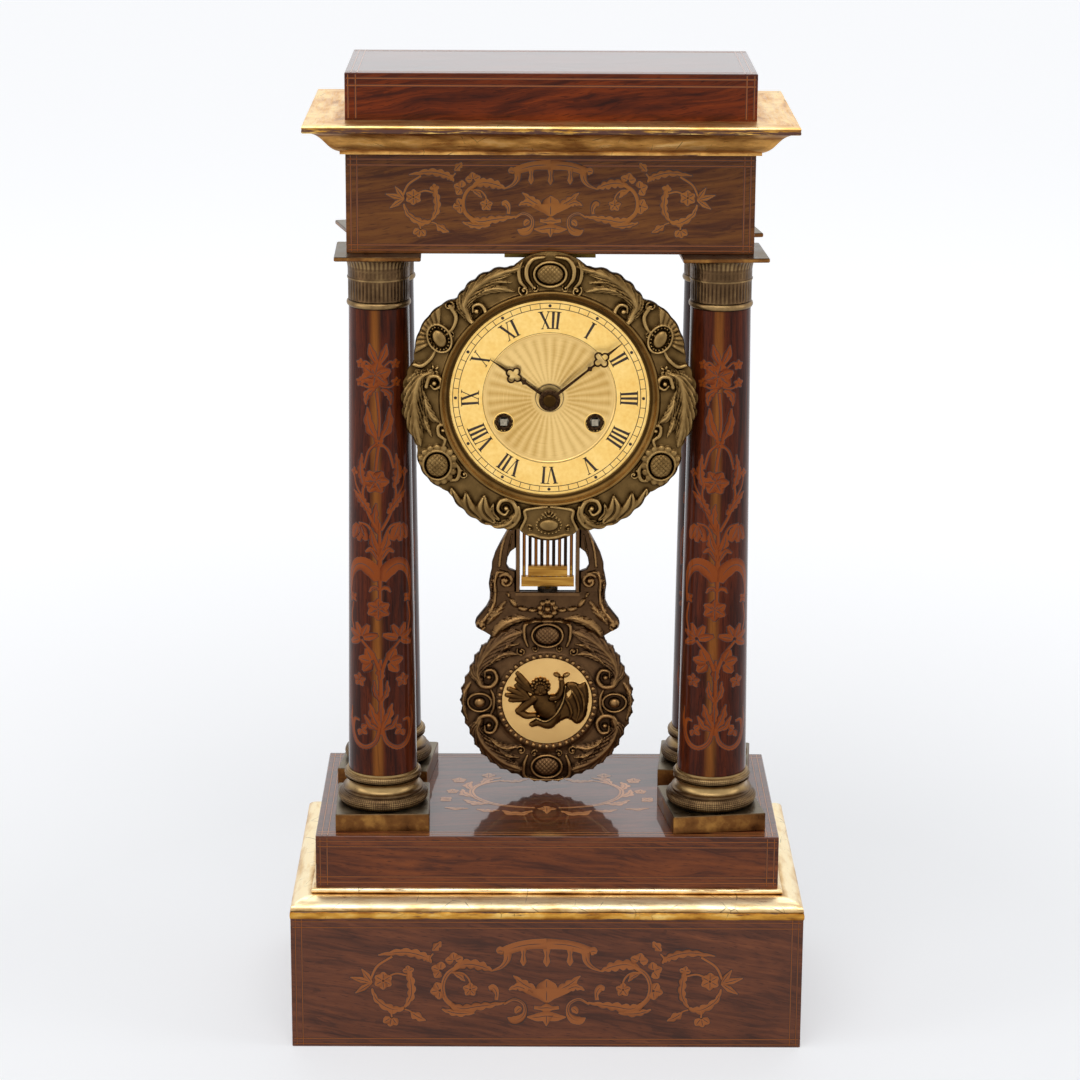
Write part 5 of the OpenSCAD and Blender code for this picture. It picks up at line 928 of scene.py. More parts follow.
# Column drawing, right half: candelabra of flowers up the shaft (mm from the front line, and height)
climb = leaves(
    ([(0.6, 160.5), (2.4, 153.4), (7.2, 149.8), (12.2, 151.6), (14.8, 157.4), (13.6, 163.4), (10.4, 163.6)],
     [0.7, 0.9, 1.1, 1.3, 1.2, 0.9, 0.5]),
    ([(13.9, 154.4), (16, 162), (15.4, 170)], [0.4, 1.3, 0.3], 3),
    ([(0.5, 160.5), (3.2, 166), (5, 173)], [0.8, 2.3, 2, 0.3], 3, 0.45),
    ([(1.2, 159.6), (5.2, 161.6), (7.6, 166.6)], [0.5, 1.5, 1.6, 0.4], 2),
    ([(0.4, 174.5), (2.6, 179), (2.9, 185)], [0.6, 1.6, 0.3], 3, 0.45),
    ([(0.6, 190.5), (3.8, 199), (9, 205.4)], [0.9, 0.75, 0.6]),
    ([(13.4, 209), (15.2, 216), (13.8, 224)], [0.5, 0.6, 0.5]),
    ([(1.4, 236.2), (3.4, 241.4), (7.4, 244.4), (11.6, 243.2), (14.6, 238.4), (15.6, 231.5), (15.2, 224)],
     [1.3, 3.8, 3.6, 2.8, 1.8, 0.9, 0.4]),
    ([(0.3, 231.8), (2.6, 232.8), (4.8, 230.6)], [0.4, 1.4, 0.3], 2),
    ([(0.6, 247), (3.4, 252), (6.4, 250.8)], [0.6, 1.5, 0.4]),
    ([(0.4, 250), (3, 255.6), (3.7, 262.5)], [0.8, 2.2, 1.8, 0.3], 4, 0.45),
    ([(0.6, 253), (4.6, 263.4), (9.8, 265)], [0.6, 0.55, 0.5]),
    ([(0.8, 262), (4.6, 269.6), (7.4, 278.6), (7, 285)], [0.6, 0.6, 0.6, 0.5]),
    ([(3.6, 270.5), (7.8, 276), (12.8, 281)], [0.6, 2.4, 2.2, 0.3], 5, 0.45),
    ([(6.6, 283), (8.6, 290.5), (7.8, 300)], [0.6, 2.4, 2.1, 0.3], 5, 0.45),
    ([(8.4, 279), (11.4, 284), (12.4, 289.4)], [0.45, 0.45, 0.4]),
    ([(0.9, 305.6), (4.4, 301.4), (6.6, 293)], [0.55, 0.55, 0.5]),
    ([(0.8, 307.6), (4.2, 314.4), (4.8, 323.4)], [0.5, 2.5, 2.1, 0.3], 3, 0.3),
    ([(1.6, 332.6), (5, 329.6), (5.6, 324.6)], [0.7, 2, 1.5, 0.3], 3),
    ([(1, 334), (5, 333.4), (8, 335.2)], [0.45, 0.45, 0.4]),
    ([(2.4, 343.4), (5.2, 345.8), (7.8, 344.8)], [0.4, 0.4, 0.4]),
    ([(0.5, 345.2), (2.7, 350), (3.7, 354.6)], [0.9, 1.9, 0.2]))
climb += sprays(((3.4, 194.8), 7.2, 3, 8, 112, 0.37), ((10.4, 184.6), 3.6, 5),
                ((8.8, 206.4), 8, 5, 68, 190, 0.25), ((13.6, 226.6), 2.6, 4, 45),
                ((9.7, 265.2), 9.4, 3, -90, 50, 0.3), ((9.6, 159.2), 3.8, 3, 215, 150, 0.42),
                ((12.4, 290.2), 2.4, 4), ((8.2, 335.6), 2.5, 5), ((7.9, 344.6), 2.5, 5))
stem = leaves(
    ([(0, 157), (0, 168), (0, 182), (0, 196)], [0.9, 1, 0.9, 0.6]),
    ([(0, 160), (0, 167), (0, 176)], [1.6, 2.1, 0.3], 3),
    ([(0, 184), (0, 189), (0, 196)], [0.6, 2.2, 0.4], 3),
    ([(0, 226), (0, 233), (0, 242), (0, 250)], [0.6, 0.7, 1.2, 0.9]),
    ([(0, 248), (0, 257), (0, 266)], [0.8, 0.8, 0.5]),
    ([(-0.4, 260), (-2.2, 266.6), (-1.4, 275.5)], [0.6, 2.3, 2, 0.3], 4, 0.45),
    ([(-1.4, 292), (-0.8, 298), (0, 304)], [0.6, 0.6, 0.6]),
    ([(0, 309), (0.4, 318), (-0.6, 331)], [0.5, 0.5, 0.6]))
stem += rose((-0.8, 221.8), 5.4) + rose((-1.6, 286.4), 6, 6, 60) + spray((0, 305.8), 2.6, 4, 45)
stem += rose((-1.2, 339.2), 7, 6, 80)
climbing = stem + mirrored(climb)
for name, at in zip(columnNames, columnAt):
    inlayPiece(f"shaftMarquetry_{name}", climbing, shaftFace(at), columnInlay, 20 + len(name),
               kerfWide=0.26)

# Step top, right half: open oval wreath of leaf scrolls and flowers (mm from the middle)
wreath = leaves(
    ([(6, -21), (16, -19.5), (27, -15.6), (36.5, -6), (38.6, 5), (33, 14.5), (22, 20)],
     [0.5, 0.9, 1.1, 1.2, 1.1, 0.9, 0.4]),
    ([(7.4, -25.4), (12.4, -29.4), (19, -28.6), (22.6, -24.6)], [0.6, 2, 2.4, 0.4], 3),
    ([(24, -24.6), (30, -25.6), (35.6, -23.2)], [0.4, 2, 0.4], 3),
    ([(30, -14.8), (36.6, -14.6), (42.4, -9.6)], [0.6, 2.6, 0.4], 4),
    ([(37.2, -5.4), (42.4, -1), (43.4, 6)], [0.6, 2.4, 0.4], 4),
    ([(38, 4.6), (40.8, 11.4), (38.6, 17.4)], [0.6, 2.4, 0.4], 4),
    ([(34, 13), (30.8, 20.4), (23.4, 23.6)], [0.6, 2.4, 0.3], 4),
    ([(24, 18.8), (16, 18.4), (9.4, 21.6)], [0.6, 2, 0.3], 4),
    ([(40, -22), (46.4, -22.6), (52, -21)], [0.4, 1.6, 0.3], 2))
wreath += sprays(((51.6, -8.8), 3.6, 4, 45), ((48.4, 3), 3.2, 5), ((45.4, 19.4), 3.8, 5),
                 ((30.2, 26.8), 3.6, 4))
ring = leaves(([(0, -18.6), (0, -23.4), (0, -29.2)], [1.6, 3, 0.4], 2))
ring += spray((0, -22.4), 4.8, 3, -90, 180, 0.4)
ring += mirrored(widened(wreath, 1.25))
inlayPiece("wreathMarquetryStep", ring, topFace(base["stepTop"]), topInlay, 8)


# Stringing: pairs of thin pale lines let in along the edges of each face. Each line runs from edge to edge,
# so that the pairs cross at the corners. Insets: at the sides, above and below.
def frameLines(w, z0, z1, sides, above, below, half=0.29, stop=0.9):
    x = w / 2 - stop
    level = [z1 - i for i in above] + [z0 + i for i in below]
    upright = [k * (w / 2 - i) for i in sides for k in (-1, 1)]
    return ([line((-x, z), (x, z), half) for z in level]
            + [line((q, z0 + stop), (q, z1 - stop), half - 0.05) for q in upright])


strungFaces = [
    ("Base", base["w"], base["d"], 0.0, base["top"], (2.4, 5.5), (4.7, 7.8), (1.6, 4.4)),
    ("Step", base["stepW"], base["stepD"], 81.0, base["stepTop"], (2.2, 5.7), (2.7, 5.6), (2.5, 5.4)),
    ("Frieze", head["w"], head["d"], head["soffit"], head["cornice"], (2.4, 5.4), (2.6, 5.4), (1.8, 4.2)),
    ("Block", head["w"], head["d"], head["attic"], head["top"], (1.6, 5.2), (2.6, 6.0), ())]
for k, (name, w, d, z0, z1, *insets) in enumerate(strungFaces):
    for side, wide, place in (("Front", w, frontFace(d)), ("Right", d, endFace(w, 1)),
                              ("Left", d, endFace(w, -1))):
        lines = frameLines(wide, z0, z1, *insets)
        inlayPiece(f"stringing{name}{side}", lines, place, stringWood, 40 + k, kerfWide=0.2)
for name, w, d, z in (("StepTop", base["stepW"], base["stepD"], base["stepTop"]),
                      ("BlockTop", head["w"], head["d"], head["top"])):
    lines = frameLines(w, -d / 2, d / 2, *[(3.0, 6.0)] * 3)
    inlayPiece(f"stringing{name}", lines, topFace(z), stringTop, 60, kerfWide=0.2)
print("inlay ready")


# bezel and bob: pressed and chased brass, worked as height fields
# Nearest sample of a path for every point: distance, share along the path, and side (+1 left of it).
def nearPath(p, path, batch=40):
    d = np.full(len(p), 1e6)
    k = np.zeros(len(p), int)
    for a in range(0, len(path), batch):
        dist = ((p[:, None, :] - path[None, a:a + batch]) ** 2).sum(-1)
        j = dist.argmin(1)
        m = dist[np.arange(len(p)), j]
        better = m < d
        d = np.where(better, m, d)
        k = np.where(better, j + a, k)
    tangent = np.gradient(path, axis=0)[k]
    off = p - path[k]
    side = np.sign(tangent[:, 0] * off[:, 1] - tangent[:, 1] * off[:, 0])
    return np.sqrt(d), k / (len(path) - 1), side


# A relief keeps points (n, 2) in mm, mirrored to the right half or not, and the heights h raised so far.
class Relief:
    def __init__(self, x, z, mirror=True):
        self.shape = x.shape
        self.p = np.column_stack([np.abs(x).ravel() if mirror else x.ravel(), z.ravel()])
        self.h = np.zeros(len(self.p))

    # the heights in the grid's own shape
    def heights(self):
        return self.h.reshape(self.shape)

    # the points near a path, with distance, share along it and side
    def near(self, path, pad):
        lo, hi = path.min(0) - pad, path.max(0) + pad
        m = np.where(((self.p >= lo) & (self.p <= hi)).all(1))[0]
        return m, *nearPath(self.p[m], path)

    # what is raised never lowers what is there
    def raiseTo(self, m, up):
        self.h[m] = np.maximum(self.h[m], up)

    # rounded cord along a path: h * (1 - (d / w)^2)^power, widths and heights spread along it
    def cord(self, points, w, h, n=70, power=0.5, curve=True):
        path = smooth(points, n) if curve else np.asarray(points, float)
        w, h = np.atleast_1d(w), np.atleast_1d(h)
        m, d, t, _ = self.near(path, w.max() + 0.5)
        self.raiseTo(m, along(t, h) * np.clip(1 - (d / along(t, w)) ** 2, 0, 1) ** power)

    # almond leaf along a path: half-width as the sine of the share along it, sunk vein down the middle
    def leaflet(self, points, w, h):
        m, d, t, _ = self.near(smooth(points, 60), w + 0.5)
        rel = d / (0.12 + w * np.sin(math.pi * np.clip(0.1 + 0.9 * t, 0, 1)) ** 0.8)
        vein = 1 - 0.42 * np.exp(-(rel / 0.17) ** 2)
        self.raiseTo(m, h * np.clip(1 - rel ** 2, 0, 1) ** 0.5 * vein)

    # broad acanthus leaf along a spine, root to tip: leaflets lean to the tip and overlap like shingles,
    # each sharp on its leading edge and falling to a crevice, with a toothed margin
    def frond(self, points, left, right, h, lobes, skew=0.4, n=110):
        m, d, t, side = self.near(smooth(points, n), max(*left, *right) + 0.5)
        left, right, h = [along(t, w) for w in (left, right, h)]
        rel = d / np.maximum(np.where(side > 0, left, right), 0.05)
        saw = (lobes * (t - skew * rel)) % 1.0
        leaflet = np.minimum(saw / 0.16, 1) * (1 - 0.75 * np.clip((saw - 0.16) / 0.84, 0, 1) ** 1.2)
        edge = 1 - 0.26 * (1 - leaflet)
        body = np.clip(1 - (rel / edge) ** 2, 0, 1) ** 0.42
        cut = np.clip((rel - 0.10) / 0.25, 0, 1)
        stem = 0.16 * np.exp(-(rel / 0.13) ** 2)
        self.raiseTo(m, h * (body * (1 - 0.5 * (1 - leaflet) * cut) + stem * body))

    # everything inside a closed outline raised to h, with a rounded margin; h = 0 cuts an opening
    def area(self, points, h, margin=1.0, n=240):
        ring = smooth(list(points) + [points[0]], n)
        m, d, _, _ = self.near(ring, 0.1)
        px, pz = self.p[m].T
        inside = np.zeros(len(m), bool)
        for (x0, z0), (x1, z1) in zip(ring, np.roll(ring, -1, 0)):   # even-odd rule, edge by edge
            if z0 != z1:
                inside ^= ((z0 > pz) != (z1 > pz)) & (px < (x1 - x0) * (pz - z0) / (z1 - z0) + x0)
        raised = np.maximum(self.h[m], h * np.clip(d / margin, 0, 1) ** 0.6)
        opened = self.h[m] * (1 - np.clip(d / 0.25, 0, 1))
        self.h[m] = np.where(inside, raised if h else opened, self.h[m])

    # spiral: the radius runs out as (1 - t)^1.15 over the turns, a button in its eye
    def volute(self, c, r, turns=1.75, start=0.0, hand=1, w=0.26, h=2.0):
        t = np.linspace(0, 0.93, 90)
        a = math.radians(start) + hand * t * turns * tau
        rad = r * (1 - t) ** 1.15
        path = np.column_stack([c[0] + rad * np.cos(a), c[1] + rad * np.sin(a)])
        widths, heights = r * w * np.array([1, 0.9, 0.55]), h * np.array([0.85, 1.0, 1.15])
        self.cord(path, widths, heights, curve=False, power=0.6)
        self.dome(c, (r * 0.26, r * 0.26), h * 1.3)

    # an oval's own x and y at every point, and the squared share of the way to its edge
    def oval(self, c, size, tilt):
        co, si = math.cos(math.radians(tilt)), math.sin(math.radians(tilt))
        q = self.p - np.asarray(c)
        x, y = (q[:, 0] * co + q[:, 1] * si), (-q[:, 0] * si + q[:, 1] * co)
        return x, y, (x / size[0]) ** 2 + (y / size[1]) ** 2

    # rounded boss, plain or cut with a lattice of crossing grooves
    def dome(self, c, size, h, tilt=0.0, lattice=0.0, base=0.0):
        x, y, e = self.oval(c, size, tilt)
        up = base + (h - base) * np.clip(1 - e, 0, 1) ** 0.5
        if lattice:
            net = np.minimum(*[np.abs(np.sin(s * math.pi / lattice)) for s in (x + y, x - y)])
            up = up - 0.55 * (1 - np.clip(net * 2.2, 0, 1)) * np.clip((1 - e) * 3, 0, 1)
        self.h = np.where(e < 1, np.maximum(self.h, up), self.h)

    # a rounded cord round an oval, or a ring of beads
    def ring(self, c, size, w, h, tilt=0.0, beads=0):
        a = np.linspace(0, tau, 121)
        co, si = math.cos(math.radians(tilt)), math.sin(math.radians(tilt))
        x, y = size[0] * np.cos(a), size[1] * np.sin(a)
        path = np.column_stack([c[0] + x * co - y * si, c[1] + x * si + y * co])
        if beads:
            for b in path[np.round(np.linspace(0, 120, beads + 1)[:-1]).astype(int)]:
                self.dome(b, (w, w), h)
        else:
            self.cord(path, w, h, curve=False, power=0.6)

    # sink everything in an oval to a floor, so that a cartouche stands in its own field
    def sink(self, c, size, to, tilt=0.0):
        e = self.oval(c, size, tilt)[2]
        low = to + (self.h - to) * np.clip((e - 0.8) / 0.2, 0, 1)
        self.h = np.where(e < 1, np.minimum(self.h, low), self.h)

    # fan of ribs (a shell): ribs open from a point towards the rim
    def shell(self, c, r0, r1, mid, half, ribs, h):
        q = self.p - np.asarray(c)
        r = np.hypot(q[:, 0], q[:, 1])
        a = (np.degrees(np.arctan2(q[:, 0], q[:, 1])) - mid + 180) % 360 - 180
        inside = (np.abs(a) < half) & (r > r0) & (r < r1)
        rib = np.abs(np.cos(a / half * ribs * math.pi / 2))
        outer = np.clip((r1 * (0.93 + 0.07 * rib) - r) / (0.2 * r1), 0, 1) ** 0.5
        up = h * (0.35 + 0.65 * rib) * outer * np.clip((r - r0) / (0.15 * r1), 0, 1)
        self.h = np.where(inside, np.maximum(self.h, up), self.h)


# Painted shade: height minus its own neighbourhood, so that hollows beside raised work are painted darker
# and the tops of edges lighter; box blurs over a grid whose last row repeats the first.
def cavityShade(h, reach, shadeGain):
    h = h[:-1]
    soft = h.copy()
    for _ in range(2):
        soft = sum(np.roll(soft, k, 0) for k in range(-reach[0], reach[0] + 1)) / (2 * reach[0] + 1)
        wide = np.pad(soft, ((0, 0), (reach[1], reach[1])), mode="edge")
        soft = sum(wide[:, k:k + h.shape[1]] for k in range(2 * reach[1] + 1)) / (2 * reach[1] + 1)
    return closed(np.clip(0.45 + shadeGain * (h - soft), 0.0, 1.0))


bezel = {"z": 328.0, "back": -45.0, "sight": 48.3, "rebate": 49.55, "rebateH": 1.05, "crest": 52.9,
         "radius": 72.0, "cells": (1080, 60),
         "lobes": [(0, 0.3, 13), (28, -2.2, 16), (59, -0.4, 15), (92, 0, 18), (121, 0, 11), (150, -1.2, 18),
                   (180, -0.6, 12)]}
ang = np.linspace(0, 360, bezel["cells"][0] + 1)
fold = np.where(ang > 180, 360 - ang, ang)
# rim: parabolic lobes, with small scallops where leaves reach it
lobes = [bezel["radius"] + more - 3.5 * ((fold - at) / wide) ** 2 for at, more, wide in bezel["lobes"]]
rim = np.max(lobes, 0)
leafy = np.interp(fold, [0, 12, 16, 40, 46, 76, 80, 110, 113, 134, 138, 166, 172, 180],
                  [0, 0, 1, 1, 0.5, 0.4, 1, 1, 0.5, 0.6, 1, 1, 0.2, 0.1])
scallop = 0.5 + 0.5 * np.cos(np.radians(fold * 58 + 40 * np.sin(np.radians(fold * 9))))
rim = rim - 0.25 - 0.75 * leafy * scallop ** 1.5
q = np.linspace(0, 1, bezel["cells"][1])
rr = bezel["crest"] + (rim[:, None] - bezel["crest"]) * q
aa = np.radians(ang)[:, None]
px, pz = rr * np.sin(aa), rr * np.cos(aa)
art = Relief(px, pz)
# top: lattice oval in a frame, curls each side
art.cord([(3, 69.6), (8.4, 68.6), (11.2, 64.4), (11, 59.4), (8.6, 55.6)], [0.8, 1.2, 1.4, 1.3, 0.9],
         [1.4, 2, 2.3, 2.2, 1.6])
art.cord([(13.6, 67), (15, 62.6), (14.2, 57.8), (11.6, 54.8)], [0.6, 1.2, 1.2, 0.8], [1.2, 1.9, 1.9, 1.4])
art.sink((0, 61.4), (8.6, 6.6), 0.2)
art.dome((0, 61.4), (6.4, 4.8), 2.3, lattice=2.1, base=0.7)
art.ring((0, 61.4), (7.7, 6), 0.9, 2)
art.volute((12.6, 53.4), 2.6, 1.6, 40, -1, h=1.9)
art.volute((7.4, 54.6), 1.8, 1.5, 140, 1, h=1.6)
# acanthus C-scroll round to its volute, with an inner spray
art.frond([(38.6, 39.6), (41, 45.6), (38.2, 51.8), (31.6, 57.6), (23.6, 61.6), (14.6, 64)],
          [2, 3.4, 4.2, 4.2, 3.4, 1], [2.2, 4.6, 6.2, 6.6, 5.6, 2.6], [2.3, 2.6, 2.6, 2.4, 2.1, 1.4], 8)
art.cord([(40.6, 44.4), (38.2, 38.8), (33.4, 38.2), (30.8, 42.4), (33.2, 46.6), (36.6, 46), (37, 43)],
         [1.5, 1.5, 1.4, 1.2, 1, 0.7], [2.5, 2.7, 2.7, 2.6, 2.5, 2.2])
art.dome((35.2, 43.4), (1.5, 1.5), 3)
art.frond([(36.6, 50), (31.4, 53.2), (25, 54.4), (17, 52.8)], [1.2, 2.4, 2.6, 0.6], [1, 2.2, 2.4, 0.6],
          [1.8, 2.1, 1.9, 1], 5)
art.frond([(33.6, 54.8), (27, 57.6), (18.6, 57.2)], [0.8, 1.7, 0.5], [0.8, 1.6, 0.5], [1.5, 1.8, 1], 4)
# shell cartouche: ribbed fan on the rim, beaded oval inside
art.shell((52.6, 29.8), 5.5, 17.5, 60, 62, 9, 1.5)
art.sink((53, 30), (5.8, 7.6), 0.25, tilt=-28)
art.dome((53, 30), (3.1, 4.6), 2.7, tilt=-28, base=0.9)
art.ring((53, 30), (4.2, 5.8), 0.6, 2, tilt=-28, beads=18)
art.ring((53, 30), (5.4, 7.1), 0.8, 2, tilt=-28)
art.cord([(47.6, 45.4), (45, 40.6), (46.4, 35.2), (50, 31.6)], [1.4, 1.3, 1.1, 0.7], [2.1, 2.2, 1.9, 1.2])
art.cord([(66.2, 17.4), (61.6, 16.6), (57, 20.2), (54.6, 24.6)], [1, 1.3, 1.1, 0.7], [1.8, 2.2, 1.9, 1.2])
art.volute((48.4, 46), 2.6, 1.6, 200, -1, h=2.2)
art.volute((47.2, 31.6), 1.7, 1.5, 20, 1, h=1.5)
for k in range(5):
    art.dome((55.6 + 1.6 * math.cos(k * tau / 5), 14.4 + 1.6 * math.sin(k * tau / 5)), (1.3, 0.8), 1.6,
             tilt=k * 72)
# side acanthus: volute at its head, leaves hanging down the rim
art.cord([(59.4, 6.4), (57.8, 11), (53.8, 11.2), (52.4, 7.6), (55.2, 5.2), (57.4, 7)],
         [1.4, 1.3, 1.2, 1, 0.7], [2.6, 2.7, 2.6, 2.5, 2.2])
art.dome((55.5, 8), (1.5, 1.5), 3)
art.frond([(57, 13.2), (62, 10.6), (64.6, 3), (64.8, -6), (63.8, -15), (62.2, -23)],
          [1.4, 5, 6.4, 6.4, 5.6, 1], [1.2, 3.4, 4.4, 4.4, 3.6, 0.8], [1.8, 2.5, 2.7, 2.6, 2.2, 1.2], 8)
art.frond([(60.6, 3.6), (59.6, -2.6), (56.8, -8.6), (52.8, -11.8)], [0.8, 2.4, 2.6, 0.6],
          [0.8, 2.4, 2.6, 0.6], [1.6, 2.2, 2, 1], 5)
art.frond([(60.8, -4.6), (59.8, -12), (57, -18.4)], [0.6, 1.9, 0.6], [0.6, 2, 0.6], [1.4, 2, 1], 4)
art.cord([(50.4, -12.6), (53.6, -13.4), (53.4, -17.6), (50.6, -20.2), (51.4, -24)],
         [0.6, 1.1, 1.2, 1.1, 0.8], [1.2, 1.8, 2, 1.9, 1.4])
art.dome((51.6, -15.4), (1.1, 1.1), 2.1)
# round lattice medallion in a scalloped frame
for k in range(16):
    art.dome((54.3 + 8.3 * math.cos(k * tau / 16), -32.8 + 8.6 * math.sin(k * tau / 16)), (2, 2), 1.7)
art.sink((54.3, -32.8), (7.4, 7.8), 0.3)
art.ring((54.3, -32.8), (6.8, 7.2), 0.9, 2.1)
art.dome((54.3, -32.8), (5.5, 5.9), 2.4, lattice=2.3, base=0.8)
art.cord([(46, -30.8), (43.6, -35.2), (44.6, -39.6), (47.6, -40.6)], [0.6, 1.2, 1.2, 0.8],
         [1.2, 1.9, 1.9, 1.4])
art.volute((41.2, -37.4), 2.3, 1.5, 60, -1, h=1.7)
# leaf fan, then the lower scroll
art.frond([(16.6, -57.6), (19.8, -61.8), (27, -63.8), (35.6, -61.4), (44.4, -55.4), (53.4, -46.8)],
          [1.6, 2.6, 3.4, 3.6, 3, 0.9], [1.8, 4.4, 5.6, 6, 5, 1.2], [2.2, 2.4, 2.3, 2.1, 1.9, 1.2], 6)
for stalk, w, h in (([(27, -61), (31.8, -55.6), (31.4, -47.4)], 3.7, 2.7),
                    ([(33.6, -59.6), (39.2, -54), (40.4, -46)], 3.5, 2.6),
                    ([(40.4, -55.8), (45.4, -51), (47.6, -43.8)], 3.1, 2.5),
                    ([(28.6, -63), (35.2, -63.8), (40.8, -59.4)], 2.9, 2.6),
                    ([(36.4, -60.6), (42.6, -58.6), (47.6, -53.2)], 2.9, 2.5),
                    ([(43, -56), (49.2, -52.6), (53, -46.8)], 2.6, 2.3)):
    art.leaflet(stalk, w, h)
art.cord([(14.8, -53.6), (14.4, -58.2), (17.6, -63), (23.4, -65.2), (30, -63.8)], [0.9, 1.3, 1.3, 0.8],
         [2.4, 2.7, 2.6, 1.9])
art.cord([(16.6, -60.4), (15.8, -55.2), (18.6, -50.4), (23.2, -50.6), (24.8, -54.8), (21.6, -57.4),
          (19.6, -55.2)], [1.5, 1.5, 1.4, 1.3, 1, 0.7], [2.6, 2.8, 2.8, 2.7, 2.5, 2.2])
art.dome((20.8, -54.2), (1.5, 1.5), 3)
art.leaflet([(24.4, -60), (27.6, -56.6), (27, -51.6)], 1.6, 2.2)
# plaque at the foot with a beaded oval
art.area([(0, -53.4), (8.6, -54), (12, -55.4), (11, -58.6), (13.2, -64), (15.6, -68.6), (9, -69.4),
          (0, -71.4), (-6, -66), (-6, -58)], 1.1, 1.2)
art.cord([(1, -53.6), (7.6, -54.4), (11.8, -55.6), (11.4, -59.4), (13.4, -64.2), (14.6, -67.4)],
         [0.8, 1, 1.2, 1.1, 1], [2, 2.1, 2.2, 2.1, 1.8])
art.dome((0, -62.6), (4.6, 3), 3, base=1.6)
art.ring((0, -62.6), (6, 4.4), 0.68, 2.4, beads=20)
art.shell((0, -59.4), 0.5, 4.6, 0, 70, 5, 2.2)
art.volute((9.2, -64.4), 1.9, 1.5, 30, 1, h=2.2)
art.volute((14.2, -67.4), 2, 1.6, 150, 1, h=2)
art.cord([(0, -69.6), (4, -69), (8, -67.8), (11.6, -68.4)], [0.8, 0.9, 0.7], [2, 2, 1.6])


# A sheet swept round the bezel's centre: columns of radius and lift, each one value or one for each angle.
def roundBezel(a, columns):
    r, lift = [np.stack([np.broadcast_to(c[k], len(a)) for c in columns], 1) for k in (0, 1)]
    return sheet(facing(r * np.sin(a), r * np.cos(a), lift, bezel["back"], bezel["z"]))


# The front of a chased plate: relief on a dished ground, pebbled where nothing is raised, flush edges.
def chasedFront(ground, lift, share, edges, pebble):
    fade = np.clip((1 - share) / edges[0], 0, 1) * np.clip(share / edges[1], 0, 1)
    return ground + (lift * 0.95 + pebble * (lift < 0.3)) * fade


lift = art.heights()
ground = np.interp(rr, [52.9, 53.7, 55.5, 62, 67, 70, 72], [4.9, 3.6, 3.2, 3.5, 3.2, 2.7, 2.0])
high = chasedFront(ground, lift, q, (0.035, 0.02), 0.08 * uneven(px, pz, 2.3, 1.9, 3, n=9))
# painted shade of the relief: darker in its hollows, lighter on its crests
face = toned(sheet(facing(px, pz, high, bezel["back"], bezel["z"])), cavityShade(lift, (4, 5), 0.3))
# cove: knurled inner edge, hollow, and a rounded crest, as radius, lift, knurling and tint; the tint is
# painted shade, darkest down in the hollow and lightest on the crest
sight, rebateH = bezel["sight"], bezel["rebateH"]
coveRows = [(sight, rebateH, 0, 0.1), (sight, 1.9, 1, 0.25), (48.45, 2.1, 1, 0.35), (48.9, 2.15, 1, 0.3),
            (49.2, 2.0, 0, 0.1), (49.6, 2.2, 0, 0.2), (50.2, 2.55, 0, 0.4), (50.9, 3.2, 0, 0.5),
            (51.5, 4.1, 0, 0.5), (51.9, 4.8, 0, 0.45), (52.3, 5.1, 0, 0.6), (52.65, 5.1, 0, 0.7),
            (bezel["crest"], 4.9, 0, 0.5)]
ca = np.radians(np.linspace(0, 360, 361))[:, None]
bite = 0.14 * np.cos(180 * ca[:, 0])
cove = roundBezel(ca, [(r, h + cut * bite) for r, h, cut, _ in coveRows])
cove = toned(cove, np.tile([row[3] for row in coveRows], len(ca)), 1)
# back: rebate for the dial, flat back, and the edge up to the relief
rear = roundBezel(aa, [(rim, high[:, -1]), (rim, 0.25), (rim - 0.25, 0), (bezel["rebate"], 0),
                       (bezel["rebate"], rebateH), (sight, rebateH)])
assemble("chasedBezel", [face, cove, toned(rear, 0.35)], [bezelBronze, coveBrass], replaces=("bezel",),
         sharp=70)
print("bezel ready", round(float(high.max()), 2))

# dial and hands
dial = {"z": 328.0, "front": -46.0, "thick": 1.0, "edge": 49.5, "centre": 32.1, "bore": 3.2, "hole": 4.4,
        "holeAt": ((-22.1, -12.2), (22.1, -12.2)), "rays": 36, "numeral": (34.2, 42.8),
        "track": (44.1, 46.8), "dots": 45.45, "minuteHalf": 0.15 / 45, "ink": 0.05, "sunk": -0.02}
ink, sunk = dial["ink"], dial["sunk"]


# Clock angle (radians from 12), radius and height over the dial, to a place in mm.
def dialPlace(a, r, lift, at=(0, 0)):
    return facing(at[0] + r * np.sin(a), at[1] + r * np.cos(a), lift, dial["front"], dial["z"])


# Faces whose middle lies in a winding hole are left out.
def pierce(part):
    quads = part["f"][0]
    mid = part["v"][quads].mean(1)[:, [0, 2]] - [0, dial["z"]]
    keep = np.all([np.hypot(*(mid - np.array(h)).T) > dial["hole"] for h in dial["holeAt"]], 0)
    return dict(part, f=[quads[keep]])


# A ring with a section (r, lift) round a place on the dial.
def dialRing(section, at=(0, 0), n=180, mat=0):
    r, lift = np.asarray(section, float).T
    return dict(sheet(dialPlace(np.linspace(0, tau, n + 1)[:, None], r, lift, at)), mat=mat)


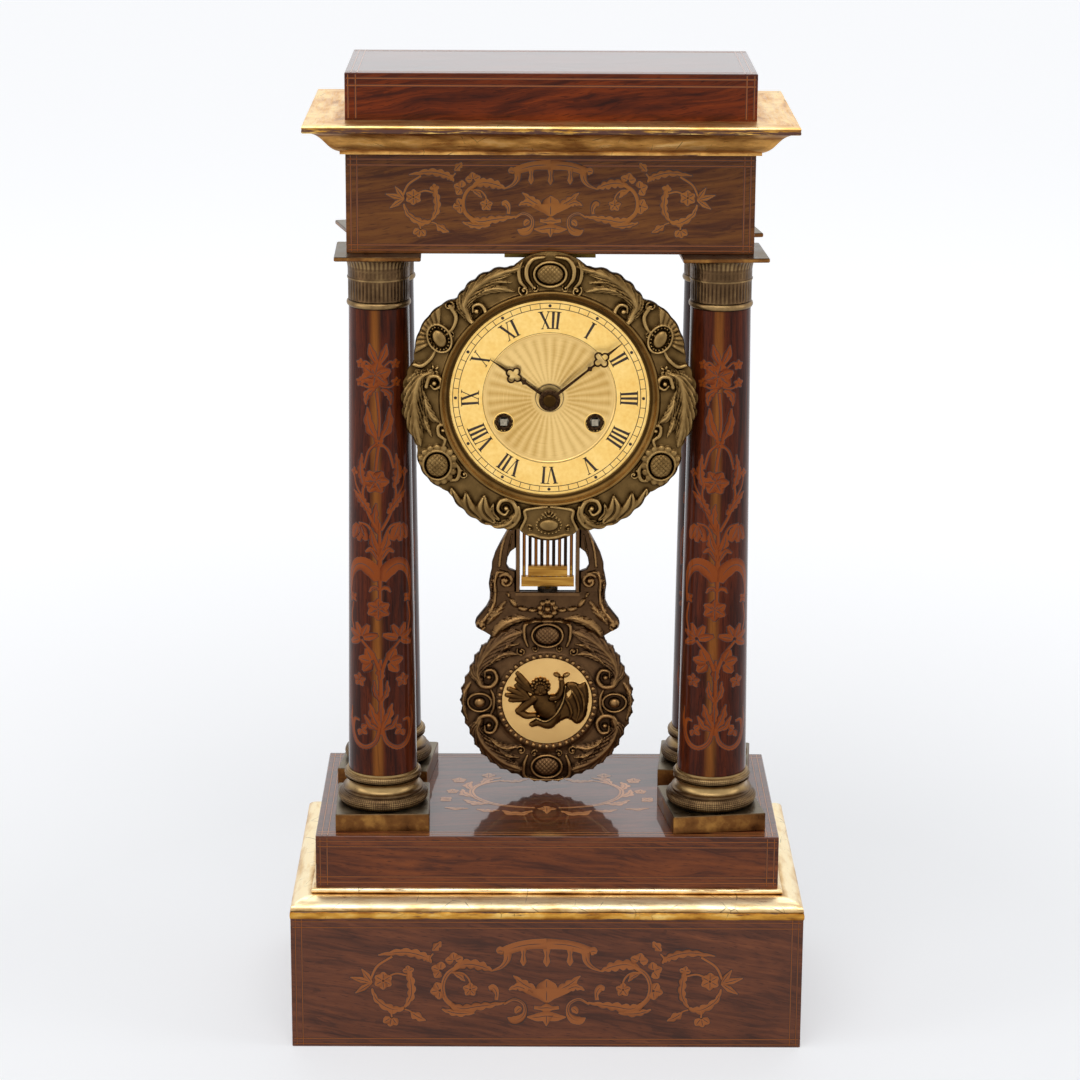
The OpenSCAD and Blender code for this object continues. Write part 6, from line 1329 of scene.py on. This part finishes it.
# Flat plates with side walls on the dial, from four-cornered outlines (n, 4, 2: clock angle, radius).
def inkPlates(quads, mat):
    quads = np.asarray(quads, float)
    x, z = quads[..., 1] * np.sin(quads[..., 0]), quads[..., 1] * np.cos(quads[..., 0])
    area = (x * np.roll(z, -1, 1) - np.roll(x, -1, 1) * z).sum(1)
    quads = np.where((area < 0)[:, None, None], quads[:, ::-1], quads)
    layers = [dialPlace(quads[..., 0], quads[..., 1], lift) for lift in (ink, sunk)]
    v = np.concatenate(layers, 1).reshape(-1, 3)
    start = np.arange(len(quads))[:, None] * 8
    walls = [start + np.array([[(k + 1) % 4, k, 4 + k, 4 + (k + 1) % 4]]) for k in range(4)]
    faces = np.concatenate([start + np.arange(4)[None]] + walls)
    return {"v": v, "f": [faces], "uv": np.zeros((len(v), 2)), "mat": mat}


# sunburst: a triangle wave round the centre, its edges swaying a little with the radius
rowsIn = np.concatenate([np.linspace(dial["bore"], 31.4, 58), [31.6, 31.75, 31.95, dial["centre"]]])
turnA = np.linspace(0, tau, 721)[:, None]
ray = 2 * np.abs((turnA * dial["rays"] / tau + 0.03 * np.sin(rowsIn * 0.5)) % 1 - 0.5)
burst = 0.11 * ray * np.interp(rowsIn, [0, 8.2, 10.5, 30.0, 31.2, 40], [0, 0, 1, 1, 0, 0])
ringLift = np.interp(rowsIn, [0, 7.0, 7.3, 7.7, 8.0, 31.5, 31.6, 31.75, 31.95, 32.1],
                     [-0.05, -0.05, 0.12, 0.12, -0.05, -0.05, 0.0, 0.14, 0.14, 0.0])
plain = np.interp(rowsIn, [0, 8, 9.5, 29, 31, 40], [0, 0, 1, 1, 0, 0])
# painted reflection: alternate rays pale and dark, and a broad brighter lobe on two opposite sides, as the
# engine turning would catch the light
rayReflection = 0.58 + plain * (0.30 * ray + 0.10 * np.cos(2 * (turnA + 0.45)) - 0.22)
centre = sheet(dialPlace(turnA, rowsIn, burst + ringLift), grid(turnA[:, 0] / tau, rowsIn))
rowsOut = np.concatenate([[dial["centre"], 32.4], np.linspace(33, dial["edge"], 12)])
rowsBack = np.concatenate([[dial["edge"]], np.linspace(dial["edge"], dial["bore"], 40), [dial["bore"]]])
backLift = np.full(len(rowsBack), -dial["thick"])
backLift[[0, -1]] = 0.0, -0.05
dialParts = [pierce(dict(centre, mat=1, attr={"ray": rayReflection.ravel()})),
             pierce(sheet(dialPlace(turnA, rowsOut, 0.0))),
             pierce(sheet(dialPlace(turnA, rowsBack, backLift)))]
hole = dial["hole"]
for at in dial["holeAt"]:   # a gilt lip, and a dark tube with a washer that stands in for the shade inside the hole
    dialParts.append(dialRing([(5.1, -0.05), (5.1, 0.12), (4.9, 0.22), (4.65, 0.22)], at, 72, 0))
    dialParts.append(dialRing([(4.65, 0.22), (hole, 0.08), (hole, -1.5), (2.6, -1.5)], at, 72, 3))
# minute track: two circles, a stroke each minute, a dot each hour; thin circles round centre and hub
inner, outer = dial["track"]
for r, w in ((inner, 0.17), (outer, 0.17), (32.35, 0.1), (6.7, 0.13)):
    dialParts.append(dialRing([(r - w, sunk), (r - w, ink), (r + w, ink), (r + w, sunk)], n=240, mat=2))
minutes = [(k * tau / 60, dial["minuteHalf"]) for k in range(60) if k % 5]
marks = [[(a - w, inner), (a + w, inner), (a + w, outer), (a - w, outer)] for a, w in minutes]
dot = [(0.78, sunk), (0.78, ink), (0.55, ink + 0.02), (0.01, ink + 0.02)]
for a in np.arange(12) * tau / 12:
    spot = (dial["dots"] * math.sin(a), dial["dots"] * math.cos(a))
    dialParts.append(dialRing(dot, spot, 16, 2))
# Roman numerals: thick and thin strokes with hairline serifs, feet to the centre. Each letter has its width
# and its strokes as head, foot and thickness (mm across); v runs from foot 0 to head 1.
letters = {"I": (2.3, [(0, 0, 1.22)]), "V": (5.3, [(-1.75, 0.0, 1.22), (1.75, 0.1, 0.42)]),
           "X": (5.4, [(-1.8, 1.8, 1.22), (1.8, -1.8, 0.42)])}
serif = {"over": 0.55, "high": 0.045}
footR, headR = dial["numeral"]
midR = (footR + headR) / 2
for k, word in enumerate(("XII", "I", "II", "III", "IIII", "V", "VI", "VII", "VIII", "IX", "X", "XI")):
    u = -sum(letters[c][0] for c in word) / 2
    for c in word:
        step, strokes = letters[c]
        u += step / 2
        for upper, lower, w in strokes:
            peak, toe = upper + u, lower + u
            quads = [[(toe - w / 2, 0), (toe + w / 2, 0), (peak + w / 2, 1), (peak - w / 2, 1)]]
            for e, v in ((toe, 0.0), (peak, 1 - serif["high"])):
                if c != "V" or w > 0.5 or v:   # the thin stroke of V has no serif at its foot
                    out = w / 2 + serif["over"]
                    v1 = v + serif["high"]
                    quads.append([(e - out, v), (e + out, v), (e + out, v1), (e - out, v1)])
            for quad in quads:
                marks.append([(k * tau / 12 + p / midR, footR + (headR - footR) * v) for p, v in quad])
        u += step / 2
dialParts.append(inkPlates(marks, 2))
assemble("giltDial", dialParts, [dialGilt, turned, waxBlack, handBronze], replaces=("dial",), sharp=30)


# A flat bar along a path (n, 2) between two depths: half-widths along it, and a bevel on its front edges.
def flatBar(path, half, yBack, yFront, place=lambda p: p, loop=False, bevel=0.35):
    side = sideways(path, loop)[0]
    half = np.broadcast_to(half, len(path))
    across = np.array([-1, -1, -(1 - bevel), 1 - bevel, 1, 1, -1])
    cut = (yFront - yBack) * 0.4
    depth = np.array([yBack, yFront - cut, yFront, yFront, yFront - cut, yBack, yBack])
    xz = place(path[:, None, :] + side[:, None, :] * (across * half[:, None])[..., None])
    pts = np.stack([xz[..., 0], np.broadcast_to(depth, xz.shape[:2]), xz[..., 1]], -1)
    if loop:
        return [sheet(closed(pts))]
    return [sheet(pts)] + [capFace(pts[k, :-1], (0, 2), flip=k == 0) for k in (0, -1)]


hands = {"hour": {"angle": 304.25, "front": -48.6, "back": -48.0, "knop": 14.9, "eye": 20.9, "tip": 34.2,
                  "boss": 5.0, "wide": 0.62},
         "minute": {"angle": 51.0, "front": -51.0, "back": -50.4, "knop": 24.8, "eye": 31.9, "tip": 44.6,
                    "boss": 5.2, "wide": 0.58}}
quatrefoil = {"reach": 2.25, "lobe": 1.68, "wire": 0.42, "size": 3.5}


# A pierced hand: a tapering shank with a knop, a quatrefoil of four lobes about one opening, and a tip.
def clockHand(kind, h):
    a = math.radians(h["angle"])
    co, si = math.cos(a), math.sin(a)
    yBack, yFront, boss = h["back"], h["front"], h["boss"]

    def place(p):   # across and along the hand, to x and z
        return np.stack([p[..., 0] * co + p[..., 1] * si, dial["z"] - p[..., 0] * si + p[..., 1] * co], -1)

    r = np.linspace(3.0, h["eye"] - quatrefoil["size"], 60)
    w = h["wide"] * np.interp(r, [3, h["knop"]], [1.35, 0.85])
    w = w + 0.85 * np.exp(-((r - h["knop"]) / 0.75) ** 2) + 0.4 * np.exp(-((r - r[-1]) / 0.8) ** 2)
    parts = flatBar(np.column_stack([0 * r, r]), w, yBack, yFront, place)
    f = np.linspace(0, tau, 129)[:-1]
    lobe = (f + math.pi / 4) % (math.pi / 2) - math.pi / 4
    reach = quatrefoil["reach"]
    rho = reach * np.cos(lobe) + np.sqrt(quatrefoil["lobe"] ** 2 - (reach * np.sin(lobe)) ** 2)
    eye = np.column_stack([rho * np.sin(f), h["eye"] + rho * np.cos(f)])
    parts += flatBar(eye, quatrefoil["wire"], yBack, yFront, place, loop=True)
    r = np.linspace(h["eye"] + quatrefoil["size"], h["tip"], 24)
    w = np.interp(r, [r[0], r[0] + 1.2, r[-1]], [1.0, 0.62, 0.16])
    parts += flatBar(np.column_stack([0 * r, r]), w, yBack, yFront, place)
    low, up = dial["front"] - yBack, dial["front"] - yFront
    ring = [(2.6, low), (boss, low), (boss, up), (boss - 0.35, up + 0.3), (2.6, up + 0.35), (2.6, low)]
    if kind == "minute":   # collet and a domed cap over the boss
        ring = [(2.2, low), (boss, low), (boss, up + 0.3), (boss - 0.5, up + 0.75), (3.3, up + 0.8)]
        dome = [(3.1 * math.cos(t), up + 1.2 + math.sin(t)) for t in np.linspace(0.15, 1.45, 8)]
        cap = [(3.3, up + 0.8), (3.2, up + 1.2)] + dome + [(0.02, up + 2.2)]
        parts.append(dialRing(cap[::-1], n=64, mat=1))
    parts.append(dialRing(ring[::-1], n=64))
    assemble(f"{kind}HandPierced", parts, [handBronze, coveBrass], body=f"{kind}_hand",
             replaces=(f"{kind}_hand",), sharp=30, recalc=True)


for kind, h in hands.items():
    clockHand(kind, h)
print("dial and hands ready")

# Suspension spring: a steel strip from the cock's chop down to the pendulum's, built as one rigid piece;
# the real spring bends at the pivot.
spring = {"y": 12.0, "strip": (0.1, 1.95), "stripZ": (361.1, 369.6), "chop": (1.15, 1.95),
          "chopZ": (368.8, 373.3), "edge": 0.3, "pinR": 0.6, "pinHalf": 3.5, "pinZ": 372.8}


# A rectangular bar standing up: its four edges carried along z, with a face at each end.
def uprightBar(half, levels, mat):
    hx, hy = half
    ring = [(hx, -hy), (hx, hy), (-hx, hy), (-hx, -hy), (hx, -hy)]
    pts = np.stack([np.column_stack(np.broadcast_arrays(x, y + spring["y"], levels)) for x, y in ring])
    return [dict(p, mat=mat) for p in [sheet(pts)] + [capFace(pts[:-1, k], flip=k == 0) for k in (0, -1)]]


z0, z1 = spring["chopZ"]
springParts = uprightBar(spring["strip"], np.linspace(*spring["stripZ"], 30), 0)
springParts += uprightBar(spring["chop"], np.array([z0, z0 + spring["edge"], z1 - spring["edge"], z1]), 1)
pin = bow((spring["y"], spring["pinZ"]), spring["pinR"], spring["pinR"], 0, 360, 16)
pin = np.stack([np.column_stack([np.full(len(pin), s * spring["pinHalf"]), pin]) for s in (-1, 1)], 1)
springParts += [sheet(pin)] + [capFace(pin[:-1, k], (1, 2), flip=k == 1) for k in (0, 1)]
suspension = assemble("suspensionSpringStrip", springParts, [brightSteel, wheelBrass], body=None,
                      replaces=("suspension_spring",), recalc=True)
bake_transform(suspension)
print("suspension ready")

# pendulum bob, medallion and lyre
bob = {"z": 155.8, "back": 10.4, "radius": 44.8, "ring": 25.9, "seat": 23.2, "disc": 23.0, "discFront": 7.4,
       "discThick": 1.0, "beads": 44, "beadAt": 24.5, "bead": 1.3, "beadLift": 3.6, "highest": 5.8,
       "cells": (900, 54)}
ba = np.linspace(0, tau, bob["cells"][0] + 1)[:, None]
# rim: eight broad lobes, a scallop of 44 and a finer ripple on it
rim = bob["radius"] - 1.1 * np.abs(np.sin(4 * ba)) ** 4 - 0.95 * np.abs(np.sin(22 * ba)) ** 1.5
rim = rim - 0.3 * np.sin(66 * ba) ** 2 * np.abs(np.cos(4 * ba))
q = np.linspace(0, 1, bob["cells"][1])
rb = bob["ring"] + (rim - bob["ring"]) * q
bx, bz = rb * np.sin(ba), rb * np.cos(ba)
art = Relief(bx, bz)
for s in (1, -1):
    # leaf scroll from the middle round the outside, and its volute, with inner sprays
    wide = ([1.6, 4.2, 5.4, 5.6, 4.6, 1.2], [1.8, 4.6, 5.8, 6, 5.2, 1.4])
    art.frond([(33.8, s * 9.6), (35.8, s * 15.6), (33.4, s * 22.4), (28, s * 28.8), (21, s * 34.0),
               (12.6, s * 37.4)], wide[s < 0], wide[s > 0], [2.1, 2.4, 2.4, 2.3, 2, 1.3], 8)
    art.cord([(35.8, s * 12.0), (33.6, s * 8.4), (28.6, s * 8.0), (25.8, s * 12.0), (27.6, s * 16.6),
              (31.4, s * 16.4), (32, s * 13.2)], [1.5, 1.5, 1.4, 1.2, 1, 0.7], [2.3, 2.5, 2.5, 2.4, 2.3, 2])
    art.dome((29.8, s * 13.0), (1.5, 1.5), 2.8)
    art.frond([(29.4, s * 20.0), (25.6, s * 23.6), (20.8, s * 25.6), (15, s * 25.0)], [0.9, 2.3, 2.4, 0.6],
              [0.9, 2.3, 2.4, 0.6], [1.7, 2.2, 2, 1], 5)
    art.frond([(25.4, s * 25.6), (20.6, s * 29.4), (14.4, s * 30.8)], [0.7, 1.8, 0.5], [0.7, 1.8, 0.5],
              [1.5, 2.1, 1], 4)
    art.volute((13.2, s * 26.8), 2.4, 1.6, 30, -s, h=1.7)
    # lattice oval in a square-shouldered frame
    art.cord([(0, s * 43.0), (7, s * 42.8), (11.4, s * 40.6), (11.6, s * 34.4), (10, s * 29.6)],
             [0.9, 1, 1.1, 1.1, 0.8], [1.7, 1.9, 2, 2, 1.5])
    art.sink((0, s * 35.4), (8.6, 6.6), 0.25)
    art.dome((0, s * 35.4), (6.2, 4.8), 2.4, lattice=2.3, base=0.8)
    art.ring((0, s * 35.4), (7.8, 6.1), 0.85, 2.1)
    art.volute((6.4, s * 28.4), 1.9, 1.5, 140, s, h=1.6)
# side boss in its oval, with a leaf fringe along the rim
art.sink((34.6, -0.6), (6.8, 5.6), 0.3)
art.ring((34.6, -0.6), (6, 4.8), 0.8, 2)
art.dome((34.6, -0.6), (2.9, 2.7), 3, base=0.4)
art.cord([(29, 6.4), (27.4, 2), (27.6, -4), (29.4, -8)], [0.7, 1, 1, 0.7], [1.2, 1.7, 1.7, 1.2])
art.frond([(39.4, 9.6), (42.4, 4), (42.8, -3), (41, -10)], [0.7, 1.6, 1.6, 0.7], [0.7, 1.8, 1.8, 0.7],
          [1, 1.8, 1.8, 1], 8)


# Places on the bob: x and z about its centre, h forward of its back.
def bobPlace(x, z, h):
    return facing(x, z, h, bob["back"], bob["z"])


lift = art.heights()
ground = np.interp(rb, [25.9, 26.8, 28.5, 36, 41, 43.2, 44.8], [3.4, 2.9, 2.6, 3.0, 2.7, 2.4, 2.0])
high = chasedFront(ground, lift, q, (0.04, 0.03), 0.07 * uneven(bx, bz, 2.1, 1.8, 5, n=9))
high = np.minimum(high, bob["highest"])
# painted shade of the relief: darker in its hollows, lighter on its crests
parts = [toned(sheet(bobPlace(bx, bz, high)), cavityShade(lift, (5, 5), 0.34))]
seat = bob["seat"]
rows = ((rim, high[:, -1:]), (rim, 0.3), (rim - 0.3, 0), (seat, 0), (seat, 3.0), (seat + 0.4, 3.4),
        (bob["ring"], 3.4))
r, h = [np.concatenate([np.broadcast_to(row[k], ba.shape) for row in rows], 1) for k in (0, 1)]
parts.append(toned(sheet(bobPlace(r * np.sin(ba), r * np.cos(ba), h)), 0.4))
# bead ring: each bead is a turned half-round, painted lighter towards its top as a highlight
bead = bow((0, 0), bob["bead"], bob["bead"], math.degrees(-0.9), 90, 8)
spin = np.linspace(0, tau, 15)[:, None]
beadHighlight = np.tile(0.45 + 0.4 * bead[:, 1] / bob["bead"], len(spin))
for a in np.arange(bob["beads"]) * tau / bob["beads"]:
    x = bob["beadAt"] * math.sin(a) + bead[:, 0] * np.sin(spin)
    z = bob["beadAt"] * math.cos(a) + bead[:, 0] * np.cos(spin)
    parts.append(toned(sheet(bobPlace(x, z, bob["beadLift"] + bead[:, 1])), beadHighlight))
assemble("chasedBob", parts, [bobBronze], body="bob", replaces=("bob",), sharp=70)

# Medallion: pale brass disc with a dark winged child in low relief, seated, one arm raised with a scarf
mr = np.linspace(0.02, bob["disc"], 100)
ma = np.linspace(0, tau, 541)[:, None]
mx, mz = mr * np.sin(ma), mr * np.cos(ma)
art = Relief(mx, mz, mirror=False)
# drapery streaming to the right, wings behind, then the body over them
art.area([(6, 2), (9.6, 9.6), (13.4, 10.6), (16.6, 9.4), (19.6, 10.4), (21.2, 5), (21, -2), (19.6, -8.6),
          (15.6, -12.2), (10.4, -9.4), (5, -11.6), (1, -8)], 1.5, 1.6)
for fold in ([(10.6, 8.8), (14.4, 3), (16.4, -4), (15.2, -10.6)],
             [(14.6, 9.2), (17.8, 4), (19, -2), (18.2, -8)],
             [(8, 3.6), (11, -1), (12.6, -6), (11.6, -9.2)]):
    art.cord(fold, [0.6, 1.1, 1.1, 0.6], [1.8, 2.3, 2.3, 1.7])
art.area([(9.6, 4.2), (12.2, 6.6), (12.6, 4), (10.8, 1.6)], 0)
for root, tips in (((-7, 4.6), ((-15, 14.8), (-15.4, 11.8), (-14.6, 9.2))),
                   ((-8.8, 1.6), ((-15.6, 8.2), (-19.4, 6.6), (-20.4, 3.2), (-18.6, 0.4)))):
    for tip in tips:   # feathers fan from the shoulder
        mid = np.add(root, tip) / 2
        art.cord([root, mid, tip], [0.9, 1.75, 1.25], [1.9, 1.8, 1.3], power=0.35)
# trunk
art.cord([(-3.4, 2.2), (-2, -1.4), (0.6, -5), (3.4, -8)], [4.4, 5.4, 5.6, 4.6], [2.2, 2.7, 2.7, 2.2],
         power=0.6)
art.cord([(-6.4, 1.6), (-10.6, -1.8), (-14.4, -5.4)], [2.3, 2.3, 1.9], [2.6, 2.7, 2.3])   # left arm
art.cord([(-14.4, -5.4), (-10.6, -7.8), (-6.2, -7.6)], [2, 1.9, 1.5], [2.3, 2.5, 2.3])
# raised arm
art.cord([(2.2, 1.6), (5.6, 2.6), (7.6, 6.4), (7.4, 10.8)], [2.1, 2, 1.7, 1.3], [2.8, 2.8, 2.6, 2.1])
art.dome((7.2, 12), (1.5, 1.5), 2.3)
for e in (-1, 1):   # knotted ribbon in the hand
    art.dome((7.4 + 2.4 * e, 14.2), (1.9, 1.3), 1.8, tilt=e * 30)
# leg
art.cord([(4.6, -7), (1.2, -12.2), (-4, -11.4), (-7.6, -12.6)], [3, 2.8, 2.2, 1.5], [2.6, 2.5, 2.2, 1.7])
# sash
art.cord([(9.4, 8.4), (8.2, 0.6), (4.6, -6.4), (-0.6, -10.2), (-5.6, -8.6)], [0.6, 0.8, 0.9, 0.8, 0.6],
         [2.6, 3, 3.3, 3.2, 2.6])
art.dome((-3.4, 7.2), (4.3, 4.7), 3.1, base=0.9)   # head
for k in range(17):   # curls over the crown, in two rows
    f = math.radians(-105 + 26.2 * (k % 9) + 13 * (k // 9))
    reach = (4.1, 2.7)[k // 9]
    art.dome((-3.4 + reach * math.sin(f), 7.8 + reach * math.cos(f)), (1.25, 1.25), (2.5, 3.4)[k // 9])
art.dome((-3.4, 6.3), (0.6, 1.1), 3.45, base=2.9)   # nose
for e in (-1, 1):   # cheeks and brows
    art.dome((-3.4 + 1.7 * e, 5.5), (1.3, 1.1), 3.05, base=2.5)
    art.cord([(-3.4 + 0.6 * e, 8.2), (-3.4 + 1.6 * e, 8.5), (-3.4 + 2.5 * e, 8)], 0.35, 3.3)
art.cord([(-4.2, 4.5), (-3.4, 4.35), (-2.6, 4.5)], 0.32, 3.15)


# The same on the medallion, from its front.
def discPlace(x, z, h):
    return facing(x, z, h, bob["discFront"], bob["z"])


figure = art.heights()
# the figure darker than the disc, with painted shade on it: darker in its hollows, lighter on its crests
shade = np.where(figure > 0.12, np.clip(cavityShade(figure, (3, 3), 0.5) - 0.14, 0, 0.75), 1.0)
disc = toned(sheet(discPlace(mx, mz, figure * 0.95)), shade)
r, h = np.array([(bob["disc"], 0), (bob["disc"], -bob["discThick"]), (0.02, -bob["discThick"])]).T
edge = toned(sheet(discPlace(r * np.sin(ma), r * np.cos(ma), h)), 0.8)
assemble("reliefMedallion", [disc, edge], [medalBrass], body="bob", replaces=("medallion",), sharp=60)
print("bob ready")

# Lyre: two S-shaped arms with a stile inside each, and a body with a rosette; z is over the bob's centre
lyre = {"front": 10.4, "back": 12.8, "frameFront": 8.6, "foot": 30.0, "waist": 57.9, "arms": (58.0, 118.8),
        "top": 124.0, "topX": (17.4, 5), "stileX": 15.2, "stileHalf": 1.1, "railX": 16.3, "railZ": 56.75,
        "railHalf": 1.15}
armOuter = [(30, 28.6), (34.4, 29.2), (37.1, 33.4), (38.8, 36.4), (41, 37), (43.2, 36.4), (46.5, 33.8),
            (49.8, 31.2), (53.1, 29.6), (57.5, 29.4), (61.9, 30), (66.3, 29.3), (69.7, 28.5), (73, 28.4),
            (78.5, 26.7), (84, 24), (89.5, 21), (99, 18.6), (110, 17.6), (119, 17.4)]   # z and x
armInner = [(58, 16.3), (68.6, 16.3), (69.8, 19.6), (72, 20.9), (76, 20.3), (79, 18.9), (81, 16.3),
            (119, 16.3)]


# The lyre's ornament: scrolls along the arms, rosette and husks on the body, leaves at the foot.
def lyreRelief(x, z):
    art = Relief(x, z)
    art.cord([(16.9, 117), (17.3, 106), (19, 95), (21.6, 87.6), (23.6, 80), (24.6, 71.6)],
             [0.5, 0.7, 0.8, 0.8], [0.8, 1.2, 1.4, 1.3])
    art.cord([(20.6, 68), (25, 68.4), (26.8, 63.6), (26.6, 56.8), (27.6, 50.4), (31, 44.6), (34.4, 40.4)],
             [0.7, 0.9, 1, 0.9], [1.2, 1.6, 1.7, 1.3])
    # beaded margin
    for bx, bz in smooth([(28.3, 66.6), (28.5, 61), (28.7, 56), (30.2, 50.6)], 14):
        art.dome((bx, bz), (0.5, 0.5), 1.1)
    art.volute((21.4, 63.6), 3.9, 1.7, 40, 1, h=1.4)
    art.volute((33.6, 39.6), 2.8, 1.6, 60, -1, h=1.3)
    art.cord([(19.2, 70), (20.2, 75), (19.4, 82), (18.2, 88)], 0.4, 0.9)
    for k in range(9):   # rosette
        a = k * tau / 9
        art.dome((abs(3.9 * math.sin(a)), 48.8 + 3.9 * math.cos(a)), (1.5, 1.5), 1.9)
    art.dome((0, 48.8), (1.7, 1.7), 2.3)
    for (bx, bz), (long, wide), turn in (((7.6, 48.3), (2.3, 1.25), 4), ((12.6, 49), (2.6, 1.4), 14),
                                         ((17.4, 52.2), (2.9, 1.3), 56), ((19.9, 56.2), (1.6, 0.8), 66)):
        art.dome((bx, bz), (long, wide), 1.9, tilt=turn)   # husks of the swag
    art.frond([(9, 43.6), (15, 43.6), (21.5, 41), (26, 37), (27.8, 33.2)], [0.9, 2.6, 3, 2.4, 0.9],
              [0.9, 2.4, 2.8, 2.2, 0.9], [0.9, 1.5, 1.7, 1.4, 0.8], 7)
    art.frond([(21.5, 53), (24.4, 48.8), (27.4, 45), (30.6, 41.2)], [0.9, 2, 2, 0.9], [0.9, 2, 2, 0.9],
              [0.9, 1.4, 1.5, 0.8], 6)
    return art.heights()


# One strip between two edges given along z: front heights from the relief, a flat back, closed round.
def lyreStrip(zs, inner, outer, n):
    t = np.linspace(0, 1, n)
    x = inner[:, None] + (outer - inner)[:, None] * t
    z = np.broadcast_to(zs[:, None], x.shape)
    ridge = lyreRelief(x, z)
    rim = np.clip(np.minimum(t, 1 - t) * np.abs(outer - inner)[:, None] / 0.7, 0, 1) ** 0.5
    front = facing(x, z, 0.2 + (0.9 + ridge) * rim, lyre["front"], bob["z"])
    back = facing(x[:, ::-1], z, 0, lyre["back"], bob["z"])
    loop = np.concatenate([front, back, front[:, :1]], 1)
    # painted shade: darker towards the strip's rounded edges and low between the ridges, lighter on the
    # ridges
    shade = np.clip(0.36 + 0.36 * ridge, 0, 1) * (0.55 + 0.45 * rim)
    shade = np.concatenate([shade, 0 * shade + 0.35, shade[:, :1]], 1)
    return [toned(sheet(loop), shade)] + [toned(capFace(loop[k, :-1], (0, 2)), 0.35) for k in (0, -1)]


def lyreBar(x, z, half, tone):   # a plain bar of the frame inside the arms
    path = np.column_stack(np.broadcast_arrays(x, z + bob["z"]))
    return [toned(p, tone) for p in flatBar(path, half, lyre["back"], lyre["frameFront"])]


lyreParts = []
armRows = np.linspace(*lyre["arms"], 130)
bodyRows = np.linspace(lyre["foot"], lyre["waist"], 70)
crownRows = np.linspace(lyre["arms"][1], lyre["top"], 8)
for s in (1, -1):
    edges = [s * np.interp(armRows, *np.transpose(e)) for e in (armInner, armOuter)]
    lyreParts += lyreStrip(armRows, *edges, 26)
    lyreParts += lyreBar(s * lyre["stileX"], np.linspace(*lyre["arms"], 8), lyre["stileHalf"], 0.5)
bodyEdge = np.interp(bodyRows, *np.transpose(armOuter))
lyreParts += lyreStrip(bodyRows, -bodyEdge, bodyEdge, 96)
crownEdge = np.interp(crownRows, [lyre["arms"][1], lyre["top"]], lyre["topX"])
lyreParts += lyreStrip(crownRows, -crownEdge, crownEdge, 20)
lyreParts += lyreBar(np.linspace(-lyre["railX"], lyre["railX"], 12), lyre["railZ"], lyre["railHalf"], 0.52)
assemble("chasedLyre", lyreParts, [bobBronze], body="bob", replaces=("lyre",), sharp=50, recalc=True)
print("lyre ready")

print("finished")
